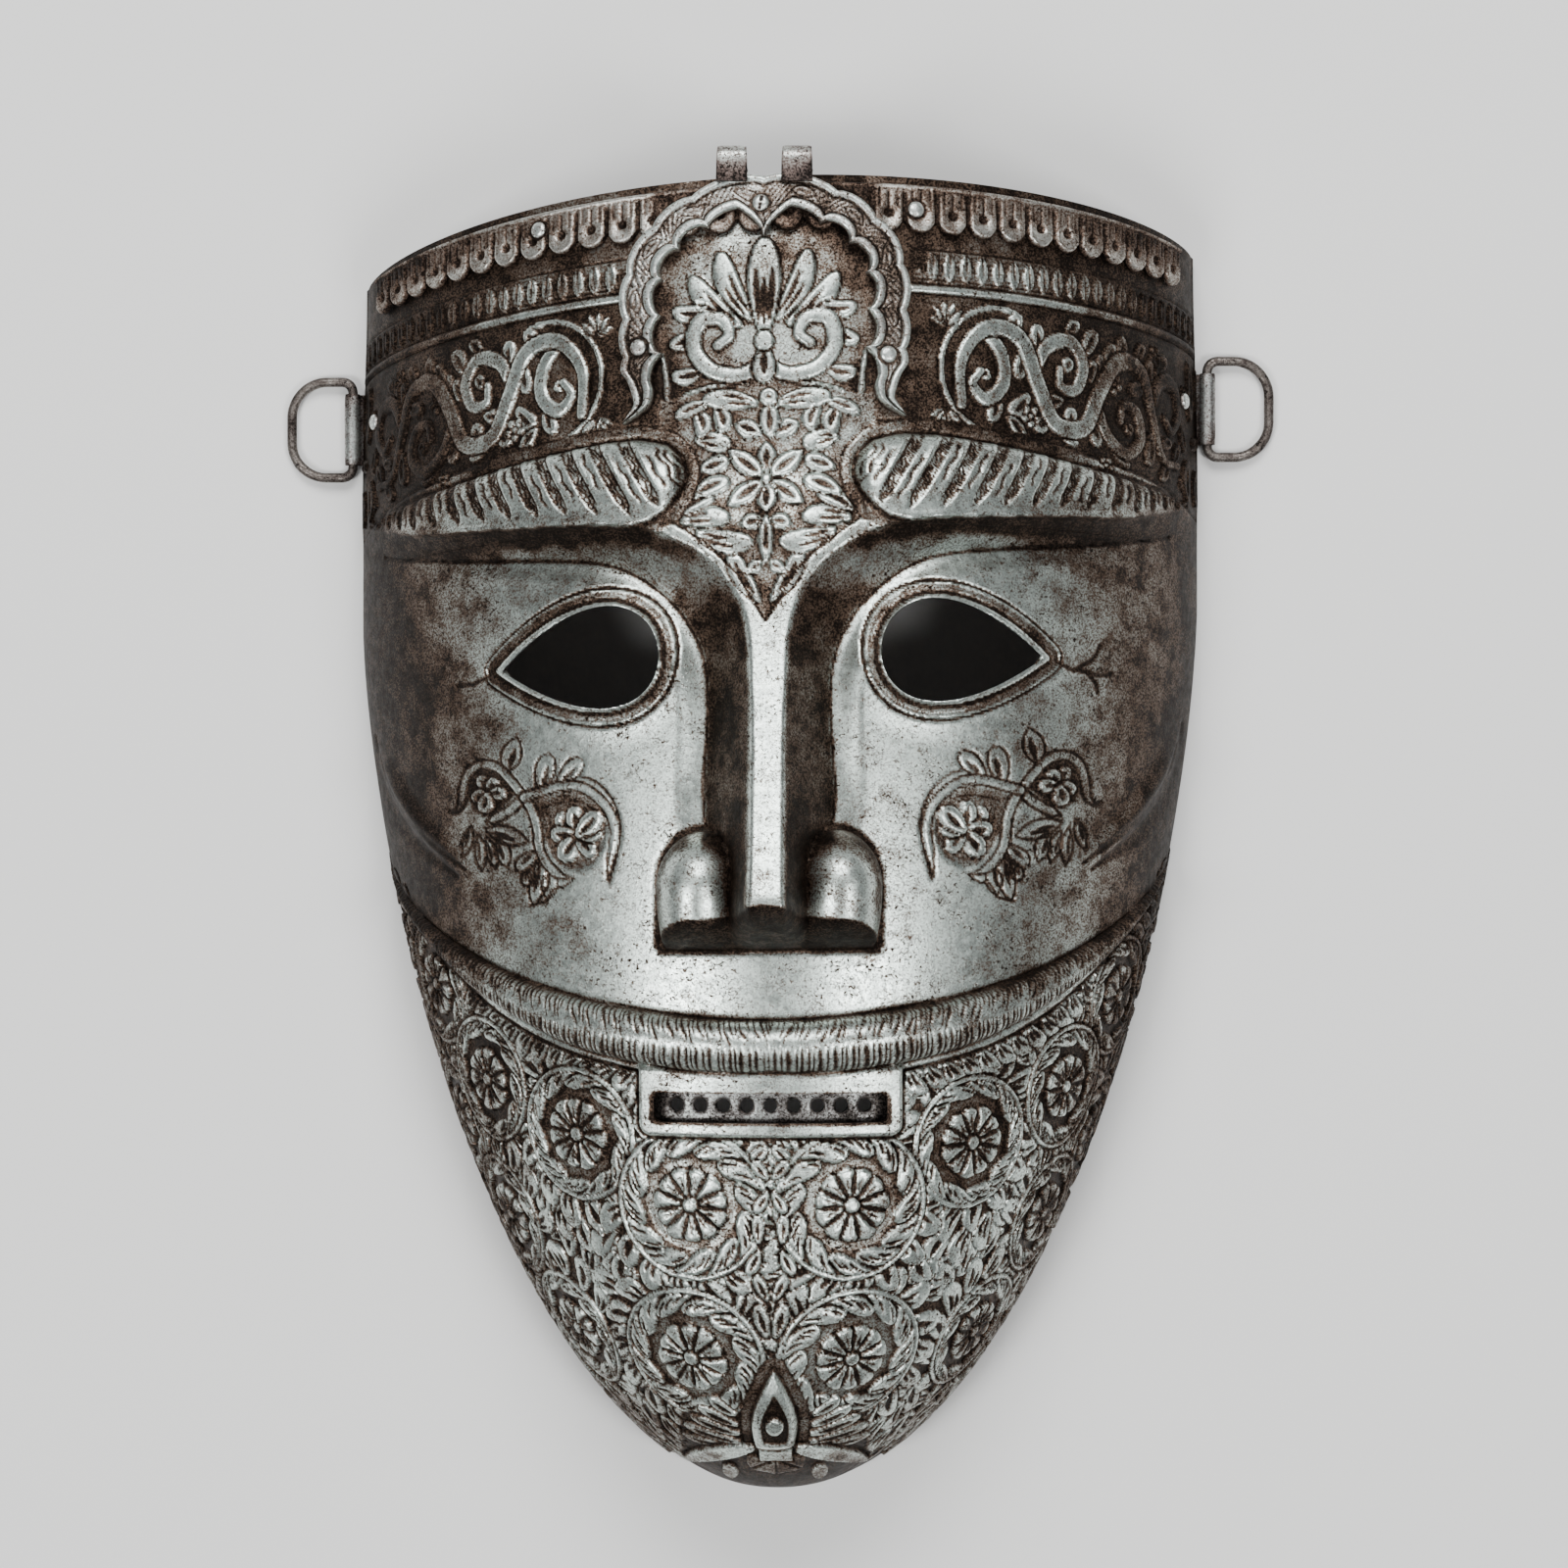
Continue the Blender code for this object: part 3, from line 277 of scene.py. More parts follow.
# ---- the face: how far each form stands out of the skin --------------------------------
# The raised middle of the face, on one side of the centre line, seen from the front: its
# edge runs along the brow's foot, turns down and becomes the edge of the nose's ridge.
PLATEAU = (
    # x      y      height over the skin
    (84.0,   64.8,   0.2),
    (79.0,   63.6,   1.2),
    (66.0,   60.9,   2.8),
    (48.0,   60.6,   3.6),
    (34.0,   60.4,   3.8),
    (25.5,   59.8,   3.6),
    (17.0,   57.4,   3.4),
    (10.6,   53.4,   3.2),
    (6.6,    48.6,   3.6),
    (4.4,    43.6,   4.6),
    (3.3,    38.6,   5.8),
    (2.9,    32.0,   7.6),
    (2.5,    20.0,  11.2),
    (2.45,   10.0,  14.6),
    (2.4,     1.0,  18.0),
    (2.4,    -6.0,  21.2),
    (2.4,   -10.6,  23.0),
    (2.4,   -20.0,  23.0),
)
# The crease at the foot of that form: under the brow, down beside the nose.
CREASE_LINE = (
    # x      y      depth
    (88.0,   61.0,   0.0),
    (76.0,   57.6,   0.6),
    (60.0,   55.8,   1.6),
    (46.0,   55.0,   2.2),
    (34.0,   53.9,   2.6),
    (26.4,   51.2,   3.0),
    (19.4,   45.8,   3.4),
    (15.2,   40.2,   3.4),
    (12.9,   34.6,   3.0),
    (12.0,   28.0,   2.6),
    (12.2,   20.0,   2.2),
    (12.8,   10.7,   1.6),
    (12.2,    3.6,   1.0),
    (11.0,   -2.0,   0.4),
    (10.6,   -8.0,   0.0),
    (10.6,  -20.0,   0.0),
)
BROW_FOOT = (
    # x      y
    (16.1,   69.0),
    (16.9,   65.9),
    (18.8,   62.8),
    (21.6,   60.6),
    (25.5,   59.7),
    (34.0,   60.3),
    (48.0,   60.6),
    (66.0,   60.9),
    (79.0,   63.6),
    (83.0,   64.6),
)
BROW_TOP = (
    # x      y
    (16.0,   70.0),
    (16.9,   73.0),
    (19.6,   75.6),
    (25.0,   76.8),
    (31.0,   76.6),
    (48.0,   73.9),
    (66.0,   69.6),
    (76.0,   66.9),
    (83.0,   65.0),
)
BROW_FADE = (74.0, 57.0)  # between these heights the middle of the forehead rises
BROW_HEIGHT = 4.6
CREASE_REACH = 6.0        # how far past the crease the skin still sinks
WING = {"x": 12.4, "y": -8.0, "half_x": 8.2, "half_y": 10.2, "half_below": 22.0, "height": 13.2}
NOSE_RIM = (
    # x      y
    (0.0,  -10.5),
    (1.8,  -10.8),
    (3.4,  -11.8),
    (5.2,  -13.2),
    (8.5,  -13.6),
    (12.5, -13.8),
    (15.4, -14.6),
    (17.8, -16.4),
    (19.6, -18.9),
    (20.6, -20.3),
)
NOSE_TIP_Y = -10.5
NOSE_FOOT_Y = -20.3
NOSE_HALF_WIDTH = 20.6
EYE = {"x": 36.6, "y": 35.2, "half_length": 15.6, "height": 12.7, "tilt": -5.0}
EYE_BULGE = {"half_x": 25.0, "half_y": 19.0, "height": 2.2}
MOUTH = {"y": -50.4, "half_width": 22.2, "half_height": 2.85, "corner": 0.9,
         "frame": 2.6, "frame_corner": 2.4, "raise": 1.2, "top": -42.0}
MOUSTACHE = (
    # p      q_top  q_foot  height
    (0.0,   161.4,  170.9,  5.0),
    (20.0,  161.5,  171.8,  5.0),
    (38.0,  161.9,  172.4,  4.6),
    (60.0,  162.5,  171.0,  3.8),
    (84.0,  162.4,  167.2,  2.4),
    (100.0, 161.6,  164.4,  1.2),
    (112.0, 160.6,  162.0,  0.3),
)
CHEEK_FOLD = {"x0": 80.5, "y0": 19.0, "x1": 58.5, "y1": -6.0, "bow": 2.5,
              "half": 3.0, "height": 1.4}
CHIN_BOSS = {"top": -101.6, "foot": -118.6, "half": 4.4, "height": 2.0}
ARCH = {"x": -1.2, "half_span": 23.6, "rise": 18.5, "spring_q": 22.5, "foot_q": 47.0}


class Line:
    """A smooth open line on one side of the face, with a value along it."""

    def __init__(self, table):
        points = round_curve(table, 90)
        self.points, self.value = points[:, :2], points[:, 2]

    def measure(self, x, y):
        """Signed distance (positive below or outside), and the value at the nearest point."""
        start, end = self.points[:-1], self.points[1:]
        best = np.full(x.shape, 1e9)
        signed = np.zeros(x.shape)
        value = np.zeros(x.shape)
        for (ax, ay), (bx, by), v0, v1 in zip(start, end, self.value[:-1], self.value[1:]):
            dx, dy = bx - ax, by - ay
            t = np.clip(((x - ax) * dx + (y - ay) * dy) / (dx * dx + dy * dy), 0.0, 1.0)
            ox, oy = x - ax - t * dx, y - ay - t * dy
            away = ox * ox + oy * oy
            closer = away < best
            best = np.where(closer, away, best)
            signed = np.where(closer, np.sign(dy * ox - dx * oy), signed)
            value = np.where(closer, v0 + (v1 - v0) * t, value)
        return np.sqrt(best) * -signed, value


PLATEAU_EDGE = Line(PLATEAU)
CREASE = Line(CREASE_LINE)


def flank_place(out_edge, out_crease):
    """Place on the slope between the form's edge, 0, and the crease at its foot, 1."""
    return np.clip(out_edge / np.maximum(out_edge - out_crease, 1e-3), 0.0, 1.0)


def centre_form(side, y):
    """The raised brows, the middle of the forehead and the nose's ridge as one form."""
    out_edge, height = PLATEAU_EDGE.measure(side, y)
    out_crease, depth = CREASE.measure(side, y)
    between = flank_place(out_edge, out_crease)
    slope = mix(height, -depth, 1.0 - (1.0 - between) ** 1.35)
    beyond = -depth * hump(out_crease, CREASE_REACH)
    form = np.where(out_edge <= 0.0, height, np.where(out_crease < 0.0, slope, beyond))
    return form * smooth(*BROW_FADE, y), out_edge


def blend_max(a, b, softness):
    """The larger of two heights, rounded where they cross."""
    return 0.5 * (a + b + np.sqrt((a - b) ** 2 + softness ** 2) - softness)


def brow_share(side, y):
    """Place across a brow: 0 at its top edge, 1 at its foot; below 0 away from the brows."""
    foot = table_curve(BROW_FOOT, 1, side)
    top = table_curve(BROW_TOP, 1, side)
    share = (top - y) / np.maximum(top - foot, 0.3)
    inside = (side > BROW_TOP[0][0]) & (side < BROW_TOP[-1][0])
    return np.where(inside, share, -1.0)


def brow_height(side, y):
    """A brow rises steeply from its top edge and its inner end, and is high down to its foot."""
    share = np.clip(brow_share(side, y), 0.0, 1.0)
    crown = np.sqrt(1.0 - (1.0 - share) ** 2.4)
    inner = np.sqrt(np.clip(1.0 - (1.0 - np.clip((side - 16.0) / 5.0, 0.0, 1.0)) ** 2, 0.0, 1.0))
    return BROW_HEIGHT * smooth(83.0, 64.0, side) * crown * inner


def nose_rim_y(side):
    """The nose's lower rim, from the tip along the wings and round their outside."""
    return table_curve(NOSE_RIM, 1, side)


def face_height(side, y):
    """Brows, nose and eye sockets over the bare skin, in front-view places."""
    rim_y = nose_rim_y(side)
    above = np.maximum(y, rim_y)
    height, out_edge = centre_form(side, above)
    height = np.where(out_edge < 0.0, np.maximum(height, brow_height(side, y)), height)
    ball = (1.0 - ((side - WING["x"]) / WING["half_x"]) ** 2
            - (np.maximum(above - WING["y"], 0.0) / WING["half_y"]) ** 2
            - (np.minimum(above - WING["y"], 0.0) / WING["half_below"]) ** 2)
    wing = WING["height"] * np.sqrt(np.clip(ball, 0.0, 1.0))
    height = np.where(wing > 0.0, blend_max(height, wing, 0.8), height)
    under = np.clip((y - NOSE_FOOT_Y) / np.maximum(rim_y - NOSE_FOOT_Y, 0.05), 0.0, 1.0)
    return np.where(y < rim_y, np.maximum(height, 0.0) * (1.0 - (1.0 - under) ** 1.5), height)


def eye_bulge(side, y):
    """The eyeball's low swell under the lids."""
    reach = np.hypot((side - EYE["x"]) / EYE_BULGE["half_x"],
                     (y - EYE["y"]) / EYE_BULGE["half_y"])
    return EYE_BULGE["height"] * hump(reach, 1.0)


def cheek_fold(side, y):
    """A lens-shaped fold on each cheek."""
    dx, dy = CHEEK_FOLD["x1"] - CHEEK_FOLD["x0"], CHEEK_FOLD["y1"] - CHEEK_FOLD["y0"]
    length = math.hypot(dx, dy)
    px, py = side - CHEEK_FOLD["x0"], y - CHEEK_FOLD["y0"]
    along = np.clip((px * dx + py * dy) / length ** 2, 0.0, 1.0)
    aside = (px * dy - py * dx) / length + CHEEK_FOLD["bow"] * np.sin(np.pi * along)
    return CHEEK_FOLD["height"] * np.sin(np.pi * along) * hump(aside, CHEEK_FOLD["half"])


def moustache_place(p, q):
    """Place across the moustache: -1 at its upper edge, 1 at its foot; and its height."""
    side = np.abs(p)
    top, foot, height = (table_curve(MOUSTACHE, k, side) for k in (1, 2, 3))
    return (q - (top + foot) / 2) / ((foot - top) / 2), height


def moustache_height(p, q):
    """The moustache's rounded bar over the bare skin."""
    place, height = moustache_place(p, q)
    return height * np.sqrt(np.clip(1.0 - np.abs(place) ** 2.4, 0.0, 1.0))


def mouth_distance(x, y, grow=0.0, corner=MOUTH["corner"]):
    """Distance outside the mouth window, or a larger one round it, negative inside."""
    dx = np.abs(x) - MOUTH["half_width"] - grow + corner
    dy = np.abs(y - MOUTH["y"]) - MOUTH["half_height"] - grow + corner
    outside = np.hypot(np.maximum(dx, 0.0), np.maximum(dy, 0.0))
    return outside + np.minimum(np.maximum(dx, dy), 0.0) - corner


def frame_distance(x, y):
    """Distance outside the frame round the mouth, which reaches up to the moustache."""
    return mouth_distance(x, np.minimum(y, MOUTH["y"]), MOUTH["frame"], MOUTH["frame_corner"])


def mouth_height(x, y):
    """The mouth's frame over the bare skin, up to the moustache."""
    frame = frame_distance(x, y)
    return MOUTH["raise"] * smooth(0.5, -0.5, frame) * smooth(MOUTH["top"], MOUTH["top"] - 1.0, y)


def chin_boss_half(y):
    """The chin drop's swell (0 to 1) and half width at height y: pointed above, wide below."""
    v = np.clip((y - CHIN_BOSS["foot"]) / (CHIN_BOSS["top"] - CHIN_BOSS["foot"]), 0.0, 1.0)
    swell = np.sqrt(np.clip(1.0 - v ** 1.7, 0.0, 1.0)) * smooth(-0.12, 0.12, v)
    above = np.clip((v - 0.36) / 0.64, 0.0, 1.0)
    below = np.clip((0.36 - v) / 0.36, 0.0, 1.0)
    half = CHIN_BOSS["half"] * (1.0 - above ** 1.5) * (1.0 - 0.22 * below ** 2)
    return swell * np.sin(np.pi * v) ** 0.35, half


def chin_boss_height(x, y):
    """The drop under the beard over the bare skin."""
    swell, half = chin_boss_half(y)
    across = np.clip(np.abs(x) / np.maximum(half, 0.05), 0.0, 1.0)
    return CHIN_BOSS["height"] * swell * np.sqrt(1.0 - across ** 2)


def form_height(x, y, p, q):
    """All forms of the face together over the bare skin. y is the front view's height."""
    height = np.zeros(np.broadcast(x, y, p, q).shape)
    side = np.abs(x)
    upper = y > NOSE_FOOT_Y - 1.0
    if upper.any():
        face = face_height(side[upper], y[upper])
        bulge = eye_bulge(side[upper], y[upper]) + cheek_fold(side[upper], y[upper])
        height[upper] = face + bulge * (face < 1.0)
    middle = (q > q_at(NOSE_FOOT_Y) - 10.0) & (q < q_at(MOUTH["y"]) + 12.0)
    if middle.any():
        lip = moustache_height(p[middle], q[middle])
        lip = np.maximum(lip, mouth_height(x[middle], y[middle]))
        height[middle] = np.maximum(height[middle], lip)
    chin = (y < -95.0) & (side < 8.0)
    if chin.any():
        height[chin] += chin_boss_height(x[chin], y[chin])
    return height


# ---- relief and patina on a grid over the skin -----------------------------------------
CHART_STEP = 0.2          # the step over which the chart's directions are measured


@functools.lru_cache(maxsize=None)
def tangent(p, q):
    """At a chart place: the bare point, the directions right and up, and the chart's slant.

    The slant is how far up and how far right one goes for 1 mm less of q."""
    here, normal = skin_at(np.float64(p), np.float64(q))
    right = skin_at(np.float64(p + CHART_STEP), np.float64(q))[0] - here
    right /= np.linalg.norm(right)
    up = np.cross(normal, right)
    lower = skin_at(np.float64(p), np.float64(min(q + CHART_STEP, Q_END)))[0]
    step = (here - lower) / CHART_STEP
    return here, right, up, float(step @ up), float(step @ right)


@functools.lru_cache(maxsize=None)
def chart_place(x, y):
    """The chart's p, q at a place of the front view, by Newton's method."""
    p, q = float(x), float(q_at(y))
    small, longest = 0.1, 8.0
    for _ in range(12):
        place = front_place(p, q)
        off_p, off_q = front_place(p + small, q), front_place(p, q + small)
        slope = np.stack([off_p - place, off_q - place], axis=1) / small
        step = np.linalg.solve(slope, np.array([x, y]) - place)
        p += float(np.clip(step[0], -longest, longest))
        q = float(np.clip(q + step[1], 0.0, Q_END - small))
    return p, q


def front_place(p, q):
    """The front view's x and height of a chart place."""
    point = skin_at(np.float64(p), np.float64(q))[0]
    return np.array([point[0], point[1] - section(q, 5) * point[0]])


class Relief:
    """An ornament's height (mm) and patina (0 bright, 1 dark, in places painted shade) on a grid."""

    EDGE = 0.16           # mm on each side of an outline in which a shape rises

    def __init__(self, shape):
        self.height = np.zeros(shape)
        self.patina = np.zeros(shape)

    def darken(self, block, patina):
        """Make the patina at least this dark."""
        self.patina[block] = np.maximum(self.patina[block], patina)

    def carve(self, block, share, depth, patina):
        """Cut down by depth, and darken, where share is 1."""
        self.height[block] -= depth * share
        self.darken(block, patina * share)

    def tint(self, block, share, patina):
        """Bring the patina to this value where share is 1."""
        self.patina[block] = mix(self.patina[block], patina, share)

    def level(self, block, share, height, patina):
        """Bring height and patina to these values where share is 1."""
        self.height[block] = mix(self.height[block], height, share)
        self.tint(block, share, patina)

    def emboss(self, block, away, top, floor=-0.6, moat=0.42, patina=0.0):
        """Raise a shape to top and sink a groove round it. away: mm outside its edge."""
        inside = smooth(self.EDGE, -self.EDGE, away)
        ring = bell(np.maximum(away, 0.0), moat) * (1.0 - inside)
        height, dark = self.height[block], self.patina[block]
        height = mix(height, np.minimum(height, floor), ring)
        self.height[block] = mix(height, top, inside)
        self.patina[block] = mix(np.maximum(dark, ring), patina, inside)

    def engrave(self, block, away, half, depth, patina=1.0):
        """Cut a groove where away (mm from its middle) is small."""
        self.carve(block, bell(away, half), depth, patina)

    def gouge(self, block, away, depth=0.34, patina=0.88):
        """Cut a wedge with clean sides where away (mm outside it) is negative."""
        self.carve(block, smooth(0.16, -0.14, away), depth, patina)

    def sink(self, block, away, depth, edge=0.25, patina=1.0):
        """Lower the ground inside a shape."""
        self.level(block, smooth(edge, -edge, away), -depth, patina)


class Field(Relief):
    """The relief of a grid over the skin."""

    def __init__(self, skin):
        super().__init__(skin.p.shape)
        self.rows, self.shares = skin.rows, skin.shares
        self.p, self.q, self.points = skin.p, skin.q, skin.bare
        self.x, self.y = skin.bare[..., 0], skin.front_y
        self.normal_z = skin.normal[..., 2]

    def near(self, p0, p1, q0, q1):
        """The block of the grid that covers these chart places, or None."""
        r0, r1 = np.searchsorted(self.rows, (q0, q1))
        if r0 >= r1:
            return None
        reach = reach_at(self.rows[r0:r1])
        low = min(p0 / reach.max(), p0 / reach.min())
        high = max(p1 / reach.max(), p1 / reach.min())
        c0, c1 = np.searchsorted(self.shares, (low, high))
        return (slice(r0, r1), slice(c0, c1)) if c0 < c1 else None

    def spot(self, p, q, reach, turn=0.0):
        """The block round a chart place, with each point's u to the right and v up, in mm.

        turn: degrees clockwise that v is turned from up the face."""
        if q + 3 * reach < self.rows[0] or q - 3 * reach > self.rows[-1]:
            return None
        here, right, up, squeeze, shear = tangent(p, q)
        dq = reach / max(squeeze, 0.3)
        dp = reach + abs(shear) * dq
        block = self.near(p - dp, p + dp, q - dq, q + dq)
        if block is None:
            return None
        offset = self.points[block] - here
        u, v = offset @ right, offset @ up
        c, s = math.cos(math.radians(turn)), math.sin(math.radians(turn))
        return block, u * c - v * s, u * s + v * c


def line_distance(u, v, path):
    """Distance to a path of (u, v) points, and the place along it from 0 to 1."""
    path = np.asarray(path, float)
    lengths = np.hypot(*np.diff(path, axis=0).T)
    starts = np.concatenate([[0.0], np.cumsum(lengths)])
    best, place = np.full(u.shape, 1e9), np.zeros(u.shape)
    for (au, av), (bu, bv), start, length in zip(path, path[1:], starts, lengths):
        du, dv = (bu - au) / length, (bv - av) / length
        t = np.clip((u - au) * du + (v - av) * dv, 0.0, length)
        away = (u - au - t * du) ** 2 + (v - av - t * dv) ** 2
        closer = away < best
        best = np.where(closer, away, best)
        place = np.where(closer, (start + t) / starts[-1], place)
    return np.sqrt(best), place


# ---- ornament: stamps --------------------------------------------------------------------
def leaf_half(t):
    """Half width of a leaf of width 2 along its length: slim at the foot, round at the tip."""
    foot = 0.28 + 0.72 * np.sin(np.pi / 2 * np.clip(t / 0.6, 0.0, 1.0))
    return np.where(t < 0.6, foot, np.sqrt(np.clip(1.0 - ((t - 0.6) / 0.4) ** 2, 0.0, 1.0)))


def almond_half(t):
    """Half width of an almond of width 2 along its length: pointed at both ends."""
    return np.sin(np.pi * np.clip(t, 0.0, 1.0)) ** 0.8


def leaf_places(u, v, foot, tip, width, outline, bend=0.0):
    """Place along a leaf from 0 to 1, distance aside of its middle and outside its edge."""
    du, dv = tip[0] - foot[0], tip[1] - foot[1]
    length = math.hypot(du, dv)
    du, dv = du / length, dv / length
    along = (u - foot[0]) * du + (v - foot[1]) * dv
    aside = (u - foot[0]) * dv - (v - foot[1]) * du
    t = np.clip(along / length, 0.0, 1.0)
    aside = aside - bend * length * np.sin(np.pi * t)
    away = np.maximum(np.abs(aside) - width / 2 * outline(t), np.maximum(along - length, -along))
    return t, aside, away


def leaf(field, found, foot, tip, width, bend=0.0, cuts=1, outline=leaf_half, top=0.05,
         patina=0.0, moat=0.42):
    """A raised leaf between two (u, v) places of a block, with gouged wedges."""
    block, u, v = found
    t, aside, away = leaf_places(u, v, foot, tip, width, outline, bend)
    swell = 0.25 * (1.0 - np.clip(2 * aside / width, -1, 1) ** 2)
    field.emboss(block, away, top + swell, patina=patina, moat=moat)
    for k in range(cuts):
        off = (k - (cuts - 1) / 2) * width / (cuts + 0.6) * (0.45 + 0.75 * t)
        low, high = (0.10, 0.70 - 0.12 * (k % 2)) if cuts > 1 else (0.14, 0.80)
        wedge = almond_half((t - low) / (high - low)) * width * (0.15 if cuts == 1 else 0.095)
        inside = (t > low) & (t < high) & (away < 0.0)
        field.gouge(block, only(inside, np.abs(aside - off) - wedge))


def table_leaves(field, found, table, grow=1.0, **style):
    """A leaf for each row of a table: its foot, its tip and its width."""
    for foot_u, foot_v, tip_u, tip_v, width in table:
        leaf(field, found, (foot_u, foot_v), (tip_u, tip_v), grow * width, **style)


# The sunk ground reaches this far past a rosette; ring and button are shares of its radius.
ROSETTE = {"ground": 1.7, "ring": 0.245, "button": 0.185, "petals": 10, "large": 6.5}


def rosette(field, p, q, radius, petals, spin):
    """A round flower in a sunk ring."""
    found = field.spot(p, q, radius + 3.5)
    if found is None:
        return
    block, u, v = found
    r, angle = np.hypot(u, v), np.arctan2(u, v) + spin
    field.sink(block, r - radius - ROSETTE["ground"], 0.7, patina=0.50)
    place = np.mod(angle * petals / (2 * np.pi), petals)
    number = np.floor(place)
    middle = 2 * np.abs(place - number - 0.5)
    vary = np.sin(2.7 * number + 9.0 * spin)
    edge = radius * (1.0 - 0.03 * vary - 0.085 * middle ** 2.5)
    top = 0.12 + 0.25 * hump(r - 0.66 * radius, 0.6 * radius) - 0.12 * middle ** 2
    field.emboss(block, r - edge, top, floor=-0.75)
    seam = (1.0 - middle) * np.pi * r / petals
    reach = np.clip((r / radius - 0.22) / 0.74, 0.0, 1.0)
    on_petal = (r > 0.24 * radius) & (r < 0.985 * radius)
    field.gouge(block, only(on_petal, seam - 0.16 - 0.36 * almond_half(reach)), 0.5, 0.95)
    part = np.clip((r / radius - 0.36) / (0.42 + 0.05 * vary), 0.0, 1.0)
    vein = middle * np.pi * r / petals - 0.36 * almond_half(part)
    in_vein = (part > 0.0) & (part < 1.0) & (vary > -0.75)
    field.gouge(block, only(in_vein, vein), 0.25, 0.65)
    field.engrave(block, r - ROSETTE["ring"] * radius, 0.3, 0.4)
    field.emboss(block, r - ROSETTE["button"] * radius, 0.34, floor=-0.3, moat=0.3)


def wreath(field, p, q, radius, inner, leaves, spin, way, seed):
    """A ring of curling leaves that grow inwards from a round stem."""
    found = field.spot(p, q, radius + 1.5)
    if found is None:
        return
    block, u, v = found
    r, angle = np.hypot(u, v), np.arctan2(u, v) + spin
    t = np.clip((radius - r) / (radius - inner), 0.0, 1.4)
    lean = 0.58 * (1.0 - (1.0 - np.clip(t, 0.0, 1.0)) ** 1.7) * 12.0 / radius
    place = np.mod((angle - way * lean) * leaves / (2 * np.pi), leaves)
    number = np.floor(place).astype(int)
    vary = np.random.default_rng(seed).uniform(0.0, 1.0, (leaves + 1, 4))[number]
    tip = 1.08 - 0.16 * vary[..., 0]
    width = 2 * np.pi * r / leaves
    across = (place - number - 0.5) * width
    part = np.clip(t / tip, 0.0, 1.0)
    fullness = 0.55 + 0.45 * np.sin(np.pi / 2 * np.clip(part / 0.55, 0.0, 1.0))
    fullness *= np.sqrt(np.clip(1.0 - (np.clip(part - 0.62, 0.0, 1.0) / 0.38) ** 2.4, 0.0, 1.0))
    lobe = 1.0 - 0.10 * (1.0 - np.abs(np.sin(np.pi * 2.1 * part)))
    away = np.abs(across) + 0.12 - width / 2 * fullness * lobe
    away = np.maximum(away, (t - tip) * (radius - inner))
    in_ring = (r < radius + 0.2) & (r > inner - 1.2)
    away = only(in_ring, away)
    ground = np.maximum(r - radius - 0.8, inner - 1.4 - r)
    field.sink(block, ground, 0.6, patina=0.60)
    swell = 0.32 * (1.0 - np.clip(2 * across / width, -1, 1) ** 2)
    field.emboss(block, away, 0.02 + swell, moat=0.34)
    for k, middle in enumerate((-0.24, 0.06, 0.30)):
        low = 0.14 + 0.1 * k
        high = low + 0.42 + 0.16 * vary[..., 1 + k % 3]
        along = np.clip((part - low) / (high - low), 0.0, 1.0)
        wedge = np.abs(across - way * middle * width * (0.5 + 0.6 * part))
        wedge = wedge - 0.40 * almond_half(along)
        inside = (along > 0.0) & (along < 1.0) & (away < -0.1)
        if k == 1:
            inside &= vary[..., 2] > 0.35
        field.gouge(block, only(inside, wedge), 0.36, 0.9)
    field.emboss(block, np.abs(r - radius) - 0.46, 0.18, moat=0.25)


def vine(field, found, path, half, taper, patina, top=0.12):
    """A raised stroke along a path of (u, v) places, thinner at its ends."""
    block, u, v = found
    away, t = line_distance(u, v, round_curve(path, 8 * len(path)))
    thick = half * (1.0 - taper[0] * smooth(0.3, 0.0, t) - taper[1] * smooth(0.6, 1.0, t))
    swell = 0.2 * (1.0 - np.clip(away / half, 0.0, 1.0) ** 2)
    field.emboss(block, away - thick, top + swell, patina=patina)


def ribbon(field, found, path, half):
    """A flat band bounded by two chased lines."""
    block, u, v = found
    away, t = line_distance(u, v, round_curve(path, 8 * len(path)))
    away = away + 0.85 * half * smooth(0.80, 1.0, t)
    on_band = smooth(half + 0.2, half - 0.2, away)
    field.level(block, on_band, 0.0, np.minimum(field.patina[block], 0.30))
    field.engrave(block, away - half, 0.26, 0.3, patina=0.9)


def outline_distance(x, y, outline):
    """Distance outside a closed outline of (x, y) places, negative inside it."""
    ends = np.roll(outline, -1, axis=0)
    inside = np.zeros(x.shape, bool)
    best = np.full(x.shape, 1e9)
    for (ax, ay), (bx, by) in zip(outline, ends):
        dx, dy = bx - ax, by - ay
        t = np.clip(((x - ax) * dx + (y - ay) * dy) / (dx * dx + dy * dy + 1e-12), 0.0, 1.0)
        best = np.minimum(best, (x - ax - t * dx) ** 2 + (y - ay - t * dy) ** 2)
        if dy != 0.0:
            inside ^= ((ay > y) != (by > y)) & (x < ax + (y - ay) * dx / dy)
    return np.sqrt(best) * np.where(inside, -1.0, 1.0)


def over_chart(half, q0, q1):
    """Give a paint function the block within half of the centre line, from q0 to q1."""
    def limit(paint):
        def limited(field):
            block = field.near(-half, half, q0, q1)
            if block:
                paint(field, block)
        return limited
    return limit


def over_front(x0, x1, y0, y1):
    """Give a paint function the block over part of the front view, with its x and heights."""
    def limit(paint):
        def limited(field):
            found = front_block(field, x0, x1, y0, y1)
            if found:
                paint(field, found)
        return limited
    return limit


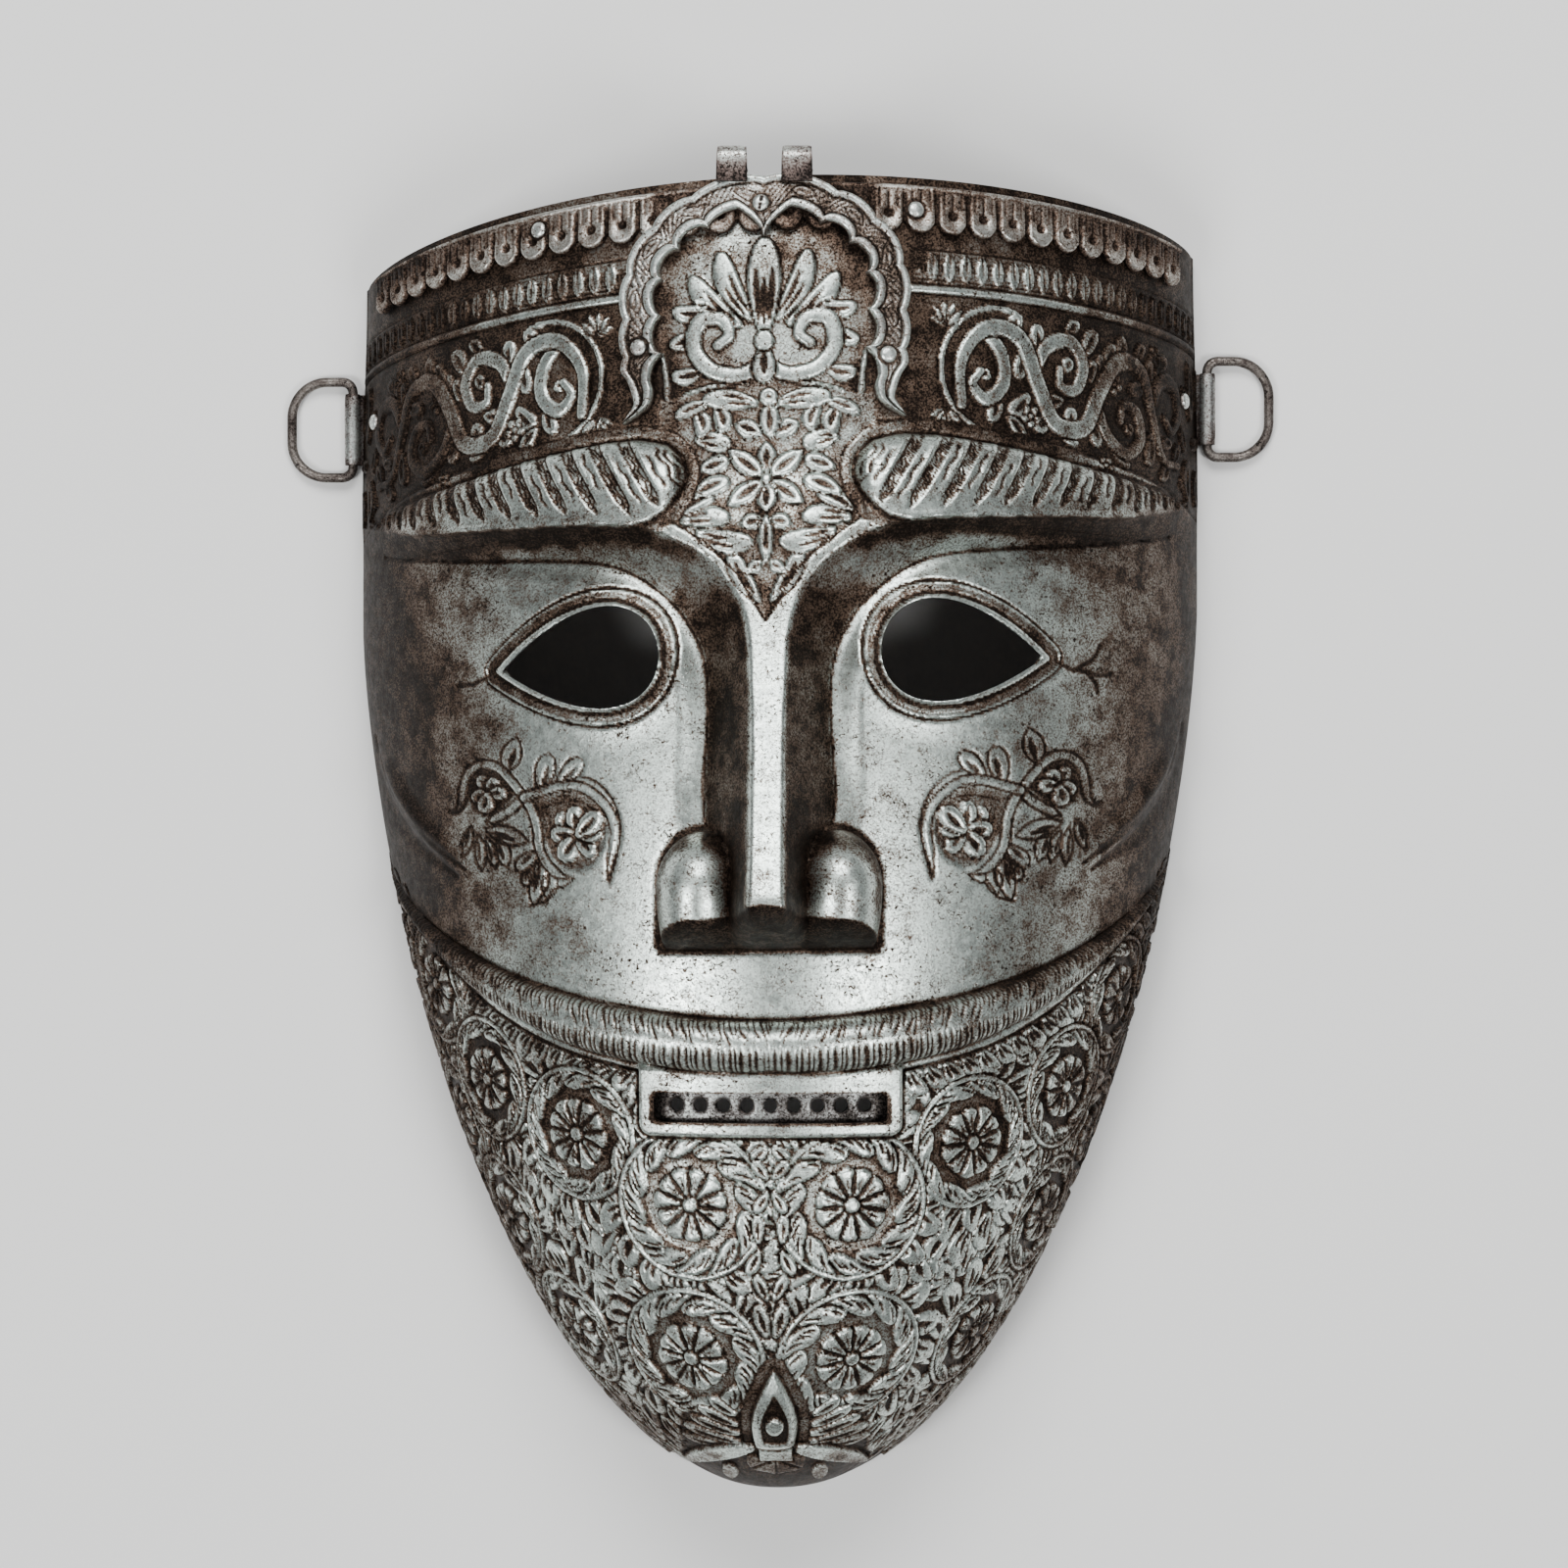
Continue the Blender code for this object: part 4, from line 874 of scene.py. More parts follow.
def front_block(field, x0, x1, y0, y1):
    """A block that covers part of the front view, with u as x and v as height."""
    low, high = chart_place(x0, y1), chart_place(x1, y0)
    q0 = min(chart_place(0.5 * (x0 + x1), y1)[1], low[1]) - 2.0
    q1 = max(chart_place(0.5 * (x0 + x1), y0)[1], high[1]) + 2.0
    block = field.near(min(low[0], chart_place(x0, y0)[0]) - 1.0,
                       max(high[0], chart_place(x1, y1)[0]) + 1.0, q0, q1)
    return block and (block, field.x[block], field.y[block])


def mirrored(found, middle, side):
    """The same block with u measured outwards from the middle."""
    block, u, v = found
    return block, side * (u - middle), v


def both_ways(found, middle):
    """The block mirrored for the left, then as it is for the right of the middle."""
    return mirrored(found, middle, -1), mirrored(found, middle, 1)


# ---- ornament: the band and the arch's ground --------------------------------------------
LEAF_ROW = {"q": 17.6, "height": 6.0, "pitch": 3.5, "width": 2.5, "lines_q": (14.2, 20.95)}
BAND_LINE = {"q": 22.0, "half": 0.75}
BAND_END = 113.0
BAND_FOOT = (
    # p      q of the band's lower edge
    (0.0,    48.0),
    (27.5,   48.2),
    (52.0,   49.4),
    (75.0,   51.4),
    (92.0,   54.0),
    (104.0,  57.6),
    (122.0,  60.0),
)
CARTOUCHE = {"p": 45.5, "q": 36.6, "radius": 12.2}
SCROLL_STEM = ((37.5, 43.5), (37.6, 34.5), (43.0, 28.4), (50.4, 29.6), (54.4, 37.2),
               (59.0, 44.8), (66.4, 44.6), (70.6, 37.0), (76.0, 30.4), (83.4, 31.0),
               (87.4, 38.6), (91.6, 46.4), (98.0, 46.8))
SCROLL_CURLS = (
    ((42.6, 29.0), (46.2, 33.0), (46.6, 38.6), (42.8, 42.0), (39.9, 39.4), (41.6, 36.6)),
    ((53.6, 35.6), (57.0, 30.2), (62.6, 28.6), (66.0, 32.6), (64.2, 37.4), (60.2, 37.4),
     (60.0, 34.2)),
    ((69.6, 39.2), (73.0, 45.2), (78.8, 48.0), (83.4, 44.2), (82.0, 39.0), (77.8, 38.2),
     (76.8, 41.6)),
    ((87.0, 36.8), (90.4, 31.6), (95.8, 31.4), (98.0, 36.0), (95.0, 40.0), (92.0, 38.0)),
)
SCROLL_LEAVES = (
    # foot p  q     tip p   q     width
    (48.6,   29.4,  50.2,  25.0,  2.6),
    (50.8,   32.0,  49.8,  37.4,  2.6),
    (52.4,   40.0,  48.0,  44.6,  3.0),
    (45.6,   41.0,  43.6,  46.4,  2.6),
    (55.4,   32.4,  54.4,  26.4,  2.8),
    (57.6,   43.0,  54.0,  47.0,  2.6),
    (64.0,   45.8,  62.6,  41.0,  2.8),
    (67.6,   42.0,  70.4,  48.0,  2.8),
    (66.6,   30.6,  69.4,  25.6,  3.0),
    (71.6,   35.4,  71.0,  29.6,  2.6),
    (78.6,   30.0,  76.4,  25.4,  2.8),
    (84.6,   33.2,  79.4,  35.0,  2.6),
    (85.6,   35.4,  86.4,  28.0,  2.8),
    (86.6,   42.0,  86.4,  49.4,  2.8),
    (93.6,   47.0,  91.0,  52.0,  2.6),
    (96.6,   46.8,  98.4,  42.0,  2.4),
    (61.4,   34.4,  62.8,  32.0,  2.2),
    (78.2,   42.0,  80.4,  43.4,  2.2),
    (41.8,   37.6,  43.6,  37.0,  2.0),
    (59.0,   45.6,  64.6,  48.6,  2.4),
    (74.6,   48.4,  79.6,  51.0,  2.4),
    (47.6,   44.8,  51.4,  49.2,  2.4),
    (60.8,   40.0,  56.8,  40.6,  2.4),
    (67.8,   35.6,  69.0,  31.4,  2.2),
    (72.4,   32.4,  74.6,  27.4,  2.4),
    (88.2,   30.6,  92.6,  27.0,  2.6),
    (90.6,   43.6,  94.8,  42.6,  2.2),
    (98.8,   38.0, 101.4,  42.8,  2.4),
    (61.6,   27.4,  64.8,  24.8,  2.2),
    (81.6,   29.4,  84.2,  25.8,  2.2),
)
SCROLL_FLOWERS = (
    # p      q      radius
    (53.0,   44.2,  2.3),
    (74.8,   34.6,  2.2),
    (72.6,   51.8,  2.0),
    (88.0,   27.0,  1.9),
    (101.0,  50.6,  2.1),
    (101.2,  32.0,  2.0),
)
# A fan of small leaves above and below the cartouche's inner end: q and which way it opens.
FAN = {"p": 34.8, "middles": ((28.6, -1), (44.8, 1)), "count": 5, "start": 200.0, "step": 28.0,
       "reach": 4.6}
# The drops and leaves between the cartouche and the edge.
BAND_DROPS = (
    # foot p  q     tip p   q     width
    (103.0,  25.0, 104.4,  36.0,  3.6),
    (103.6,  55.0, 102.8,  44.0,  4.2),
    (109.6,  25.0, 109.0,  33.0,  2.6),
    (109.4,  55.0, 108.6,  45.0,  2.8),
    (112.4,  38.0, 106.0,  40.0,  2.4),
)


def band_foot(p):
    """The chart's q of the band's lower edge."""
    return table_curve(BAND_FOOT, 1, np.abs(p))


def chart_block(field, side, p0, p1, q0, q1):
    """A block on one side of the band, with u outwards (mm of p) and v down (mm of q)."""
    low, high = sorted((side * p0, side * p1))
    block = field.near(low, high, q0, q1)
    return block and (block, side * field.p[block], field.q[block])


@over_chart(130.0, -1.0, 62.0)
def paint_band(field, block):
    """The dark band with its leaf row, raised line and the two cartouches."""
    p, q = field.p[block], field.q[block]
    side = np.abs(p)
    foot = band_foot(p)
    on_band = smooth(0.6, -0.4, q - foot)
    field.tint(block, on_band, 0.72)
    field.height[block] -= 0.35 * on_band
    hatch = bell(np.sin(np.pi * q / 0.95), 0.45)
    in_row = smooth(14.0, 14.6, q) * smooth(21.2, 20.8, q) * smooth(27.5, 28.2, side)
    field.height[block] -= 0.26 * hatch * in_row
    field.patina[block] += (0.40 * hatch - 0.22) * in_row
    number = np.round(side / LEAF_ROW["pitch"])
    across = side - number * LEAF_ROW["pitch"]
    t = (LEAF_ROW["q"] + LEAF_ROW["height"] / 2 - q) / LEAF_ROW["height"]
    away = np.abs(across) - LEAF_ROW["width"] / 2 * almond_half(t)
    away = only((t > 0) & (t < 1) & (side > 29.0) & (side < BAND_END), away)
    field.emboss(block, away, -0.02, moat=0.3, patina=0.30)
    vein = only(away < 0.1, np.abs(across))
    field.engrave(block, vein, 0.2, 0.3)
    for q_line in LEAF_ROW["lines_q"]:
        field.engrave(block, only(side > 27.5, q - q_line), 0.2, 0.25)
    away = only(side > 27.0, np.abs(q - BAND_LINE["q"]) - BAND_LINE["half"])
    field.emboss(block, away, 0.1, moat=0.35, patina=0.22)
    field.engrave(block, np.abs(q - foot + 0.6), 0.3, 0.3, patina=0.9)
    for side_sign in (-1, 1):
        found = chart_block(field, side_sign, 27.0, 118.0, 22.5, 60.0)
        if found:
            paint_cartouche(field, found)


def paint_cartouche(field, found):
    """A scrolling stem with leaves, curls and small flowers, on one side of the band."""
    block, p, q = found
    r = np.hypot(p - CARTOUCHE["p"], q - CARTOUCHE["q"])
    inner = (p < CARTOUCHE["p"] + 4.0) & (q > 23.6) & (q < band_foot(p) - 1.0)
    field.emboss(block, only(inner, np.abs(r - CARTOUCHE["radius"]) - 0.5), 0.12,
                 moat=0.35, patina=0.05)
    table_leaves(field, found, SCROLL_LEAVES, 1.25, bend=0.06, top=0.0, patina=0.18)
    for curl in SCROLL_CURLS:
        vine(field, found, curl, 1.42, (0.1, 0.5), 0.10, top=0.05)
    for flower_p, flower_q, radius in SCROLL_FLOWERS:
        for turn in np.radians(18.0 + 360.0 / 5 * np.arange(5)):
            tip = (flower_p + radius * math.cos(turn), flower_q + radius * math.sin(turn))
            leaf(field, found, (flower_p, flower_q), tip, 0.72 * radius, cuts=0, top=0.0,
                 patina=0.22, moat=0.3)
        field.emboss(block, np.hypot(p - flower_p, q - flower_q) - 0.5, 0.15, patina=0.1)
    vine(field, found, SCROLL_STEM, 1.75, (0.4, 0.5), 0.06, top=0.05)
    table_leaves(field, found, BAND_DROPS, bend=0.05, patina=0.35)
    for middle_q, way in FAN["middles"]:
        for k in range(FAN["count"]):
            turn = math.radians(FAN["start"] + FAN["step"] * k)
            reach = FAN["reach"] - 0.3 * abs(k - FAN["count"] // 2)
            tip = (FAN["p"] + reach * math.cos(turn), middle_q - way * reach * math.sin(turn))
            leaf(field, found, (FAN["p"], middle_q), tip, 1.5, cuts=0, outline=almond_half,
                 patina=0.3, moat=0.3)


# The palmette in the arch, on one side of its middle, in front-view places.
ARCH_LEAVES = (
    # foot x  y      tip x   y      width  cuts
    (2.2,    99.0,   8.6,  112.4,   4.6,   2),
    (4.4,    98.0,  14.2,  107.8,   4.4,   2),
    (10.6,  101.2,  17.6,  101.2,   3.6,   1),
    (13.4,   97.2,  18.0,   94.4,   3.2,   1),
    (11.6,   89.6,  17.8,   88.6,   3.4,   1),
    (1.6,    89.4,   9.4,   85.6,   3.2,   1),
    (9.0,    86.8,  15.4,   84.6,   2.6,   1),
)
ARCH_CURL = ((0.6, 90.4), (4.6, 88.6), (10.0, 89.6), (13.4, 94.0), (12.4, 99.0), (8.4, 99.4),
             (6.6, 96.4), (8.8, 94.4))
ARCH_SIDE_STEM = ((18.6, 83.0), (18.6, 88.0), (19.4, 93.0))


@over_front(-26.0, 24.0, 78.0, 124.0)
def paint_arch_ground(field, found):
    """A palmette with curling stems fills the arch."""
    block, x, y = found
    middle = ARCH["x"]
    field.height[block] -= 0.25 * smooth(0.0, 1.0, 20.0 - np.abs(x - middle))
    inner = smooth(21.0, 14.0, np.hypot(x - middle, 0.80 * (y - 97.0))) * smooth(83.0, 88.0, y)
    field.tint(block, inner, 0.24)
    for way in both_ways(found, middle):
        for foot_x, foot_y, tip_x, tip_y, width, cuts in ARCH_LEAVES:
            leaf(field, way, (foot_x, foot_y), (tip_x, tip_y), width, bend=0.08, cuts=cuts)
        vine(field, way, ARCH_CURL, 1.5, (0.1, 0.35), 0.02)
        vine(field, way, ARCH_SIDE_STEM, 0.62, (0.7, 0.4), 0.15)
    whole = mirrored(found, middle, 1)
    leaf(field, whole, (0.0, 96.0), (0.0, 115.0), 6.4, cuts=3)
    leaf(field, whole, (0.0, 94.5), (0.0, 86.8), 4.2)
    field.emboss(block, np.hypot(x - middle, y - 95.0) - 1.9, 0.35)


# ---- ornament: the field between the brows -----------------------------------------------
FIELD_X = -0.6
FIELD_OUTLINE = (
    # x      y
    (0.0,    86.6),
    (8.0,    86.4),
    (24.0,   83.6),
    (19.0,   77.5),
    (14.8,   70.5),
    (15.2,   65.0),
    (17.0,   60.7),
    (10.2,   56.0),
    (5.2,    50.6),
    (1.6,    44.4),
    (0.0,    41.6),
)
FIELD_LEAVES = (
    # foot x  y     tip x   y     width  bend
    (1.0,    45.0,   6.6,  54.8,  3.2,   0.04),
    (12.8,   58.2,   2.4,  56.0,  4.0,  -0.06),
    (15.6,   60.6,   6.6,  61.0,  3.8,   0.05),
    (16.0,   62.0,   9.6,  65.6,  3.2,   0.08),
    (13.8,   65.4,   7.0,  68.4,  3.4,   0.05),
    (12.8,   70.4,   7.2,  72.4,  3.2,   0.0),
    (13.6,   76.6,   6.8,  75.2,  3.6,   0.0),
    (9.8,    82.8,   8.2,  77.6,  3.2,   0.12),
    (14.0,   82.4,  12.2,  76.8,  3.2,   0.15),
    (11.0,   83.4,  17.6,  80.8,  2.4,  -0.05),
    (1.6,    82.9,  12.2,  84.2,  3.6,  -0.03),
    (0.9,    77.2,   6.2,  79.2,  3.4,   0.0),
    (0.6,    60.6,   4.6,  59.6,  3.0,   0.0),
    (0.6,    52.6,   3.4,  50.4,  2.2,   0.0),
)
BUTTON = {"x": 0.3, "y": 84.2, "radius": 1.7}
FLOWER_Y = 68.5
FLOWER = (
    # turn from up   length
    (0.0,            7.2),
    (52.0,           8.8),
    (126.0,          8.4),
    (180.0,          6.6),
    (234.0,          8.8),
    (308.0,          9.2),
)


def both_sides(outline):
    """A closed outline from the points of its one side."""
    return np.array([*outline, *((-x, y) for x, y in outline[-2:0:-1])])


@over_front(-20.0, 19.0, 40.0, 88.0)
def paint_field(field, found):
    """A flower between leaves on the sunk ground between the brows."""
    block, x, y = found
    ground = outline_distance(x - FIELD_X, y, both_sides(FIELD_OUTLINE))
    field.sink(block, ground, 0.6, patina=0.47)
    for way in both_ways(found, FIELD_X):
        for foot_x, foot_y, tip_x, tip_y, width, bend in FIELD_LEAVES:
            leaf(field, way, (foot_x, foot_y), (tip_x, tip_y), 1.1 * width, bend=bend, moat=0.34,
                 cuts=1 + (width > 3.5), outline=almond_half if foot_x < 1.0 else leaf_half)
    whole = mirrored(found, FIELD_X, 1)
    leaf(field, whole, (0.6, 76.2), (0.4, 83.6), 3.8, outline=almond_half)
    leaf(field, whole, (0.0, 61.6), (0.0, 52.0), 2.8, outline=almond_half)
    for turn, length in FLOWER:
        turn = math.radians(turn)
        start = (0.7 * math.sin(turn), FLOWER_Y + 0.7 * math.cos(turn))
        tip = (length * math.sin(turn), FLOWER_Y + length * math.cos(turn))
        leaf(field, whole, start, tip, 3.9, outline=almond_half)
    _, u, v = whole
    field.emboss(block, np.hypot(u, v - FLOWER_Y) - 0.95, 0.35, moat=0.3)
    button = np.hypot(u - BUTTON["x"], v - BUTTON["y"])
    field.emboss(block, button - BUTTON["radius"], 0.25)
    field.engrave(block, button, 0.5, 0.5)
    lower = only(y < 61.0, np.abs(ground - 0.15))
    field.engrave(block, lower, 0.24, 0.3)
    field.patina[block] *= mix(1.0, 0.86, smooth(0.3, -0.3, ground))


# ---- ornament: brows, nose and eyes --------------------------------------------------------
FLUTE = {"pitch": 6.1, "start": 19.4, "slant": 0.60}
# Lines chased along the flutes, in shares of the pitch.
FLUTE_EDGES = (
    # place   half    depth  patina
    (0.63,    0.040,  0.3,   0.95),
    (0.975,   0.040,  0.3,   0.90),
)
FLUTE_WAVES = (
    # place   half, of the wavy lines between the edges
    (0.74,    0.042),
    (0.87,    0.042),
)
LOBE_WAVES = (
    # place   half, on the plain lobe at a brow's inner end
    (0.90,    0.050),
    (0.66,    0.050),
    (0.40,    0.045),
)
BROW_OUTLINE = np.array([row[:2] for row in BROW_TOP] + [row[:2] for row in BROW_FOOT[::-1]])


@over_chart(112.0, 44.0, 74.0)
def paint_brows(field, block):
    """Slanting flutes with wavy chased lines, from the inner to the outer end of each brow."""
    side, y, p, q = np.abs(field.x[block]), field.y[block], np.abs(field.p[block]), field.q[block]
    share = brow_share(side, y)
    away = outline_distance(side, y, BROW_OUTLINE)
    strip = smooth(3.1, 2.7, away) * smooth(62.0, 56.0, side) * smooth(57.0, 60.5, y)
    strip *= smooth(-0.2, 0.1, away)
    field.level(block, strip, -0.25, 0.60)
    outer_line = only((y > 60.0) & (side < 55.0), away - 2.9)
    field.engrave(block, outer_line, 0.26, 0.25, patina=0.9)
    slant = FLUTE["slant"] * smooth(112.0, 50.0, p)
    place = (p + slant * (q - 57.0) - FLUTE["start"]) / FLUTE["pitch"]
    number = np.floor(place)
    part = place - number
    wave = 0.075 * np.sin(1.45 * q + 1.9 * number) + 0.020 * np.sin(3.9 * q + number)
    foot_share = 1.0 + 0.05 * hump(part - 0.28, 0.5)
    on_brow = smooth(0.15, -0.25, away) * (share > -0.5)
    on_brow *= smooth(foot_share, foot_share - 0.04, share)
    end = 0.86 - 0.16 * (np.abs(part - 0.80) / 0.2) ** 2
    fluted = on_brow * smooth(0.0, 0.15, place) * smooth(end + 0.03, end - 0.05, share)
    ridge = np.sin(np.pi * np.clip(part / 0.58, 0.0, 1.0))
    groove = smooth(0.60, 0.68, part) * smooth(1.0, 0.93, part)
    field.height[block] += fluted * (0.40 * ridge - 0.38 * groove)
    field.patina[block] -= 0.10 * on_brow * smooth(112.0, 60.0, p)
    shade = 0.06 + 0.12 * np.sin(2.6 * number) + 0.35 * smooth(70.0, 100.0, p)
    field.patina[block] += fluted * shade * groove
    for offset, half, depth, dark in FLUTE_EDGES:
        field.carve(block, bell(part - offset, half) * fluted, depth, dark)
    lobe = on_brow * (place <= 0.0)
    for waves, weight in ((FLUTE_WAVES, fluted), (LOBE_WAVES, lobe)):
        for offset, half in waves:
            line = bell(part - offset - wave, half) * weight
            line *= smooth(0.03, 0.12, share) * smooth(0.97, 0.88, share)
            field.carve(block, line, 0.32, 0.97)
    low = 0.16 + 0.1 * np.sin(2.1 * number)
    short = bell(part - 0.28 - 0.6 * wave, 0.048) * on_brow * (place > -0.9)
    short *= smooth(low, low + 0.08, share) * smooth(low + 0.55, low + 0.45, share)
    field.carve(block, short, 0.3, 0.9)
    lip = smooth(0.88, 0.94, share) * on_brow
    field.height[block] += 0.25 * lip
    field.tint(block, 0.9 * lip, 0.02)
    moat = bell(away - 0.35, 0.42) * ((side < 82.0) & (share > -0.9) | (side < 26.0))
    moat *= 1.0 - smooth(0.8, 1.0, share) * smooth(22.0, 26.0, side)
    field.carve(block, moat, 0.45, 0.97)


WING_MARGIN = 0.6         # the dark ring round a wing of the nose lies this far outside it


@over_chart(100.0, 44.0, 152.0)
def paint_face(field, block):
    """Chased lines and patina of the nose, the sockets and the lids, with painted shade round the
    nose and under the brows.
    """
    side, y = np.abs(field.x[block] - 0.3 * FIELD_X), field.y[block]
    out_edge, _ = PLATEAU_EDGE.measure(side, y)
    out_crease, _ = CREASE.measure(side, y)
    between = flank_place(out_edge, out_crease)
    flank_patina_and_shade = smooth(-0.01, 0.11, between) * smooth(1.0, 0.92, between)
    flank_patina_and_shade *= smooth(NOSE_FOOT_Y - 1.0, NOSE_FOOT_Y + 3.0, y) * smooth(86.0, 74.0, side)
    wing = np.hypot((side - WING["x"]) / (WING["half_x"] + WING_MARGIN),
                    np.maximum(y - WING["y"], 0.0) / (WING["half_y"] + WING_MARGIN))
    bulb = smooth(0.98, 0.55, wing)
    on_wing = (y < WING["y"] + WING["half_y"]) & (y > NOSE_FOOT_Y)
    # Painted shade: each wing of the nose darkens towards its rounded edge.
    field.patina[block] += 0.62 * smooth(0.42, 0.92, wing) * smooth(1.08, 1.0, wing) * on_wing
    # The nose's slopes darken, part patina and part painted shade; most low down, less on the wings.
    field.patina[block] += flank_patina_and_shade * mix(0.80, 0.30, smooth(42.0, 54.0, y)) * (1.0 - 0.85 * bulb)
    # Painted shade in the crease between each wing and the ridge.
    crease_shade = hump(side - 5.6, 2.2) * smooth(9.0, 4.0, y)
    crease_shade *= smooth(NOSE_TIP_Y - 4.0, NOSE_TIP_Y, y)
    field.patina[block] += 0.55 * crease_shade
    # Painted shadow under the brows' overhang, unevenly mottled.
    mottle = 0.8 + 0.2 * np.sin(0.55 * side + 1.3 * np.sin(0.31 * side)) * np.sin(0.9 * y)
    shade_under_brow = hump(out_edge - 1.6, 2.7) * smooth(50.0, 58.0, y) * smooth(84.0, 70.0, side)
    field.patina[block] += 0.75 * mottle * shade_under_brow
    # Painted shadow: the nose's underside is tinted nearly black.
    rim_y = nose_rim_y(side)
    shade_beneath_nose = smooth(0.25, -0.35, y - rim_y) * (y > NOSE_FOOT_Y - 0.4)
    shade_beneath_nose *= side < NOSE_HALF_WIDTH + WING_MARGIN
    field.tint(block, shade_beneath_nose, 1.1)
    drawn = (y > 2.6) & (side < 79.0)
    field.engrave(block, only(drawn, out_crease), 0.34, 0.35)
    outer_side = smooth(9.0, 12.5, side) * (y > NOSE_FOOT_Y)
    round_wing = bell(np.abs(wing - 1.0) * 8.5, 0.62) * outer_side
    field.carve(block, round_wing, 0.3, 0.95)
    foot_line = only(side < NOSE_HALF_WIDTH + 0.5, y - NOSE_FOOT_Y + 0.5)
    field.engrave(block, foot_line, 0.35, 0.3)


EYE_TAIL = ((54.5, 33.2), (58.0, 31.6), (61.5, 31.4))
# Three strokes that fan out from the tail of the right eye.
EYE_FLOURISH = (
    ((58.0, 31.6), (62.0, 33.6), (63.6, 36.4)),
    ((60.0, 31.4), (63.6, 30.6), (66.0, 31.0)),
    ((61.0, 31.0), (62.6, 29.2), (63.0, 27.4)),
)
EYE_RIM = (
    # from   to    height  patina, by the distance outside the opening
    (-0.5,   0.7,   0.45,  0.02),
    (0.7,    1.55, -0.45,  0.95),
    (1.55,   2.8,  -0.10,  0.50),
    (2.8,    3.25,  0.22,  0.08),
    (3.25,   3.75, -0.40,  0.95),
)


@over_chart(78.0, 70.0, 116.0)
def paint_eyes(field, block):
    """A lip, a groove and a chased line round each eye, with a flourish at its corner."""
    side, y = np.abs(field.x[block]), field.y[block]
    away = eye_distance(side, y)
    for start, end, height, patina in EYE_RIM:
        share = smooth(start - 0.14, start + 0.14, away) * smooth(end + 0.14, end - 0.14, away)
        field.level(block, share, height, patina)
    tail = line_distance(side, y, EYE_TAIL)[0]
    field.engrave(block, tail, 0.35, 0.35)
    right = field.x[block] > 0.0
    for path in EYE_FLOURISH:
        flourish = line_distance(side, y, round_curve(path, 12))[0]
        field.engrave(block, only(right, flourish), 0.3, 0.3)


# ---- ornament: the cheeks ----------------------------------------------------------------
SPRAY_RIBBONS = (
    ((47.9, 9.0), (50.8, 12.5), (53.4, 14.9), (56.7, 15.5), (59.4, 13.9), (60.5, 11.1),
     (61.0, 7.8), (62.4, 6.2), (63.8, 6.6)),
    ((47.9, 9.0), (50.0, 7.0), (52.8, 5.4), (55.6, 4.2)),
    ((47.9, 9.0), (46.3, 6.6), (45.1, 2.9), (44.7, -0.8), (43.1, -4.0), (40.6, -6.1),
     (38.2, -6.7)),
    ((47.9, 9.0), (44.7, 9.9), (40.6, 11.0), (36.5, 10.9), (33.3, 9.0), (30.8, 6.2),
     (29.6, 2.5), (30.2, -2.0), (31.0, -6.7)),
)
SPRAY_HEART = ((46.3, 7.8), (43.1, 9.0), (39.0, 9.8), (35.3, 9.4), (32.2, 7.0), (30.9, 3.3),
               (31.6, -0.8), (33.7, -4.0), (36.9, -5.4), (40.2, -4.4), (42.4, -2.0), (43.7, 1.7),
               (44.5, 4.9))
SPRAY_SMALL_HEART = ((49.6, 9.4), (51.6, 12.3), (54.1, 14.1), (56.9, 14.3), (58.8, 12.7),
                     (59.5, 9.8), (58.6, 6.8), (55.7, 5.3), (52.8, 6.6))
SPRAY_PETALS = (
    # tip x  y     width    of the lobed leaf in the large heart, from its foot
    (41.0,   5.6,  3.6),
    (37.6,   7.2,  3.6),
    (42.2,   1.9,  3.4),
    (40.2,  -3.2,  4.2),
    (33.6,  -2.2,  3.2),
    (32.2,   1.8,  2.6),
    (32.4,   5.9,  4.0),
)
PETAL_FOOT = (37.1, 1.3)
SMALL_PETALS = (
    (57.0,  13.3,  2.8),
    (53.6,  12.7,  2.8),
    (51.4,   9.8,  2.6),
    (58.6,   8.8,  2.8),
    (56.2,   6.0,  3.4),
)
SMALL_PETAL_FOOT = (55.3, 9.8)
SPRAY_LEAVES = (
    # foot x  y     tip x   y     width  round
    (44.5,  10.2,   42.6,  17.4,  4.0,   1),
    (41.0,  11.7,   36.0,  16.2,  3.4,   1),
    (51.6,  13.7,   49.2,  20.8,  4.2,   0),
    (55.9,   2.9,   46.9,   0.3,  3.6,   0),
    (53.2,   0.9,   51.2,  -4.6,  3.2,   0),
    (55.7,   1.3,   53.6,  -4.8,  2.4,   0),
    (57.3,   1.7,   56.7,  -5.4,  2.4,   0),
    (58.8,   3.4,   60.6,  -2.6,  2.2,   0),
    (45.1,  -1.6,   49.4,  -5.2,  3.2,   1),
    (46.3,  -4.4,   47.7,  -8.2,  2.4,   1),
    (43.9,  -2.8,   46.0, -12.0,  3.6,   0),
    (42.2,  -5.2,   43.1, -10.8,  3.2,   0),
)
SPRAY_LINES = (
    ((43.3, -11.2), (41.8, -8.6), (39.8, -8.3), (37.6, -6.7)),
    ((36.9, 13.1), (33.3, 11.9), (30.0, 8.2), (28.5, 3.3), (29.2, -1.6), (30.6, -7.3)),
    ((46.6, -12.0), (44.8, -11.6), (43.3, -11.2)),
)

# A dark crease beside each cheek and a finer one next to it: half widths and places.
FOLD_LINES = (
    (1.5, ((81.6, 22.0), (80.4, 14.0), (76.6, 6.0), (70.4, -0.6), (62.0, -6.4))),
    (0.8, ((80.6, 18.0), (77.4, 11.0), (72.0, 4.6), (65.4, -1.0), (60.0, -5.2))),
)


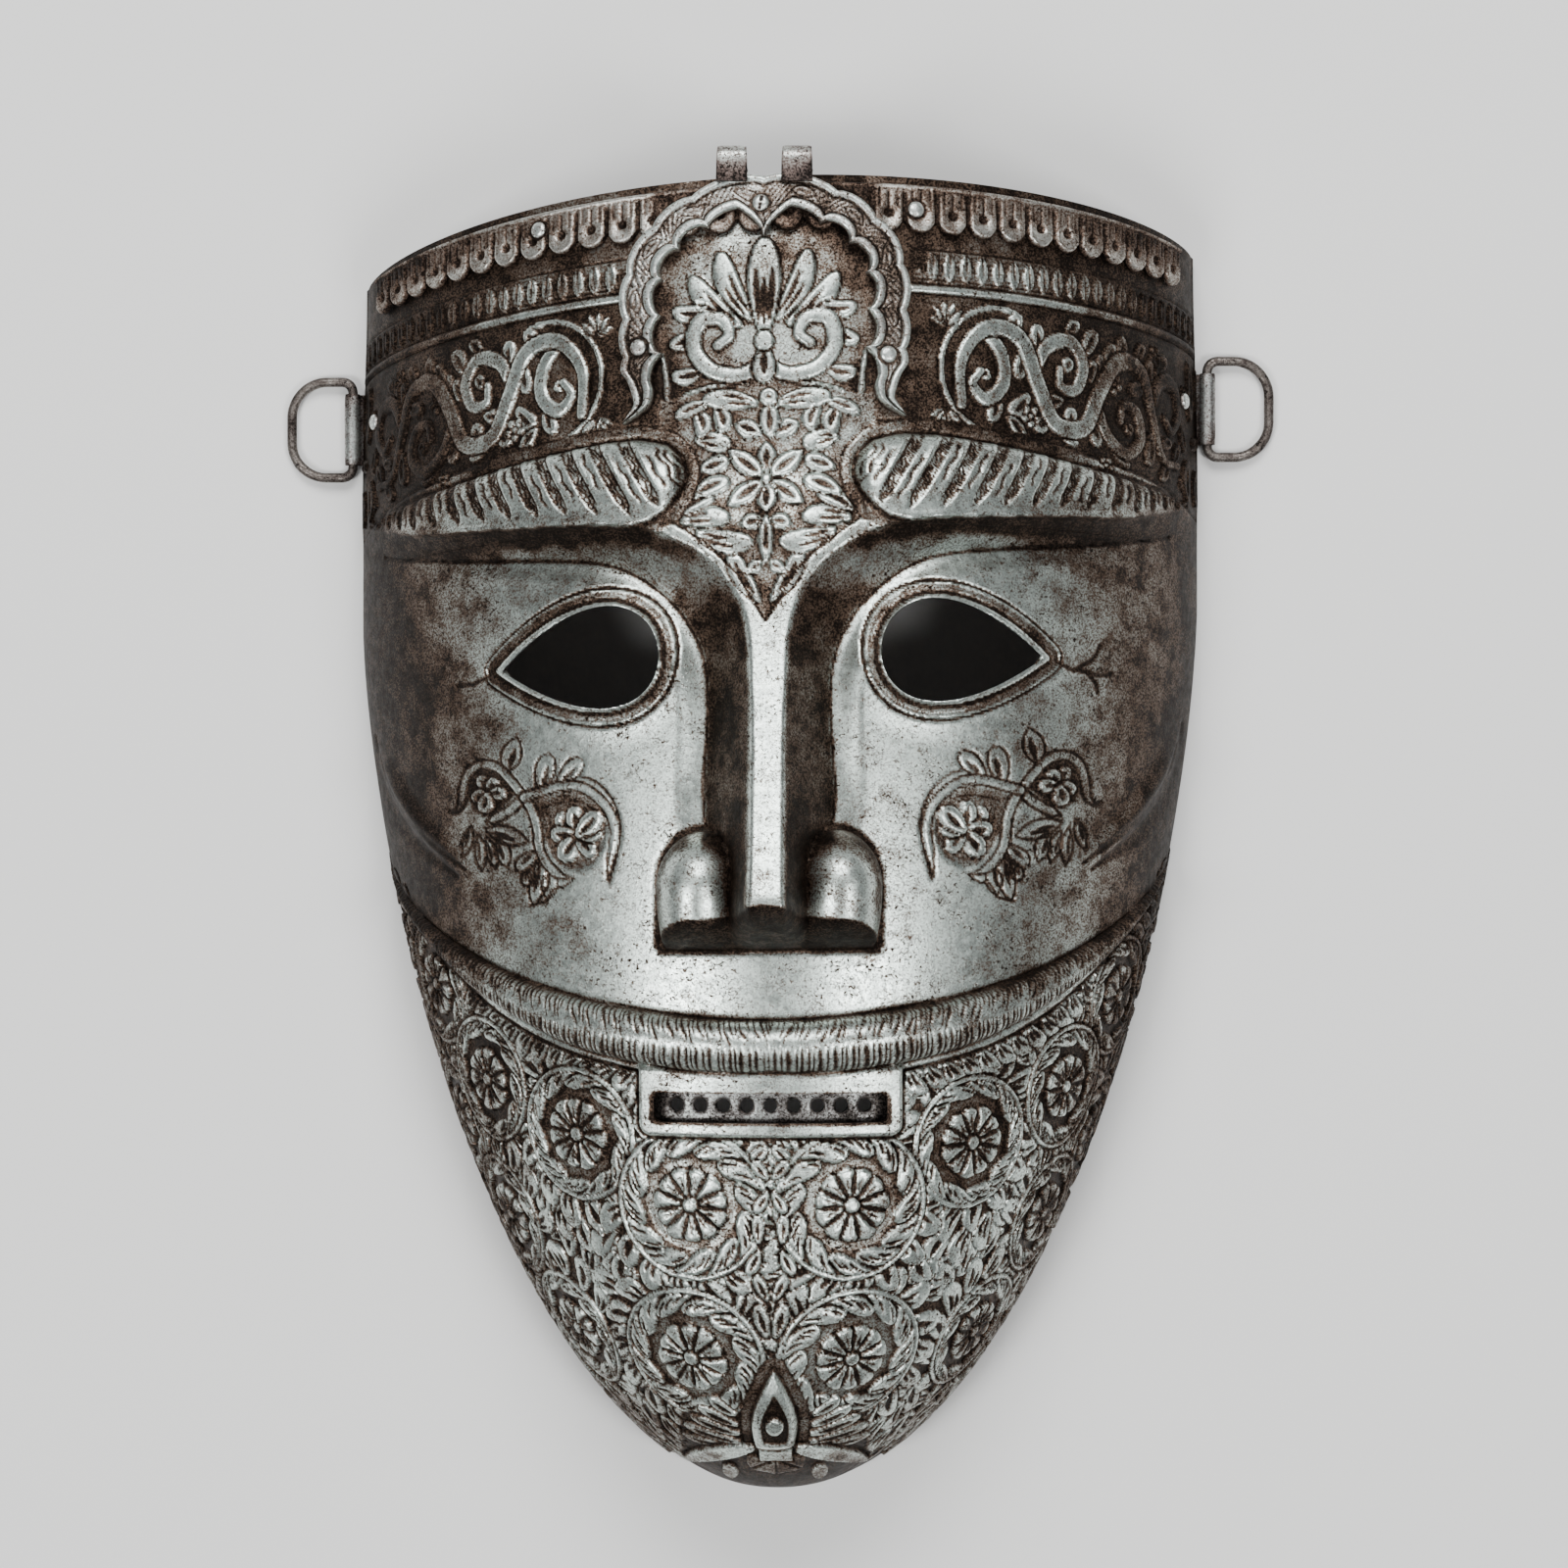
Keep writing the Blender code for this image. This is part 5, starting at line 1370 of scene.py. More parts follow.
@over_chart(122.0, 104.0, 150.0)
def paint_folds(field, block):
    """The creases of the fold on each cheek."""
    side, y = np.abs(field.x[block]), field.y[block]
    for half, path in FOLD_LINES:
        away, t = line_distance(side, y, round_curve(path, 24))
        half = half * np.sin(np.pi * np.clip(t, 0.02, 0.98)) + 0.2
        field.engrave(block, away, half, 0.4, 0.85)


def paint_sprays(field):
    """A chased spray with two heart-shaped leaves on each cheek."""
    for side in (-1, 1):
        x0, x1 = sorted((side * 27.0, side * 66.0))
        found = front_block(field, x0, x1, -13.0, 22.0)
        if found is None:
            continue
        found = mirrored(found, 0.0, side)
        block, u, v = found
        for heart in (SPRAY_HEART, SPRAY_SMALL_HEART):
            away = outline_distance(u, v, np.array(heart))
            field.sink(block, away, 0.32, edge=0.5, patina=0.52)
            field.engrave(block, away + 1.5, 0.26, 0.2, patina=0.8)
        for middle, petals in ((PETAL_FOOT, SPRAY_PETALS), (SMALL_PETAL_FOOT, SMALL_PETALS)):
            for tip_x, tip_y, width in petals:
                leaf(field, found, middle, (tip_x, tip_y), width, patina=0.10, moat=0.5)
        for foot_x, foot_y, tip_x, tip_y, width, rounded in SPRAY_LEAVES:
            outline = leaf_half if rounded else almond_half
            chased_leaf(field, found, (foot_x, foot_y), (tip_x, tip_y), width, outline)
        for path in SPRAY_RIBBONS:
            ribbon(field, found, path, 0.95)
        for path in SPRAY_LINES:
            field.engrave(block, line_distance(u, v, round_curve(path, 24))[0], 0.27, 0.3, 0.9)


def chased_leaf(field, found, foot, tip, width, outline):
    """A leaf drawn by a chased outline and a cut."""
    block, u, v = found
    t, aside, away = leaf_places(u, v, foot, tip, width, outline)
    field.engrave(block, away, 0.27, 0.3, patina=0.92)
    part = np.clip((t - 0.12) / 0.62, 0.0, 1.0)
    cut = np.abs(aside + 0.1 * width) - 0.16 * width * almond_half(part)
    field.gouge(block, only((part > 0.0) & (part < 1.0), cut), 0.25, 0.62)


# ---- ornament: moustache, mouth and beard -----------------------------------------------
HAIR = {"low_pitch": 1.15, "low_depth": 0.42, "high_pitch": 1.12, "high_depth": 0.34,
        "slant": 0.45, "fan": 0.02}


@over_chart(116.0, 156.0, 176.0)
def paint_moustache(field, block):
    """Fine hairs: deep in the lower half, short and slanting in the upper one."""
    p, q = field.p[block], field.q[block]
    place, height = moustache_place(p, q)
    on = smooth(1.02, 0.9, np.abs(place)) * smooth(0.0, 0.8, height)
    wobble = 0.22 * np.sin(0.9 * p) + 0.18 * np.sin(2.3 * p + 1.0)
    fan = HAIR["fan"] * p * (q - 166.0) / 6.0
    low_hair = np.sin(np.pi * (p + wobble - 1.2 * fan) / HAIR["low_pitch"]) ** 2
    low = on * smooth(-0.15, 0.25, place)
    line = np.exp(-(low_hair / (0.14 + 0.26 * smooth(-0.1, 0.5, place)))) * low
    field.height[block] -= HAIR["low_depth"] * line
    field.patina[block] += 0.95 * line
    slant = np.sign(p) * HAIR["slant"] * (q - 161.0)
    high_hair = np.sin(np.pi * (p + wobble + slant) / HAIR["high_pitch"]) ** 2
    strand = np.floor((p + wobble + slant) / HAIR["high_pitch"] + 0.5)
    dash_end = -0.42 + 0.20 * np.sin(2.1 * strand) + 0.14 * np.sin(5.3 * strand)
    high = on * smooth(dash_end + 0.12, dash_end - 0.12, place)
    line = np.exp(-(high_hair / 0.24)) * high
    field.height[block] -= HAIR["high_depth"] * line
    field.patina[block] += line
    field.patina[block] += on * mix(0.04, 0.16, smooth(10.0, 32.0, np.abs(p)))
    for edge in (-1.04, 1.06):
        reach = (place - edge) * 5.0
        field.engrave(block, only(height > 0.4, reach), 0.5, 0.3, patina=0.9)


@over_chart(32.0, 172.0, 190.0)
def paint_mouth(field, block):
    """The plain raised frame of the mouth window."""
    x, y = field.x[block], field.y[block]
    away = frame_distance(x, y) - 0.5
    place, _ = moustache_place(field.p[block], field.q[block])
    below = field.q[block] - beard_top(field.p[block])
    plain = smooth(0.2, -0.2, away) * smooth(1.0, 1.1, place)
    brown = 0.5 * smooth(1.7, 1.1, place) * (0.6 + 0.4 * np.sin(0.31 * x)) - 0.06
    field.level(block, plain, 0.0, brown)
    line = only(below > 0.0, away)
    field.engrave(block, line, 0.35, 0.45)
    window = mouth_distance(x, y)
    # Painted shade along the window's cut edge.
    field.darken(block, 0.8 * smooth(0.7, 0.2, window))


ROSETTES = (
    # p       q      radius  wreath  spin
    (-106.0,  181.0,  6.0,   11.5,   0.5),
    (106.8,   187.6,  6.0,   11.5,   0.1),
    (-86.0,   179.6,  6.2,   11.8,   0.2),
    (88.0,    183.0,  6.2,   11.8,   0.6),
    (-84.0,   205.5,  6.2,   11.8,   0.0),
    (86.0,    209.0,  6.2,   11.8,   0.3),
    (-67.2,   190.6,  6.4,   12.2,   0.4),
    (69.0,    192.8,  6.4,   12.2,   0.0),
    (-66.6,   216.4,  6.4,   12.2,   0.1),
    (67.6,    216.4,  6.4,   12.2,   0.5),
    (-47.6,   232.3,  6.6,   12.4,   0.3),
    (48.4,    233.0,  6.6,   12.4,   0.1),
    (-40.6,   190.8,  7.0,   12.8,   0.0),
    (41.9,    192.8,  7.0,   12.8,   0.2),
    (-16.1,   229.6,  7.2,   14.3,   0.3),
    (15.9,    229.6,  7.2,   14.3,   0.0),
    (-15.6,   198.3,  7.3,   14.6,   0.15),
    (15.8,    198.3,  7.3,   14.6,   0.4),
)
# A wreath's inner edge lies this far outside its rosette; leaves are for 1 mm of radius.
WREATH = {"gap": 2.0, "leaves_per_mm": 0.79}
FOLIAGE = {"pitch": 5.3, "step": 4.9, "length": 7.4, "width": 4.8, "swirl": 34.0}
TOP_ROW = {"start": 27.5, "end": 108.0, "pitch": 4.1, "length": 5.8, "width": 3.7}
BEARD_TOP_GAP = 3.0       # plain ground between the moustache and the leaves
CENTRE_LEAVES = (
    # foot x  y      tip x   y      width
    (0.5,   -57.8,   3.6,  -60.8,   2.6),
    (0.5,   -64.0,   3.4,  -60.6,   2.4),
    (0.4,   -66.5,   2.9,  -70.6,   2.2),
    (2.2,   -76.5,   2.6,  -71.0,   2.4),
    (2.0,   -78.0,   4.4,  -82.6,   2.6),
    (0.6,   -87.6,   3.0,  -82.6,   2.4),
    (0.8,   -95.0,   2.7,  -88.4,   3.0),
)


def beard_top(p):
    """The chart's q where the beard's foliage begins."""
    side = np.abs(p)
    foot = table_curve(MOUSTACHE, 2, side)
    return foot + BEARD_TOP_GAP * (0.62 + 0.38 * smooth(30.0, 60.0, side))


def make_foliage():
    """Feet, directions and sizes of the leaves that fill the beard round the wreaths."""
    chance = np.random.default_rng(7)
    leaves = []
    for ring in (3, 2, 1, 0):
        for number, (rp, rq, _, wreath_radius, _) in enumerate(ROSETTES):
            radius = wreath_radius - 0.4 + FOLIAGE["step"] * ring
            count = round(2 * math.pi * radius / FOLIAGE["pitch"])
            way = 1 if rp > 0 else -1
            for k in range(count):
                angle = 2 * math.pi * (k + 0.5 * (ring % 2)) / count
                size = chance.uniform(0.92, 1.12)
                tilt = chance.uniform(-9.0, 9.0)
                p, q = rp + radius * math.sin(angle), rq - radius * math.cos(angle)
                gaps = [math.hypot(p - op, q - oq) - other_radius
                        for op, oq, _, other_radius, _ in ROSETTES]
                if int(np.argmin(gaps)) != number or q > Q_END - 0.5:
                    continue
                if abs(p) > float(reach_at(q)) - 1.0 or q < float(beard_top(p)) + 0.6:
                    continue
                turn = math.degrees(angle) + way * FOLIAGE["swirl"] + tilt
                leaves.append((p, q, turn, FOLIAGE["length"] * size, FOLIAGE["width"] * size,
                               1 + (len(leaves) % 3 > 0)))
    for p in np.arange(TOP_ROW["start"], TOP_ROW["end"], TOP_ROW["pitch"]):
        for side in (-1, 1):
            top = float(beard_top(p)) + 0.9
            turn = side * (180.0 - chance.uniform(18.0, 50.0))
            leaves.append((side * p, top, turn, TOP_ROW["length"], TOP_ROW["width"], 2))
    return leaves


FOLIAGE_LEAVES = make_foliage()


@over_chart(125.0, 160.0, Q_END + 1.0)
def paint_beard(field, block):
    """Rosettes in leafy wreaths, with leaves filling the ground between them."""
    p, q = field.p[block], field.q[block]
    below = q - beard_top(p)
    on_beard = smooth(0.0, 0.8, below)
    keep = field.height[block].copy(), field.patina[block].copy()
    field.height[block] -= 0.55 * on_beard
    field.darken(block, 0.62 * on_beard)
    for p0, q0, turn, length, width, cuts in FOLIAGE_LEAVES:
        found = field.spot(p0, q0, length + 1.2, turn)
        if found:
            leaf(field, found, (0.0, -1.0), (0.0, length - 0.6), width, bend=0.12, cuts=cuts,
                 moat=0.3)
    for number, (p0, q0, radius, outer, spin) in enumerate(ROSETTES):
        way = 1 if p0 > 0 else -1
        leaves = round(outer * WREATH["leaves_per_mm"])
        wreath(field, p0, q0, outer, radius + WREATH["gap"], leaves, spin, way, number)
    for p0, q0, radius, _, spin in ROSETTES:
        petals = ROSETTE["petals"] + (radius > ROSETTE["large"])
        rosette(field, p0, q0, radius, petals, spin)
    centre = front_block(field, -6.0, 6.0, -98.0, -55.0)
    if centre:
        for way in both_ways(centre, 0.0):
            table_leaves(field, way, CENTRE_LEAVES)
    field.height[block] = mix(keep[0], field.height[block], on_beard)
    # Lighter in the middle, where it is rubbed, and darker towards the sides as painted shade; dark
    # cuts go darker still.
    wear_and_side_shade = mix(0.54, 1.06, smooth(10.0, 66.0, np.abs(field.x[block])))
    wear_and_side_shade = mix(wear_and_side_shade, 1.18, smooth(0.40, 0.72, field.patina[block]))
    field.patina[block] = mix(keep[1], wear_and_side_shade * field.patina[block], on_beard)
    field.engrave(block, below, 0.4, 0.35, patina=0.9)


CHIN_BOSS_X = 0.4
# The leaf on each side of the drop's foot, in chart places.
CHIN_LEAF = {"q": 250.4, "droop": 0.019, "inner": 3.4, "reach": 23.0, "depth": 24.0, "rim": 2.7}
CHIN_STRANDS = (
    # foot x  y       tip x   y      width
    (7.4,   -111.0,  12.6, -107.6,  2.2),
    (7.0,   -113.2,  14.8, -109.6,  2.2),
    (6.6,   -115.2,  16.6, -111.6,  2.2),
    (6.4,   -117.0,  18.0, -113.8,  2.1),
    (6.2,   -118.6,  18.4, -116.2,  2.0),
)


def chin_outline(scale=1.0):
    """The drop's outline, or a smaller one inside it, as closed (x, y) places."""
    foot, top = CHIN_BOSS["foot"], CHIN_BOSS["top"]
    y = np.linspace(foot, top, 25)
    _, half = chin_boss_half(y)
    middle = mix(foot, top, 0.36)
    right = np.stack([half * scale + CHIN_BOSS_X, middle + (y - middle) * scale], 1)
    left = (right[::-1] - (CHIN_BOSS_X, 0.0)) * (-1, 1) + (CHIN_BOSS_X, 0.0)
    return np.concatenate([right, left[1:]])


@over_chart(36.0, 222.0, Q_END + 1.0)
def paint_chin(field, block):
    """The smooth drop under the beard, with a leaf on each side of its foot."""
    x, y = field.x[block], field.y[block]
    beside = smooth(19.0, 17.0, np.abs(x)) * smooth(-109.0, -110.5, y + 0.10 * np.abs(x))
    field.level(block, beside, -0.5, 0.62)
    for way in both_ways((block, x, y), CHIN_BOSS_X):
        table_leaves(field, way, CHIN_STRANDS, bend=0.05, moat=0.3)
    field.patina[block] += 0.26 * beside
    away = outline_distance(x, y, chin_outline())
    field.level(block, smooth(2.6, 2.2, away), -0.45, 0.62)
    field.engrave(block, away - 2.5, 0.25, 0.25, patina=0.9)
    for side in (-1, 1):
        found = chart_block(field, side, -1.0, 34.0, 250.0, Q_END + 1.0)
        if found is None:
            continue
        part, p, q = found
        blade_length = CHIN_LEAF["reach"] - CHIN_LEAF["inner"]
        reach = np.clip((p - CHIN_LEAF["inner"]) / blade_length, 0.0, 1.0)
        top = CHIN_LEAF["q"] + CHIN_LEAF["droop"] * p ** 2
        low = top + CHIN_LEAF["depth"] * (1.0 - reach ** 2) ** 0.9
        beside = (p > CHIN_LEAF["inner"]) & (p < CHIN_LEAF["reach"])
        blade = only(beside, np.maximum(top - q, q - low))
        field.sink(part, blade, 0.45, patina=0.60)
        field.engrave(part, blade, 0.4, 0.3)
        above = bell(q - top + 1.6, 1.2) * beside
        field.carve(part, above, 0.4, 0.9)
        half_rim = CHIN_LEAF["rim"] * (4.0 * reach * (1.0 - reach)) ** 0.6
        rim = np.abs(q - top - 0.5 * half_rim) - half_rim
        field.emboss(part, only(beside, rim), 0.45, moat=0.4, patina=-0.25)
        spot = np.hypot(p - 9.5, 0.5 * (q - 262.0))
        field.emboss(part, spot - 1.9, 0.2, moat=0.4, patina=-0.15)
    field.level(block, smooth(0.25, -0.15, away), 0.15, 0.03)
    field.engrave(block, away - 0.3, 0.35, 0.35, patina=0.95)
    inner = outline_distance(x, y, chin_outline(0.60))
    field.sink(block, inner, 0.5, patina=0.82)
    middle_y = mix(CHIN_BOSS["foot"], CHIN_BOSS["top"], 0.42)
    egg = np.hypot(x - CHIN_BOSS_X, (y - middle_y) * 0.85) - 1.75 * smooth(3.6, -1.0, y - middle_y)
    field.emboss(block, egg, 0.75)
    fan_y = CHIN_BOSS["foot"] - 2.2
    reach = np.hypot(x - CHIN_BOSS_X, (y - fan_y) * 1.7)
    turn = np.arctan2(x - CHIN_BOSS_X, fan_y - y)
    fan = only(y < fan_y + 0.6, reach - 6.4 + 0.7 * np.abs(np.sin(2.8 * turn)))
    field.emboss(block, fan, 0.25, moat=0.4, patina=0.42)
    rays = only(fan < 0.0, np.abs(np.sin(2.8 * turn)) * reach / 2.8 - 0.30)
    field.gouge(block, rays, 0.35, 0.97)
    base = np.maximum(np.abs(x - CHIN_BOSS_X) - 3.2, np.abs(y - CHIN_BOSS["foot"] + 0.9) - 1.35)
    field.emboss(block, base, 0.5, moat=0.35, patina=0.10)


def age_and_shade(field):
    """Patina in hollows; painted shade on faces that slope away and the sides (more on the left);
    darker rear edge.
    """
    on_right = field.x > 0.0
    on_band = smooth(62.0, 56.0, field.q)
    # Painted shade: the band darkens towards the sides, more on the left.
    band_side_shade = np.where(on_right, 0.18, 0.42)
    field.patina += band_side_shade * on_band * smooth(38.0, 84.0, np.abs(field.p))
    # Painted shade: faces that turn away from the front are darker.
    steep_shade = smooth(0.90, 0.20, field.normal_z)
    field.patina += 0.60 * steep_shade
    # Painted shade: darker towards the sides, most on the face, and more on the left.
    on_face = smooth(58.0, 68.0, field.q) * smooth(170.0, 156.0, field.q)
    aside = mix(0.36 * smooth(42.0, 85.0, np.abs(field.x)),
                0.58 * smooth(32.0, 72.0, np.abs(field.x)), on_face)
    field.patina += aside * np.where(on_right, 0.86, 1.0)
    # Patina in the hollows, lighter on the raised parts.
    soft = field.height.copy()
    for _ in range(3):
        padded = np.pad(soft, 2, mode="edge")
        soft = sum(padded[2 + r:padded.shape[0] - 2 + r, 2:-2] for r in (-2, -1, 0, 1, 2)) / 5
        padded = np.pad(soft, 2, mode="edge")
        soft = sum(padded[2:-2, 2 + c:padded.shape[1] - 2 + c] for c in (-2, -1, 0, 1, 2)) / 5
    field.patina += np.clip(0.55 * (soft - field.height), -0.25, 0.5)
    # Darker near the rear edge.
    edge = reach_at(field.q) - np.abs(field.p)
    field.patina += 0.25 * smooth(7.0, 0.5, edge)


def paint_shell(field):
    """All the ornament, in the order in which it is laid, and then ageing and painted shade."""
    for paint in (paint_band, paint_arch_ground, paint_field, paint_brows, paint_face,
                  paint_eyes, paint_folds, paint_sprays, paint_beard, paint_moustache,
                  paint_mouth, paint_chin, age_and_shade):
        paint(field)


# ---- meshes ---------------------------------------------------------------------------
NO_TRIANGLES = np.zeros((0, 3), int)


def build_mesh(name, points, quads, triangles, patina):
    """A mesh in metres from points in millimetres, faces, and each point's patina."""
    corners = np.concatenate([quads.ravel(), triangles.ravel()]).astype(np.int32)
    used, corners = np.unique(corners, return_inverse=True)
    points, patina = np.asarray(points)[used], np.asarray(patina)[used]
    mesh = bpy.data.meshes.new(name)
    mesh.vertices.add(len(points))
    mesh.vertices.foreach_set("co", (points * MM).astype(np.float32).ravel())
    mesh.loops.add(len(corners))
    mesh.loops.foreach_set("vertex_index", corners.astype(np.int32))
    starts = np.concatenate([np.arange(len(quads)) * 4, quads.size + np.arange(len(triangles)) * 3])
    mesh.polygons.add(len(starts))
    mesh.polygons.foreach_set("loop_start", starts.astype(np.int32))
    mesh.update(calc_edges=True)
    mesh.validate()
    # The patina attribute: patina and, in places, painted shade.
    mesh.attributes.new("patina", "FLOAT", "POINT").data.foreach_set(
        "value", np.clip(patina, 0.0, 1.0).astype(np.float32))
    return mesh


def grid_faces(rows, columns):
    """Quads of a grid whose rows run down and columns to the right, facing out."""
    index = np.arange(rows * columns).reshape(rows, columns)
    faces = np.stack([index[:-1, :-1], index[1:, :-1], index[1:, 1:], index[:-1, 1:]], axis=-1)
    return faces.reshape(-1, 4)


def rim_loop(rows, columns, down, across):
    """The grid's rim in order: vertex numbers, and their places from 0 to 1 along it."""
    index = np.arange(rows * columns).reshape(rows, columns)
    loop = np.concatenate([index[0, :-1], index[:-1, -1], index[-1, :0:-1], index[:0:-1, 0]])
    at = np.concatenate([across[:-1], 1 + down[:-1], 3 - across[:0:-1], 4 - down[:0:-1]]) / 4
    return loop, at


def zip_loops(outer, outer_at, inner, inner_at):
    """Triangles between two closed loops of vertices, each with its places from 0 to 1."""
    triangles = []
    n, m = len(outer), len(inner)
    outer_at = np.append(outer_at, outer_at[0] + 1.0)
    inner_at = np.append(inner_at, inner_at[0] + 1.0)
    i = j = 0
    while i < n or j < m:
        if j == m or (i < n and outer_at[i + 1] <= inner_at[j + 1]):
            triangles.append((outer[i], outer[(i + 1) % n], inner[j % m]))
            i += 1
        else:
            triangles.append((outer[i % n], inner[(j + 1) % m], inner[j]))
            j += 1
    return np.array(triangles)


def snap_to_hole(points, away, values):
    """Move grid points next to a hole's edge onto it. away: distance outside the hole.

    Returns each point's state: -1 in the hole, 0 on its edge, 1 outside."""
    state = np.where(away < 0.0, -1, 1)
    best = np.full(away.shape, 0.5)
    moved, moved_values = points.copy(), values.copy()
    for axis in (0, 1):
        for step in (1, -1):
            other = np.roll(away, step, axis)
            ends = [slice(None), slice(None)]
            ends[axis] = 0 if step == 1 else -1
            share = np.abs(away) / np.maximum(np.abs(away) + np.abs(other), 1e-9)
            crossing = (away < 0.0) != (other < 0.0)
            crossing[tuple(ends)] = False
            use = crossing & (share <= best)
            best = np.where(use, share, best)
            part = share[..., None]
            moved = np.where(use[..., None], mix(points, np.roll(points, step, axis), part), moved)
            moved_values = np.where(use, mix(values, np.roll(values, step, axis), share),
                                    moved_values)
            state[use] = 0
    return moved, moved_values, state


def faces_round_holes(rows, columns, state, away):
    """The grid's quads and triangles that are left outside the holes."""
    quads = grid_faces(rows, columns)
    corner = state.ravel()[quads]
    has_in = (corner < 0).any(axis=1)
    has_out = (corner > 0).any(axis=1)
    middle = away.ravel()[quads].mean(axis=1)
    keep = ~has_in & (has_out | (middle > 0.0))
    triangles = []
    for quad, states in zip(quads[has_in & has_out], corner[has_in & has_out]):
        first = int(np.argmin(states)) + 1
        triangles.append([quad[(first + k) % 4] for k in range(3)])
    return quads[keep], np.array(triangles, int).reshape(-1, 3)


def hole_loop(quads, triangles, on_edge):
    """The vertices on one hole's edge, in order. on_edge: which vertices may be in it."""
    edges = set()
    for faces in (quads, triangles):
        for face in faces[on_edge[faces].sum(axis=1) >= 2].tolist():
            edges.update(zip(face, face[1:] + face[:1]))
    following = {a: b for a, b in edges if on_edge[a] and on_edge[b] and (b, a) not in edges}
    loop = [min(following)]
    while following[loop[-1]] != loop[0]:
        loop.append(following[loop[-1]])
        if len(loop) > len(following):
            raise ValueError("the edge of a hole doesn't close")
    return np.array(loop)


def loop_angles(points, loop, centre):
    """The loop turned and ordered so that its angle round the centre grows from 0 to 1."""
    turn = np.arctan2(points[loop, 1] - centre[1], points[loop, 0] - centre[0]) / (2 * math.pi)
    if np.median(np.mod(np.diff(turn) + 0.5, 1.0)) < 0.5:
        loop, turn = loop[::-1], turn[::-1]
    turn = np.mod(turn, 1.0)
    first = int(np.argmin(turn))
    loop, turn = np.roll(loop, -first), np.roll(turn, -first)
    return loop, np.maximum.accumulate(turn)


# ---- the shell's panels ---------------------------------------------------------------
# Inner faces: patina, darkened further as painted shade inside the shell.
INSIDE_PATINA_AND_SHADE = 0.88
COARSE = 4                # the inner face's grid is this much coarser
HOLE_REACH = 30.0         # no other hole lies this near in x


def eye_distance(x, y):
    """Distance outside the eye openings, negative inside; y is the front view's height."""
    return outline_distance(np.abs(x), y, EYE_OUTLINE)


def eye_outline(count):
    """A teardrop: round towards the nose, with its corner outside."""
    tilt = math.radians(EYE["tilt"])
    t = 2 * math.pi * np.arange(count) / count
    along = EYE["half_length"] * np.cos(t)
    up = EYE["height"] * np.sin(t) * np.sin(t / 2)
    return np.stack([EYE["x"] + along * math.cos(tilt) - up * math.sin(tilt),
                     EYE["y"] + along * math.sin(tilt) + up * math.cos(tilt)], axis=1)


EYE_OUTLINE = eye_outline(120)


class Skin:
    """A grid over part of the shell: chart places, bare points, normals and forms."""

    def __init__(self, rows, shares):
        self.rows, self.shares = rows, shares
        self.q = np.repeat(rows[:, None], len(shares), axis=1)
        self.p = reach_at(self.q) * shares[None, :]
        turn = turn_at(shares[None, :], self.q)
        # The columns at the ends stand on the rear edge itself.
        turn[:, 0], turn[:, -1] = -math.pi / 2, math.pi / 2
        self.bare = skin_point(turn, self.q)
        self.normal = skin_normal(turn, self.q)
        self.front_y = self.bare[..., 1] - section(self.q, 5) * self.bare[..., 0]
        self.form = form_height(self.bare[..., 0], self.front_y, self.p, self.q)
        edge = np.zeros(self.q.shape, bool)
        edge[:, 0] = edge[:, -1] = True
        edge[-1] |= rows[-1] >= Q_END - 1e-6
        self.normal[edge, 2] = 0.0
        self.normal[edge] /= np.linalg.norm(self.normal[edge], axis=-1, keepdims=True)
        self.form[edge] = 0.0


def closed_sheet(name, layers, values, holes=None, centres=(), reach=HOLE_REACH):
    """A closed sheet between two grids (outer, inner), with holes cut through both.

    layers: for each grid its points and its rim places (down, across). values: patina of
    each. holes: for each grid its distance outside the holes. centres: one (x, y) a hole."""
    points, patina, quads, triangles, loops = [], [], [], [], []
    start = 0
    for layer, (place, down, across) in enumerate(layers):
        rows, columns = place.shape[:2]
        value, four, three = values[layer], grid_faces(rows, columns), NO_TRIANGLES
        found = [rim_loop(rows, columns, down, across)]
        if holes:
            place, value, state = snap_to_hole(place, holes[layer], value)
            four, three = faces_round_holes(rows, columns, state, holes[layer])
            for centre in centres:
                on_edge = (state == 0).ravel()
                on_edge &= np.abs(place[..., 0].ravel() - centre[0]) < reach
                loop = hole_loop(four, three, on_edge)
                found.append(loop_angles(place.reshape(-1, 3), loop, centre))
        if layer == 1:
            four, three = four[:, ::-1], three[:, ::-1]
        loops.append([(loop + start, at) for loop, at in found])
        quads.append(four + start)
        triangles.append(three + start)
        points.append(place.reshape(-1, 3))
        patina.append(value.ravel())
        start += rows * columns
    triangles += [zip_loops(*outer, *inner) for outer, inner in zip(*loops)]
    return build_mesh(name, np.concatenate(points), np.concatenate(quads),
                      np.concatenate(triangles), np.concatenate(patina))


def add_piece(name, mesh, body, slot, replaces, sharp=65.0):
    """Show a mesh, in its slot's finish, as a piece that rides on a body."""
    mesh.materials.append(FINISH[slot])
    mesh.shade_smooth()
    mesh.set_sharp_from_angle(angle=math.radians(sharp))
    piece = bpy.data.objects.new(name, mesh)
    bpy.context.scene.collection.objects.link(piece)
    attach(piece, body)
    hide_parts(replaces)


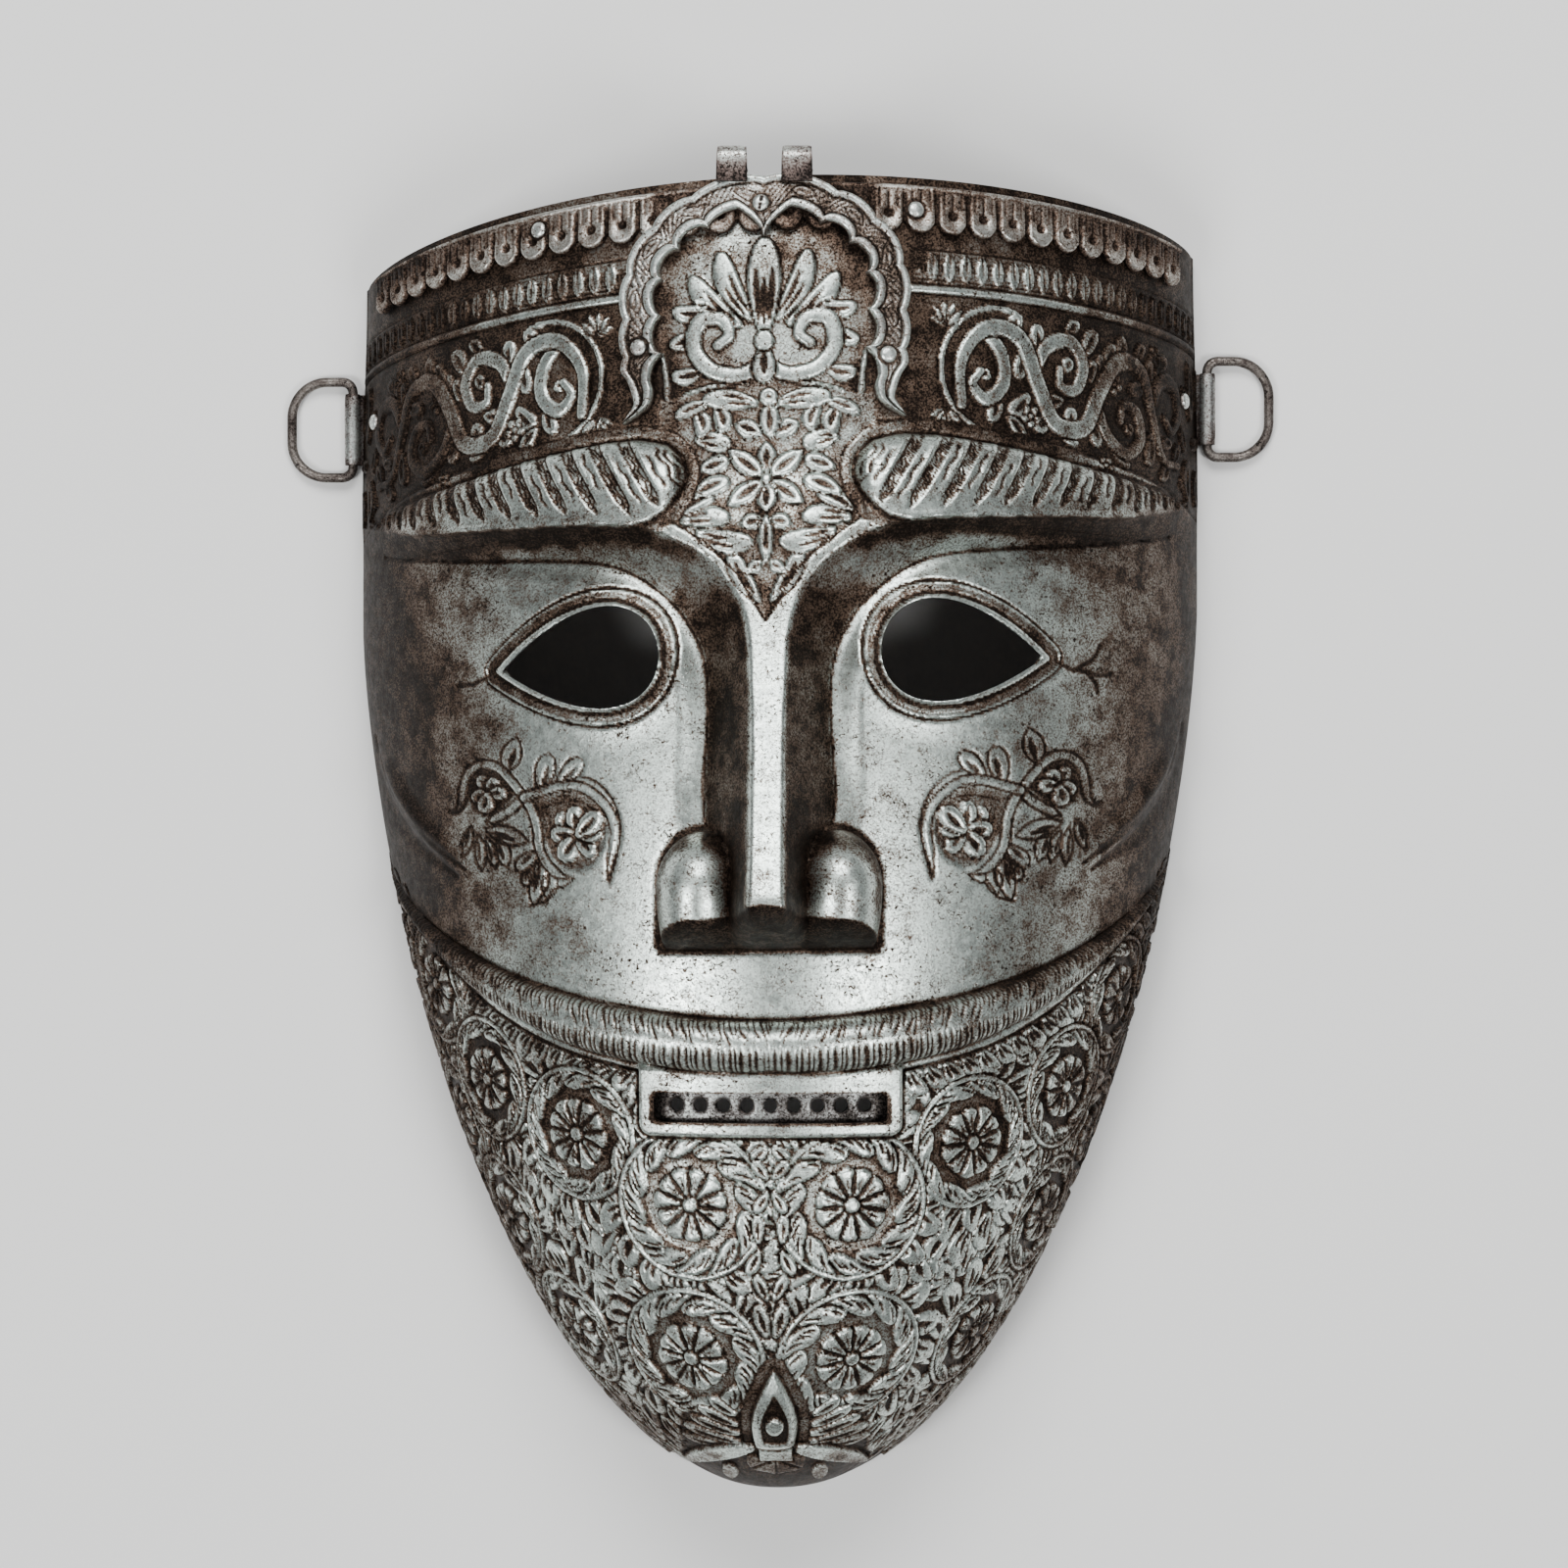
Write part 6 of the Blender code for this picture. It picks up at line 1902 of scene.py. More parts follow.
EYE_MIDDLES = ((-EYE["x"], EYE["y"] - 1.0), (EYE["x"], EYE["y"] + 1.0))
SHELL_PANELS = (
    # name              q0     q1     row step  column step  hole            middles of holes
    ("shell_rim",       0.0,   30.0,  0.41,     0.39,        None,           ()),
    ("shell_forehead",  30.0,  68.0,  0.37,     0.36,        None,           ()),
    ("shell_eyes",      68.0,  108.0, 0.42,     0.40,        eye_distance,   EYE_MIDDLES),
    ("shell_cheeks",    108.0, 157.0, 0.45,     0.44,        None,           ()),
    ("shell_moustache", 157.0, 174.0, 0.50,     0.25,        None,           ()),
    ("shell_mouth",     174.0, 214.0, 0.38,     0.37,        mouth_distance, ((0.0, MOUTH["y"]),)),
    ("shell_beard",     214.0, 250.0, 0.38,     0.37,        None,           ()),
    ("shell_chin",      250.0, Q_END, 0.38,     0.36,        None,           ()),
)


def shell_panel(name, q0, q1, row_step, column_step, hole, centres):
    """One closed sheet of the shell between q0 and q1, with its ornament painted on."""
    rough = 1
    coarse = COARSE // rough
    row_step, column_step = row_step * rough, column_step * rough
    reach = float(reach_at(np.linspace(q0, q1, 9)).max())
    row_count = coarse * max(2, round((q1 - q0) / row_step / coarse)) + 1
    column_count = coarse * round(2 * reach / column_step / coarse) + 1
    outer = Skin(np.linspace(q0, q1, row_count), np.linspace(-1.0, 1.0, column_count))
    inner = Skin(outer.rows[::coarse], outer.shares[::coarse])
    field = Field(outer)
    paint_shell(field)
    field.height *= smooth(1.0, 0.985, np.abs(outer.shares))[None, :]
    sides = ((outer, field.height, field.patina),
             (inner, np.full(inner.q.shape, -SHEET), np.full(inner.q.shape, INSIDE_PATINA_AND_SHADE)))
    layers, values, holes = [], [], []
    for skin, height, patina in sides:
        place = skin.bare + skin.normal * (skin.form + height)[..., None]
        down = (skin.rows - q0) / (q1 - q0)
        layers.append((place, down, (skin.shares + 1.0) / 2))
        values.append(patina)
        if hole:
            front_y = place[..., 1] - section(skin.q, 5) * place[..., 0]
            holes.append(hole(place[..., 0], front_y))
    mesh = closed_sheet(name, layers, values, holes, centres)
    add_piece(name, mesh, "mask", "worn_iron", "mask_shell")


# ---- plates, rivets, hinge and rings ---------------------------------------------------
PLATE_LIFT = GAP + STRIP + GAP          # the arch passes over the strip
TONGUE = {"count": 30, "reach": 96.0, "top": 1.8, "foot": 11.3, "notch": 2.6, "gap": 0.2}
CUSPS = (0.112, 0.175, 0.245, 0.320, 0.390)     # shares of the arch's path, then 0.5
ARCH_EDGE = {"outer": 3.0, "lobe": 1.0, "cusp": 4.6, "foil": 2.1, "centre": 4.2,
             "centre_half": 0.047, "cell": 5.2, "fillet": 1.5}
# A leg below the arch's last cusp, from its tip (0) to the cusp (1).
ARCH_LEG = (
    # part   outer   inner edge, mm inwards of the path
    (0.00,  -3.3,   -2.9),
    (0.12,  -2.1,    0.2),
    (0.28,  -0.9,    2.2),
    (0.45,  -1.4,    2.7),
    (0.62,  -2.2,    2.2),
    (0.82,  -3.6,    2.5),
    (0.93,  -3.4,    3.5),
    (1.00,  -3.0,    4.6),
)
BREATH = {"half_p": 25.5, "half_q": 5.2, "holes": 9, "pitch": 4.62, "radius": 1.3,
          "thickness": 0.8, "lift": -SHEET - 1.3 * GAP}
RIVET = {"radius": 1.6, "height": 0.75}
RIVETS = (
    # name                  p       q      lift                     slot in the head
    ("arch_rivet_top",     -1.8,    6.2,   PLATE_LIFT + PLATE,      1),
    ("arch_rivet_left",   -24.8,   32.6,   PLATE_LIFT + PLATE,      0),
    ("arch_rivet_right",   22.0,   35.4,   PLATE_LIFT + PLATE,      0),
    ("lappet_rivet_left", -46.6,    5.4,   GAP + STRIP,             0),
    ("lappet_rivet_right", 27.7,    6.8,   GAP + STRIP,             0),
    ("strap_rivet_left",  -99.5,   32.8,   GAP,                     0),
    ("strap_rivet_right", 100.5,   33.0,   GAP,                     0),
)


def plate_over_skin(name, p, q, back, front, patina, slot, coarse=2, **holes):
    """A closed plate over the skin, from grids of chart places and its faces' heights."""
    bare, normal = skin_at(p, q)
    down, across = (np.linspace(0.0, 1.0, count) for count in p.shape)
    outer = bare + normal * front[..., None]
    inner = (bare + normal * back[..., None])[::coarse, ::coarse]
    layers = ((outer, down, across), (inner, down[::coarse], across[::coarse]))
    inside = np.full(inner.shape[:2], INSIDE_PATINA_AND_SHADE)
    mesh = closed_sheet(name, layers, (patina, inside), **holes)
    add_piece("fine_" + name, mesh, "mask", slot, name)


def rivet_seats(relief, p, q):
    """Plain seats with a dark ring for the rivets."""
    for _, seat_p, seat_q, _, _ in RIVETS:
        away = np.hypot(p - seat_p, q - seat_q)
        seat = smooth(RIVET["radius"] + 0.7, RIVET["radius"] + 0.4, away)
        relief.level(..., seat, -0.1, 0.9)


def make_strip():
    """The strip under the rim, cut into tongues with a lip, a hole and a chased line."""
    per_tongue = 18
    reach, top, foot = TONGUE["reach"], TONGUE["top"], TONGUE["foot"]
    pitch = 2 * reach / TONGUE["count"]
    radius = pitch / 2 - TONGUE["gap"]
    middle_q = foot - radius
    p = np.linspace(-reach, reach, TONGUE["count"] * per_tongue + 1)
    u = p - (np.floor((p + reach) / pitch - 1e-9) + 0.5) * pitch + reach
    u = np.clip(u, -pitch / 2, pitch / 2)
    lowest = (radius - TONGUE["notch"]) ** 2
    edge_q = middle_q + np.sqrt(np.maximum(radius ** 2 - u ** 2, lowest))
    share = np.linspace(0.0, 1.0, 29)[:, None]
    q = top + share * (edge_q - top)
    p, u = np.broadcast_arrays(p, u, q)[:2]
    relief = Relief(q.shape)
    away = np.where(q < middle_q, np.abs(u), np.hypot(u, q - middle_q)) - radius
    relief.patina[:] = mix(0.42, 0.04, smooth(top + 3.0, foot - 1.0, q))
    lip = smooth(-2.2, -0.9, away) * smooth(0.0, -0.5, away) * (q > middle_q - 2.0)
    relief.height += 0.22 * lip
    between = smooth(-0.30, -0.12, away) * smooth(top + 1.3, top + 1.8, q)
    relief.height -= 0.5 * between
    relief.tint(..., between, 1.0)
    for offset in (-1.75, 1.75):
        upper = np.hypot(u - offset, np.maximum(q - top - 4.4, 0.0))
        relief.engrave(..., upper, 0.2, 0.18, patina=0.75)
    hole_q = mix(top, foot, 0.60)
    relief.sink(..., np.hypot(u, q - hole_q) - 0.95, 0.6)
    line = np.hypot(u, np.maximum(np.maximum(top + 1.6 - q, q - hole_q), 0.0))
    relief.engrave(..., line, 0.24, 0.32)
    relief.emboss(..., np.abs(q - top - 0.5) - 0.45, 0.18, floor=-0.2, moat=0.3, patina=0.1)
    relief.height -= 0.35 * smooth(0.35, 0.0, np.minimum(edge_q - q, q - top))
    rivet_seats(relief, p, q)
    # Painted shade: the strip darkens towards the sides.
    relief.patina += 0.36 * smooth(35.0, 90.0, np.abs(p))
    # Painted shadow where the arch passes over the strip.
    shade_under_arch = smooth(ARCH["half_span"], ARCH["half_span"] - 4.0, np.abs(p - ARCH["x"]))
    relief.patina += 0.45 * shade_under_arch
    front = GAP + STRIP + relief.height
    back = np.full(q.shape, GAP)
    plate_over_skin("lappet_strip", p, q, back, front, relief.patina, "lappet_iron")


def arch_path(count):
    """The arch's middle line in chart places, its direction, and the length along it."""
    leg = ARCH["foot_q"] - ARCH["spring_q"]
    fine = np.linspace(0.0, 1.0, 400)
    left = np.stack([np.full(400, -ARCH["half_span"]), ARCH["foot_q"] - leg * fine], 1)
    turn = np.pi * (1.0 - fine)
    bow = np.stack([ARCH["half_span"] * np.cos(turn),
                    ARCH["spring_q"] - ARCH["rise"] * np.sin(turn)], 1)
    path = np.concatenate([left, bow[1:], (left[::-1] * (-1, 1))[1:]])
    length = np.concatenate([[0.0], np.cumsum(np.linalg.norm(np.diff(path, axis=0), axis=1))])
    at = np.linspace(0.0, length[-1], count)
    points = np.stack([np.interp(at, length, path[:, i]) for i in (0, 1)], 1)
    along = np.gradient(points, axis=0)
    along /= np.linalg.norm(along, axis=1, keepdims=True)
    return points, along, at


def arch_edges(share):
    """How far inwards of the path the arch's outer and inner edges lie."""
    half = np.minimum(share, 1.0 - share)
    nodes = np.array((0.0,) + CUSPS + (0.5,))
    cell = np.clip(np.searchsorted(nodes, half, side="right") - 1, 0, len(nodes) - 2)
    part = (half - nodes[cell]) / (nodes[cell + 1] - nodes[cell])
    bulge = np.sin(np.pi * np.clip(part, 0.0, 1.0))
    outer = -ARCH_EDGE["outer"] - ARCH_EDGE["lobe"] * bulge ** 0.6
    inner = ARCH_EDGE["cusp"] - ARCH_EDGE["foil"] * bulge ** 0.45
    inner += ARCH_EDGE["centre"] * np.clip(1.0 - (0.5 - half) / ARCH_EDGE["centre_half"], 0.0, 1.0)
    legs = [table_curve(ARCH_LEG, k, part) for k in (1, 2)]
    on_leg = cell == 0
    return np.where(on_leg, legs[0], outer), np.where(on_leg, legs[1], inner)


def make_arch():
    """The cusped arch: two smooth fillets with a chased band of leaves between them."""
    columns = 421
    points, along, at = arch_path(columns)
    inwards = np.stack([-along[:, 1], along[:, 0]], 1)
    share = at / at[-1]
    outer, inner = arch_edges(share)
    across = np.linspace(0.0, 1.0, 31)[:, None]
    offset = outer + (inner - outer) * across
    p = points[:, 0] + inwards[:, 0] * offset + ARCH["x"]
    q = np.maximum(points[:, 1] + inwards[:, 1] * offset, 0.4)
    relief = Relief(q.shape)
    from_outer, from_inner = offset - outer, inner - offset
    width = np.broadcast_to(inner - outer, q.shape)
    fillet = ARCH_EDGE["fillet"]
    relief.patina[:] = 0.36
    for away, reach in ((from_outer, fillet), (from_inner, fillet + 0.2)):
        reach = np.minimum(reach, 0.42 * width)
        bar = smooth(reach + 0.12, reach - 0.12, away)
        relief.level(..., bar, 0.34 - 0.3 * (1.5 * away / reach - 0.7) ** 2, 0.0)
        relief.engrave(..., away - reach - 0.22, 0.24, 0.38, patina=0.95)
    in_band = smooth(fillet + 0.3, fillet + 0.5, from_outer)
    in_band *= smooth(fillet + 0.5, fillet + 0.7, from_inner) * smooth(4.6, 5.4, width)
    number = np.floor(at / ARCH_EDGE["cell"])
    # Places in a cell of the band: c along the arch and w across it, from its middle.
    c = np.broadcast_to(at - (number + 0.5) * ARCH_EDGE["cell"], q.shape)
    w = from_outer - fillet - 0.4 - (np.minimum(width, 9.0) - 2 * fillet - 1.0) / 2
    leafy = np.broadcast_to(np.mod(number, 2) == 0, q.shape)
    almond = np.abs(w) - 1.15 * almond_half((c + 2.3) / 4.6)
    on_leaf, between_leaves = leafy & (in_band > 0.5), ~leafy & (in_band > 0.5)
    relief.engrave(..., only(on_leaf, almond), 0.24, 0.3, patina=0.95)
    relief.engrave(..., only(on_leaf & (np.abs(c) < 1.4), w), 0.2, 0.25, patina=0.8)
    stroke = np.abs(np.mod(c + 0.9 * w, 1.25) - 0.62)
    relief.engrave(..., only(between_leaves, stroke), 0.22, 0.28, patina=0.9)
    rivet_seats(relief, p, q)
    edge = np.minimum(from_outer, from_inner)
    relief.height -= 0.4 * smooth(0.4, 0.0, edge)
    back = GAP + (PLATE_LIFT - GAP) * smooth(TONGUE["foot"] + 2.6, TONGUE["foot"] + 0.6, q)
    front = PLATE_LIFT + PLATE + relief.height
    plate_over_skin("cusped_arch", p, q, back, front, relief.patina, "arch_iron")


def make_breath_plate():
    """The strip with a row of holes behind the mouth window."""
    step = 0.33
    half_p, half_q = BREATH["half_p"], BREATH["half_q"]
    p = np.linspace(-half_p, half_p, round(2 * half_p / step) + 1)
    q = float(q_at(MOUTH["y"])) + np.linspace(-half_q, half_q, round(2 * half_q / step) + 1)
    p, q = np.meshgrid(p, q)
    bare, _ = skin_at(p, q)
    aside = bare[..., 1] - MOUTH["y"]
    middles = (np.arange(BREATH["holes"]) - (BREATH["holes"] - 1) / 2) * BREATH["pitch"]
    away = np.min([np.hypot(bare[..., 0] - x, aside) for x in middles], axis=0) - BREATH["radius"]
    # Painted shadow of the window's edges, above, below and at the ends; darker round the holes too.
    patina = 0.42 + 0.5 * smooth(2.0, 3.6, np.abs(aside))
    patina += 0.5 * smooth(19.6, 21.8, np.abs(p)) + 0.4 * smooth(0.5, 0.0, away)
    front = BREATH["lift"] - 0.25 * smooth(0.6, 0.0, away)
    back = np.full(p.shape, BREATH["lift"] - BREATH["thickness"])
    plate_over_skin("breath_plate", p, q, back, front, patina, "breath_plate_iron", coarse=1,
                    holes=(away, away), centres=[(x, MOUTH["y"]) for x in middles],
                    reach=BREATH["pitch"] / 2)


def make_rivet(name, p, q, lift, slotted):
    """A low dome set square on the skin."""
    sides, rings = 32, 10
    turn = np.linspace(0.0, 2 * np.pi, sides, endpoint=False)
    climb = np.linspace(0.0, np.pi / 2, rings, endpoint=False)
    r = RIVET["radius"] * np.concatenate([[1.0], np.cos(climb) ** 0.8])[:, None]
    z = np.concatenate([[-0.25], RIVET["height"] * np.sin(climb)])[:, None]
    u, v = r * np.cos(turn), r * np.sin(turn)
    z = np.broadcast_to(z, u.shape).copy()
    patina = np.broadcast_to(0.55 * smooth(0.4, 0.0, z), u.shape).copy()
    if slotted:
        cut = smooth(0.34, 0.2, np.abs(u * 0.97 - v * 0.2)) * smooth(0.1, 0.5, z)
        z -= 0.35 * cut
        patina = np.maximum(patina, cut)
    flat = np.stack([u, v, z], -1).reshape(-1, 3)
    flat = np.concatenate([flat, [(0.0, 0.0, -0.25), (0.0, 0.0, z[-1].mean() + 0.01)]])
    index = np.arange(u.size).reshape(u.shape)
    after = np.roll(index, -1, axis=1)
    quads = np.stack([index[:-1], after[:-1], after[1:], index[1:]], -1).reshape(-1, 4)
    foot, top = u.size, u.size + 1
    caps = [(b, a, foot) for a, b in zip(index[0], after[0])]
    caps += [(a, b, top) for a, b in zip(index[-1], after[-1])]
    bare, normal = skin_at(np.float64(p), np.float64(q))
    right = np.cross((0.0, 1.0, 0.0), normal)
    right /= np.linalg.norm(right)
    axes = np.stack([right, np.cross(normal, right), normal])
    points = bare + normal * lift + flat @ axes
    patina = np.append(patina.ravel(), (0.5, patina[-1].mean()))
    mesh = build_mesh(name, points, quads, np.array(caps), patina)
    add_piece("fine_" + name, mesh, "mask", "rivet_steel", name)


def bent_sheet(name, path, half_thickness, across, axis, patina, slot, narrow=0.0):
    """A sheet bent along a path of 2-D points, which lies square to the axis 0 (x) or 1 (y)."""
    path = np.asarray(path, float)
    along = np.gradient(path, axis=0)
    along /= np.linalg.norm(along, axis=1, keepdims=True)
    aside = np.stack([-along[:, 1], along[:, 0]], 1)
    low, high = across
    share = np.linspace(-1.0, 1.0, 15)
    waist = 1.0 - narrow * np.sin(np.pi * np.linspace(0.0, 1.0, len(path)))[:, None]
    place = (low + high) / 2 + (high - low) / 2 * share * waist
    thin = half_thickness * (1.0 - 0.45 * np.abs(share) ** 8)
    layers, values = [], []
    front = -1 if axis == 0 else 1
    for way in (front, -front):
        a = path[:, None, 0] + way * aside[:, None, 0] * thin
        b = path[:, None, 1] + way * aside[:, None, 1] * thin
        points = np.stack([place, a, b] if axis == 0 else [a, place, b], -1)
        layers.append((points, np.linspace(0.0, 1.0, len(path)), (share + 1.0) / 2))
        values.append(np.broadcast_to(patina + 0.35 * np.abs(share) ** 10, points.shape[:2]))
    mesh = closed_sheet(name, layers, values)
    add_piece("fine_" + name, mesh, "mask", slot, name, 40.0)


def arc(x, y, radius, start, end, count):
    """Points of an arc round (x, y) between two angles in degrees."""
    angles = np.radians(np.linspace(start, end, count))
    return [(x + radius * math.cos(a), y + radius * math.sin(a)) for a in angles]


HINGE = {"tab": 0.8, "radius": 2.6, "half": 3.0, "roll_points": 40}
HINGE_X = {"left": -7.4, "right": 5.0}


def make_hinge_loops():
    """Two knuckles of the hinge at the rim: a tab on the arch, rolled over backwards."""
    rim = skin_point(np.float64(0.0), np.float64(0.0))
    tab_z = rim[2] + PLATE_LIFT + PLATE + GAP + HINGE["tab"] / 2
    roll = HINGE["radius"] - HINGE["tab"] / 2
    centre_y = rim[1] + GAP + HINGE["radius"]
    path = [(rim[1] - 1.6, tab_z + 0.35), (rim[1] - 0.6, tab_z + 0.25), (rim[1] + 0.4, tab_z + 0.1),
            (centre_y - 0.9, tab_z)]
    path += arc(centre_y, tab_z - roll, roll, 90.0, -185.0, HINGE["roll_points"])
    # Painted shadow on the tab, and painted light on the roll: lightest on top, darker as it turns
    # under.
    roll_shading = np.linspace(0.12, 0.5, HINGE["roll_points"])
    patina = np.concatenate([[0.9, 0.85, 0.8, 0.5], roll_shading])[:, None]
    for side, x in HINGE_X.items():
        bent_sheet("hinge_loop_" + side, path, HINGE["tab"] / 2,
                   (x - HINGE["half"], x + HINGE["half"]), 0, patina, "hinge_iron", narrow=0.10)


RING = {"x": 87.0, "z": 1.75, "half": 9.75, "reach": 12.6, "near_bend": 2.2, "far_bend": 7.2,
        "wire": 1.0}
RING_Y = {"left": 83.2, "right": 87.0}
SLEEVE = {"bore": 1.15, "strap": 0.55, "half": 7.2, "points": 28}


def inner_wall_x(z, y):
    """Half width between the shell's inner walls at height z, beside the rings."""
    q = np.interp(-y, -column(SECTIONS, 3), SECTION_Q)
    z_mid, z_edge = float(section(q, 2)), float(section(q, 4))
    turn = math.acos(((z - z_edge) / (z_mid - z_edge)) ** (1.0 / SECTION_POWER))
    return float(rear_half_width(y)) * math.sin(turn) - 1.1 * SHEET


def make_ring_strap(side_name, side):
    """A strap riveted inside the shell, led under its edge and folded round the ring."""
    middle = SLEEVE["bore"] + SLEEVE["strap"] / 2
    floor_z = RING["z"] - middle
    y = RING_Y[side_name]
    wall = [(inner_wall_x(z, y) - GAP - SLEEVE["strap"], z) for z in (16.0, 11.0, 6.5, 3.0)]
    foot_x = wall[-1][0] + 0.5
    path = wall + [(foot_x, 1.4), (foot_x + 0.5, floor_z + 0.2), (foot_x + 1.3, floor_z)]
    path += [(RING["x"] - 0.8, floor_z)]
    count = SLEEVE["points"]
    path += arc(RING["x"], RING["z"], middle, -90.0, 160.0, count)
    patina = np.full((len(path), 1), 0.55)
    # Painted shade and light on the fold round the ring: darkest underneath, lightest near its top.
    patina[-count:, 0] = np.interp(np.linspace(0.0, 1.0, count), (0.0, 0.5, 0.8, 1.0),
                                   (0.6, 0.25, 0.05, 0.3))
    path = [(side * x, z) for x, z in path]
    bent_sheet("ring_strap_" + side_name, path, SLEEVE["strap"] / 2,
               (y - SLEEVE["half"], y + SLEEVE["half"]), 1, patina, "strap_iron")


def ring_path():
    """The ring's middle line, in its own plane: x away from the axis, y along it."""
    half, reach = RING["half"], RING["reach"]
    near, far = RING["near_bend"], RING["far_bend"]
    path = [(0.0, y) for y in np.linspace(near - half, half - near, 17)[1:-1]]
    path += arc(near, half - near, near, 180.0, 90.0, 9)
    path += arc(reach - far, half - far, far, 90.0, 0.0, 19)
    path += arc(reach - far, far - half, far, 0.0, -90.0, 19)
    path += arc(near, near - half, near, -90.0, -180.0, 9)
    return np.array(path)


def make_ring(side_name, side):
    """A ring lying down: its far bar drops from the sleeve to the floor."""
    path = ring_path()
    before, after = np.roll(path, 1, axis=0), np.roll(path, -1, axis=0)
    along = after - before
    along /= np.linalg.norm(along, axis=1, keepdims=True)
    turn = np.linspace(0.0, 2 * np.pi, 16, endpoint=False)
    place = np.arange(len(path))[:, None]
    wire = RING["wire"] * (1.0 - 0.02 * (1.0 + np.sin(0.55 * place + 0.8)))
    out = wire * np.cos(turn)
    x = path[:, None, 0] + along[:, None, 1] * out
    y = path[:, None, 1] - along[:, None, 0] * out
    z = wire * np.sin(turn)
    drop = math.asin((RING["z"] - RING["wire"]) / RING["reach"])
    c, s = math.cos(drop), math.sin(drop)
    points = np.stack([side * (RING["x"] + x * c + z * s), RING_Y[side_name] + y,
                       RING["z"] - x * s + z * c], -1).reshape(-1, 3)
    index = np.arange(x.size).reshape(x.shape)
    down, right = np.roll(index, -1, axis=0), np.roll(index, -1, axis=1)
    quads = np.stack([index, down, np.roll(down, -1, axis=1), right], -1).reshape(-1, 4)
    # The ring on the other side is a mirror image, so its faces are turned round.
    facing_out = quads if side == 1 else quads[:, ::-1]
    # Painted shade: the wire's underside is darker.
    patina = np.broadcast_to(0.35 + 0.3 * (np.sin(turn) < -0.3), x.shape)
    name = "strap_ring_" + side_name
    mesh = build_mesh(name, points, facing_out, NO_TRIANGLES, patina.ravel())
    add_piece("fine_" + name, mesh, side_name + "_ring", "ring_iron", name)


# ---- finishes -------------------------------------------------------------------------
def node(tree, kind, **settings):
    """A new shader node with these settings."""
    made = tree.nodes.new(kind)
    for key, value in settings.items():
        setattr(made, key, value)
    return made


FINISHES = (
    # name                 bright                 middle                dark                   rough
    ("worn_iron",          (0.615, 0.69, 0.645),  (0.25, 0.265, 0.245), (0.053, 0.035, 0.025), 0.33),
    ("lappet_iron",        (0.55, 0.55, 0.51),    (0.25, 0.22, 0.19),   (0.058, 0.038, 0.028), 0.38),
    ("arch_iron",          (0.62, 0.69, 0.655),   (0.33, 0.32, 0.30),   (0.066, 0.048, 0.037), 0.34),
    ("breath_plate_iron",  (0.435, 0.49, 0.465),  (0.21, 0.205, 0.20),  (0.035, 0.030, 0.027), 0.40),
    ("rivet_steel",        (0.71, 0.77, 0.735),   (0.42, 0.42, 0.40),   (0.10, 0.08, 0.07),    0.34),
    ("hinge_iron",         (0.52, 0.55, 0.52),    (0.27, 0.25, 0.23),   (0.06, 0.045, 0.04),   0.36),
    ("strap_iron",         (0.50, 0.53, 0.51),    (0.25, 0.24, 0.23),   (0.06, 0.045, 0.04),   0.36),
    ("ring_iron",          (0.24, 0.22, 0.20),    (0.12, 0.105, 0.095), (0.035, 0.028, 0.025), 0.42),
)
METALLIC = 0.92
BUMP = {"strength": 0.35, "depth": 0.12}


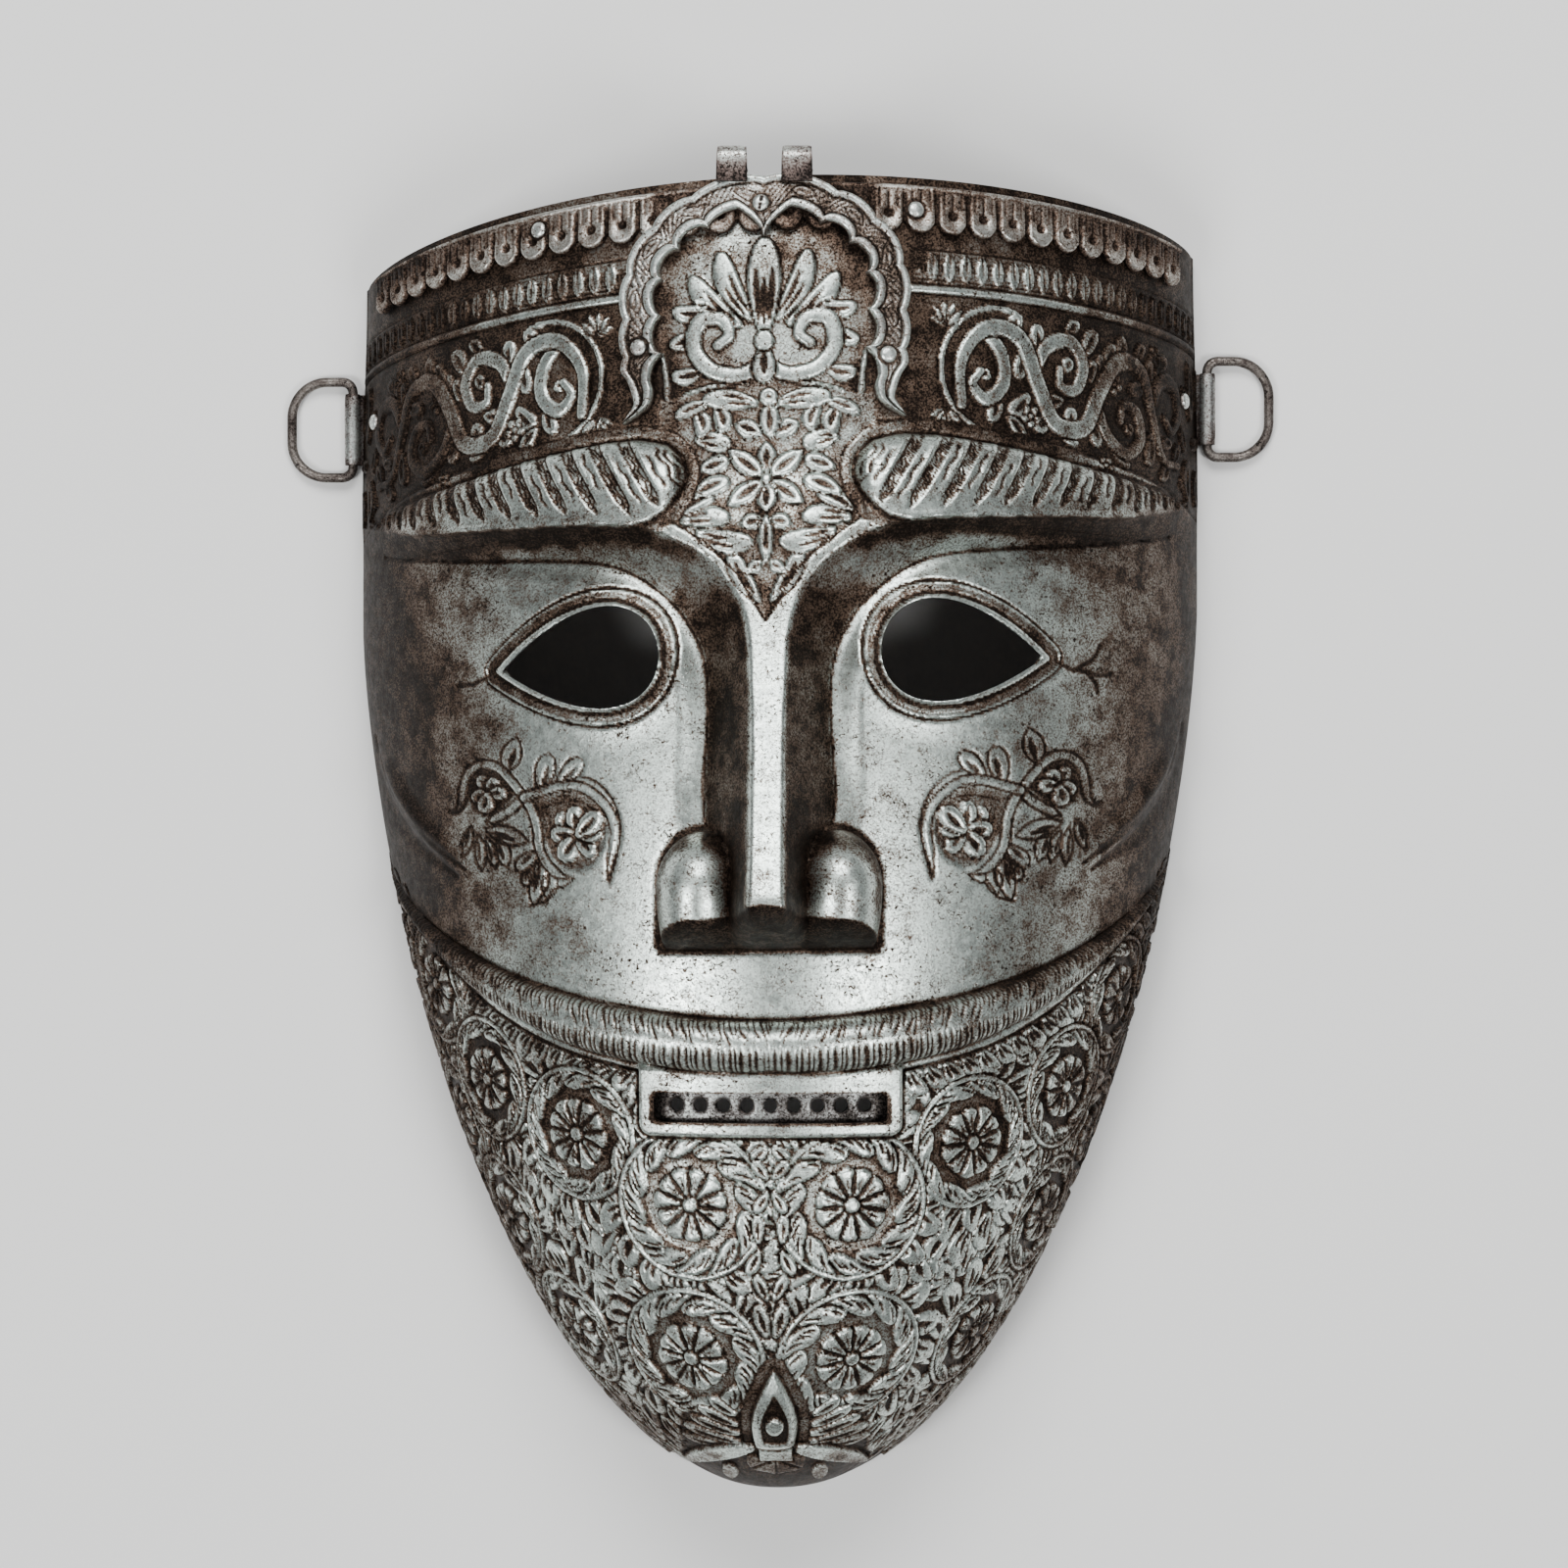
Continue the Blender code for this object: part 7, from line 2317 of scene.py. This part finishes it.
def iron(name, bright, middle, dark, roughness):
    """Chased iron: rubbed bright, and brown-black where the patina attribute (in places painted
    shade) is high.
    """
    surface = bpy.data.materials.new(name)
    surface.use_nodes = True
    tree = surface.node_tree
    link = tree.links.new
    shader = tree.nodes["Principled BSDF"]
    shader.inputs["Metallic"].default_value = METALLIC
    place = node(tree, "ShaderNodeTexCoord")
    patina = node(tree, "ShaderNodeAttribute", attribute_name="patina")

    def noise(scale, detail, rough=0.55):
        made = node(tree, "ShaderNodeTexNoise")
        made.inputs["Scale"].default_value = scale
        made.inputs["Detail"].default_value = detail
        made.inputs["Roughness"].default_value = rough
        link(place.outputs["Object"], made.inputs["Vector"])
        return made.outputs["Fac"]

    def ranged(source, low, high, to_low, to_high):
        made = node(tree, "ShaderNodeMapRange", interpolation_type="SMOOTHSTEP")
        for key, value in (("From Min", low), ("From Max", high), ("To Min", to_low),
                           ("To Max", to_high)):
            made.inputs[key].default_value = value
        link(source, made.inputs["Value"])
        return made.outputs["Result"]

    def maths(operation, a, b):
        made = node(tree, "ShaderNodeMath", operation=operation, use_clamp=operation == "ADD")
        for socket, value in zip(made.inputs, (a, b)):
            if isinstance(value, float):
                socket.default_value = value
            else:
                link(value, socket)
        return made.outputs["Value"]

    cloud = ranged(noise(38.0, 4.0), 0.35, 0.72, -0.10, 0.22)
    blotch = ranged(noise(210.0, 5.0, 0.6), 0.42, 0.70, -0.10, 0.24)
    crowd = ranged(noise(150.0, 3.0), 0.40, 0.64, 0.35, 1.25)
    speck = maths("MULTIPLY", ranged(noise(1400.0, 3.0, 0.75), 0.53, 0.66, 0.0, 0.72), crowd)
    grain = ranged(noise(2400.0, 2.0, 0.8), 0.42, 0.62, -0.12, 0.26)
    grime = maths("ADD", maths("ADD", patina.outputs["Fac"], cloud), blotch)
    grime = maths("ADD", maths("ADD", grime, grain), speck)
    ramp = node(tree, "ShaderNodeValToRGB")
    brown = tuple(2.1 * part for part in dark)
    # The last stop is near black: it gives the painted shadow under the nose, and the darkest cuts.
    stops = ((0.0, bright), (0.36, middle), (0.62, brown), (0.84, dark),
             (1.0, tuple(0.14 * part for part in dark)))
    while len(ramp.color_ramp.elements) < len(stops):
        ramp.color_ramp.elements.new(0.5)
    for element, (at, colour) in zip(ramp.color_ramp.elements, stops):
        element.position = at
        element.color = (*colour, 1.0)
    link(grime, ramp.inputs["Fac"])
    link(ramp.outputs["Color"], shader.inputs["Base Color"])
    scratch = ranged(noise(520.0, 3.0), 0.3, 0.7, -0.05, 0.07)
    rough = maths("ADD", ranged(grime, 0.1, 0.9, roughness, roughness + 0.26), scratch)
    link(rough, shader.inputs["Roughness"])
    bumps = node(tree, "ShaderNodeBump")
    bumps.inputs["Strength"].default_value = BUMP["strength"]
    bumps.inputs["Distance"].default_value = BUMP["depth"] * MM
    link(maths("ADD", noise(900.0, 4.0, 0.65), speck), bumps.inputs["Height"])
    link(bumps.outputs["Normal"], shader.inputs["Normal"])
    return surface


FINISH = {name: iron(name, *looks) for name, *looks in FINISHES}


# ---- camera and light -------------------------------------------------------------------
CAMERA_HEIGHT = 850.0
CAMERA_YAW = 1.5          # degrees that the camera stands to the right of square
CAMERA_TARGET = (1.0, 10.9, 0.0)
VIEW_WIDTH = 320.0        # what the camera sees at the floor
SENSOR = 36.0


def make_camera():
    """A camera above the mask, a little to the right of square."""
    yaw = math.radians(CAMERA_YAW)
    back = Vector((math.sin(yaw), 0.0, math.cos(yaw)))
    data = bpy.data.cameras.new("camera")
    data.sensor_width = SENSOR
    data.lens = SENSOR * CAMERA_HEIGHT / VIEW_WIDTH
    data.clip_start, data.clip_end = 0.05, 20.0
    camera = bpy.data.objects.new("camera", data)
    bpy.context.scene.collection.objects.link(camera)
    right = Vector((0.0, 1.0, 0.0)).cross(back).normalized()
    up = back.cross(right)
    turned = Matrix((right, up, back)).transposed().to_4x4()
    turned.translation = (Vector(CAMERA_TARGET) + back * CAMERA_HEIGHT) * MM
    camera.matrix_world = turned
    bpy.context.scene.camera = camera


# The studio is in metres and watts.
LIGHTS = (
    # name         x      y      z     width  length  power
    ("left box",  -0.66, -0.34,  1.15,  0.30,  0.50,  12.0),
    ("right box",  0.66, -0.34,  1.15,  0.30,  0.50,  10.0),
    ("top box",    0.0,   0.95,  1.00,  0.90,  0.60,  20.0),
    ("foot box",   0.0,  -0.95,  0.95,  0.70,  0.30,   1.6),
)
LIGHT_TARGET = (0.0, 0.0, 0.04)
SURROUND = {"colour": (0.82, 0.85, 0.88, 1.0), "strength": 0.14}
FLOOR = {"half": 1.5, "z": -0.0002, "colour": (0.78, 0.78, 0.77, 1.0), "roughness": 0.9}


def make_light(name, x, y, z, width, length, power):
    """A soft box at a place, turned to the mask."""
    data = bpy.data.lights.new(name, "AREA")
    data.shape = "RECTANGLE"
    data.size, data.size_y = width, length
    data.energy = power
    light = bpy.data.objects.new(name, data)
    bpy.context.scene.collection.objects.link(light)
    light.location = (x, y, z)
    towards = Vector((x, y, z)) - Vector(LIGHT_TARGET)
    light.rotation_euler = towards.to_track_quat("Z", "Y").to_euler()


def make_studio():
    """A pale floor, a dim pale surround and soft light from above."""
    world = bpy.data.worlds.new("surround")
    world.use_nodes = True
    background = world.node_tree.nodes["Background"]
    background.inputs["Color"].default_value = SURROUND["colour"]
    background.inputs["Strength"].default_value = SURROUND["strength"]
    bpy.context.scene.world = world
    mesh = bpy.data.meshes.new("floor")
    half = FLOOR["half"]
    corners = [(-half, -half, 0), (half, -half, 0), (half, half, 0), (-half, half, 0)]
    mesh.from_pydata(corners, [], [(0, 1, 2, 3)])
    paper = bpy.data.materials.new("paper")
    paper.use_nodes = True
    shader = paper.node_tree.nodes["Principled BSDF"]
    shader.inputs["Base Color"].default_value = FLOOR["colour"]
    shader.inputs["Roughness"].default_value = FLOOR["roughness"]
    mesh.materials.append(paper)
    floor = bpy.data.objects.new("floor", mesh)
    floor.location.z = FLOOR["z"]
    bpy.context.scene.collection.objects.link(floor)
    for light in LIGHTS:
        make_light(*light)


make_camera()
make_studio()
for panel in SHELL_PANELS:
    shell_panel(*panel)
make_strip()
make_arch()
make_breath_plate()
for rivet in RIVETS:
    make_rivet(*rivet)
make_hinge_loops()
for side_name, side in (("left", -1), ("right", 1)):
    make_ring_strap(side_name, side)
    make_ring(side_name, side)
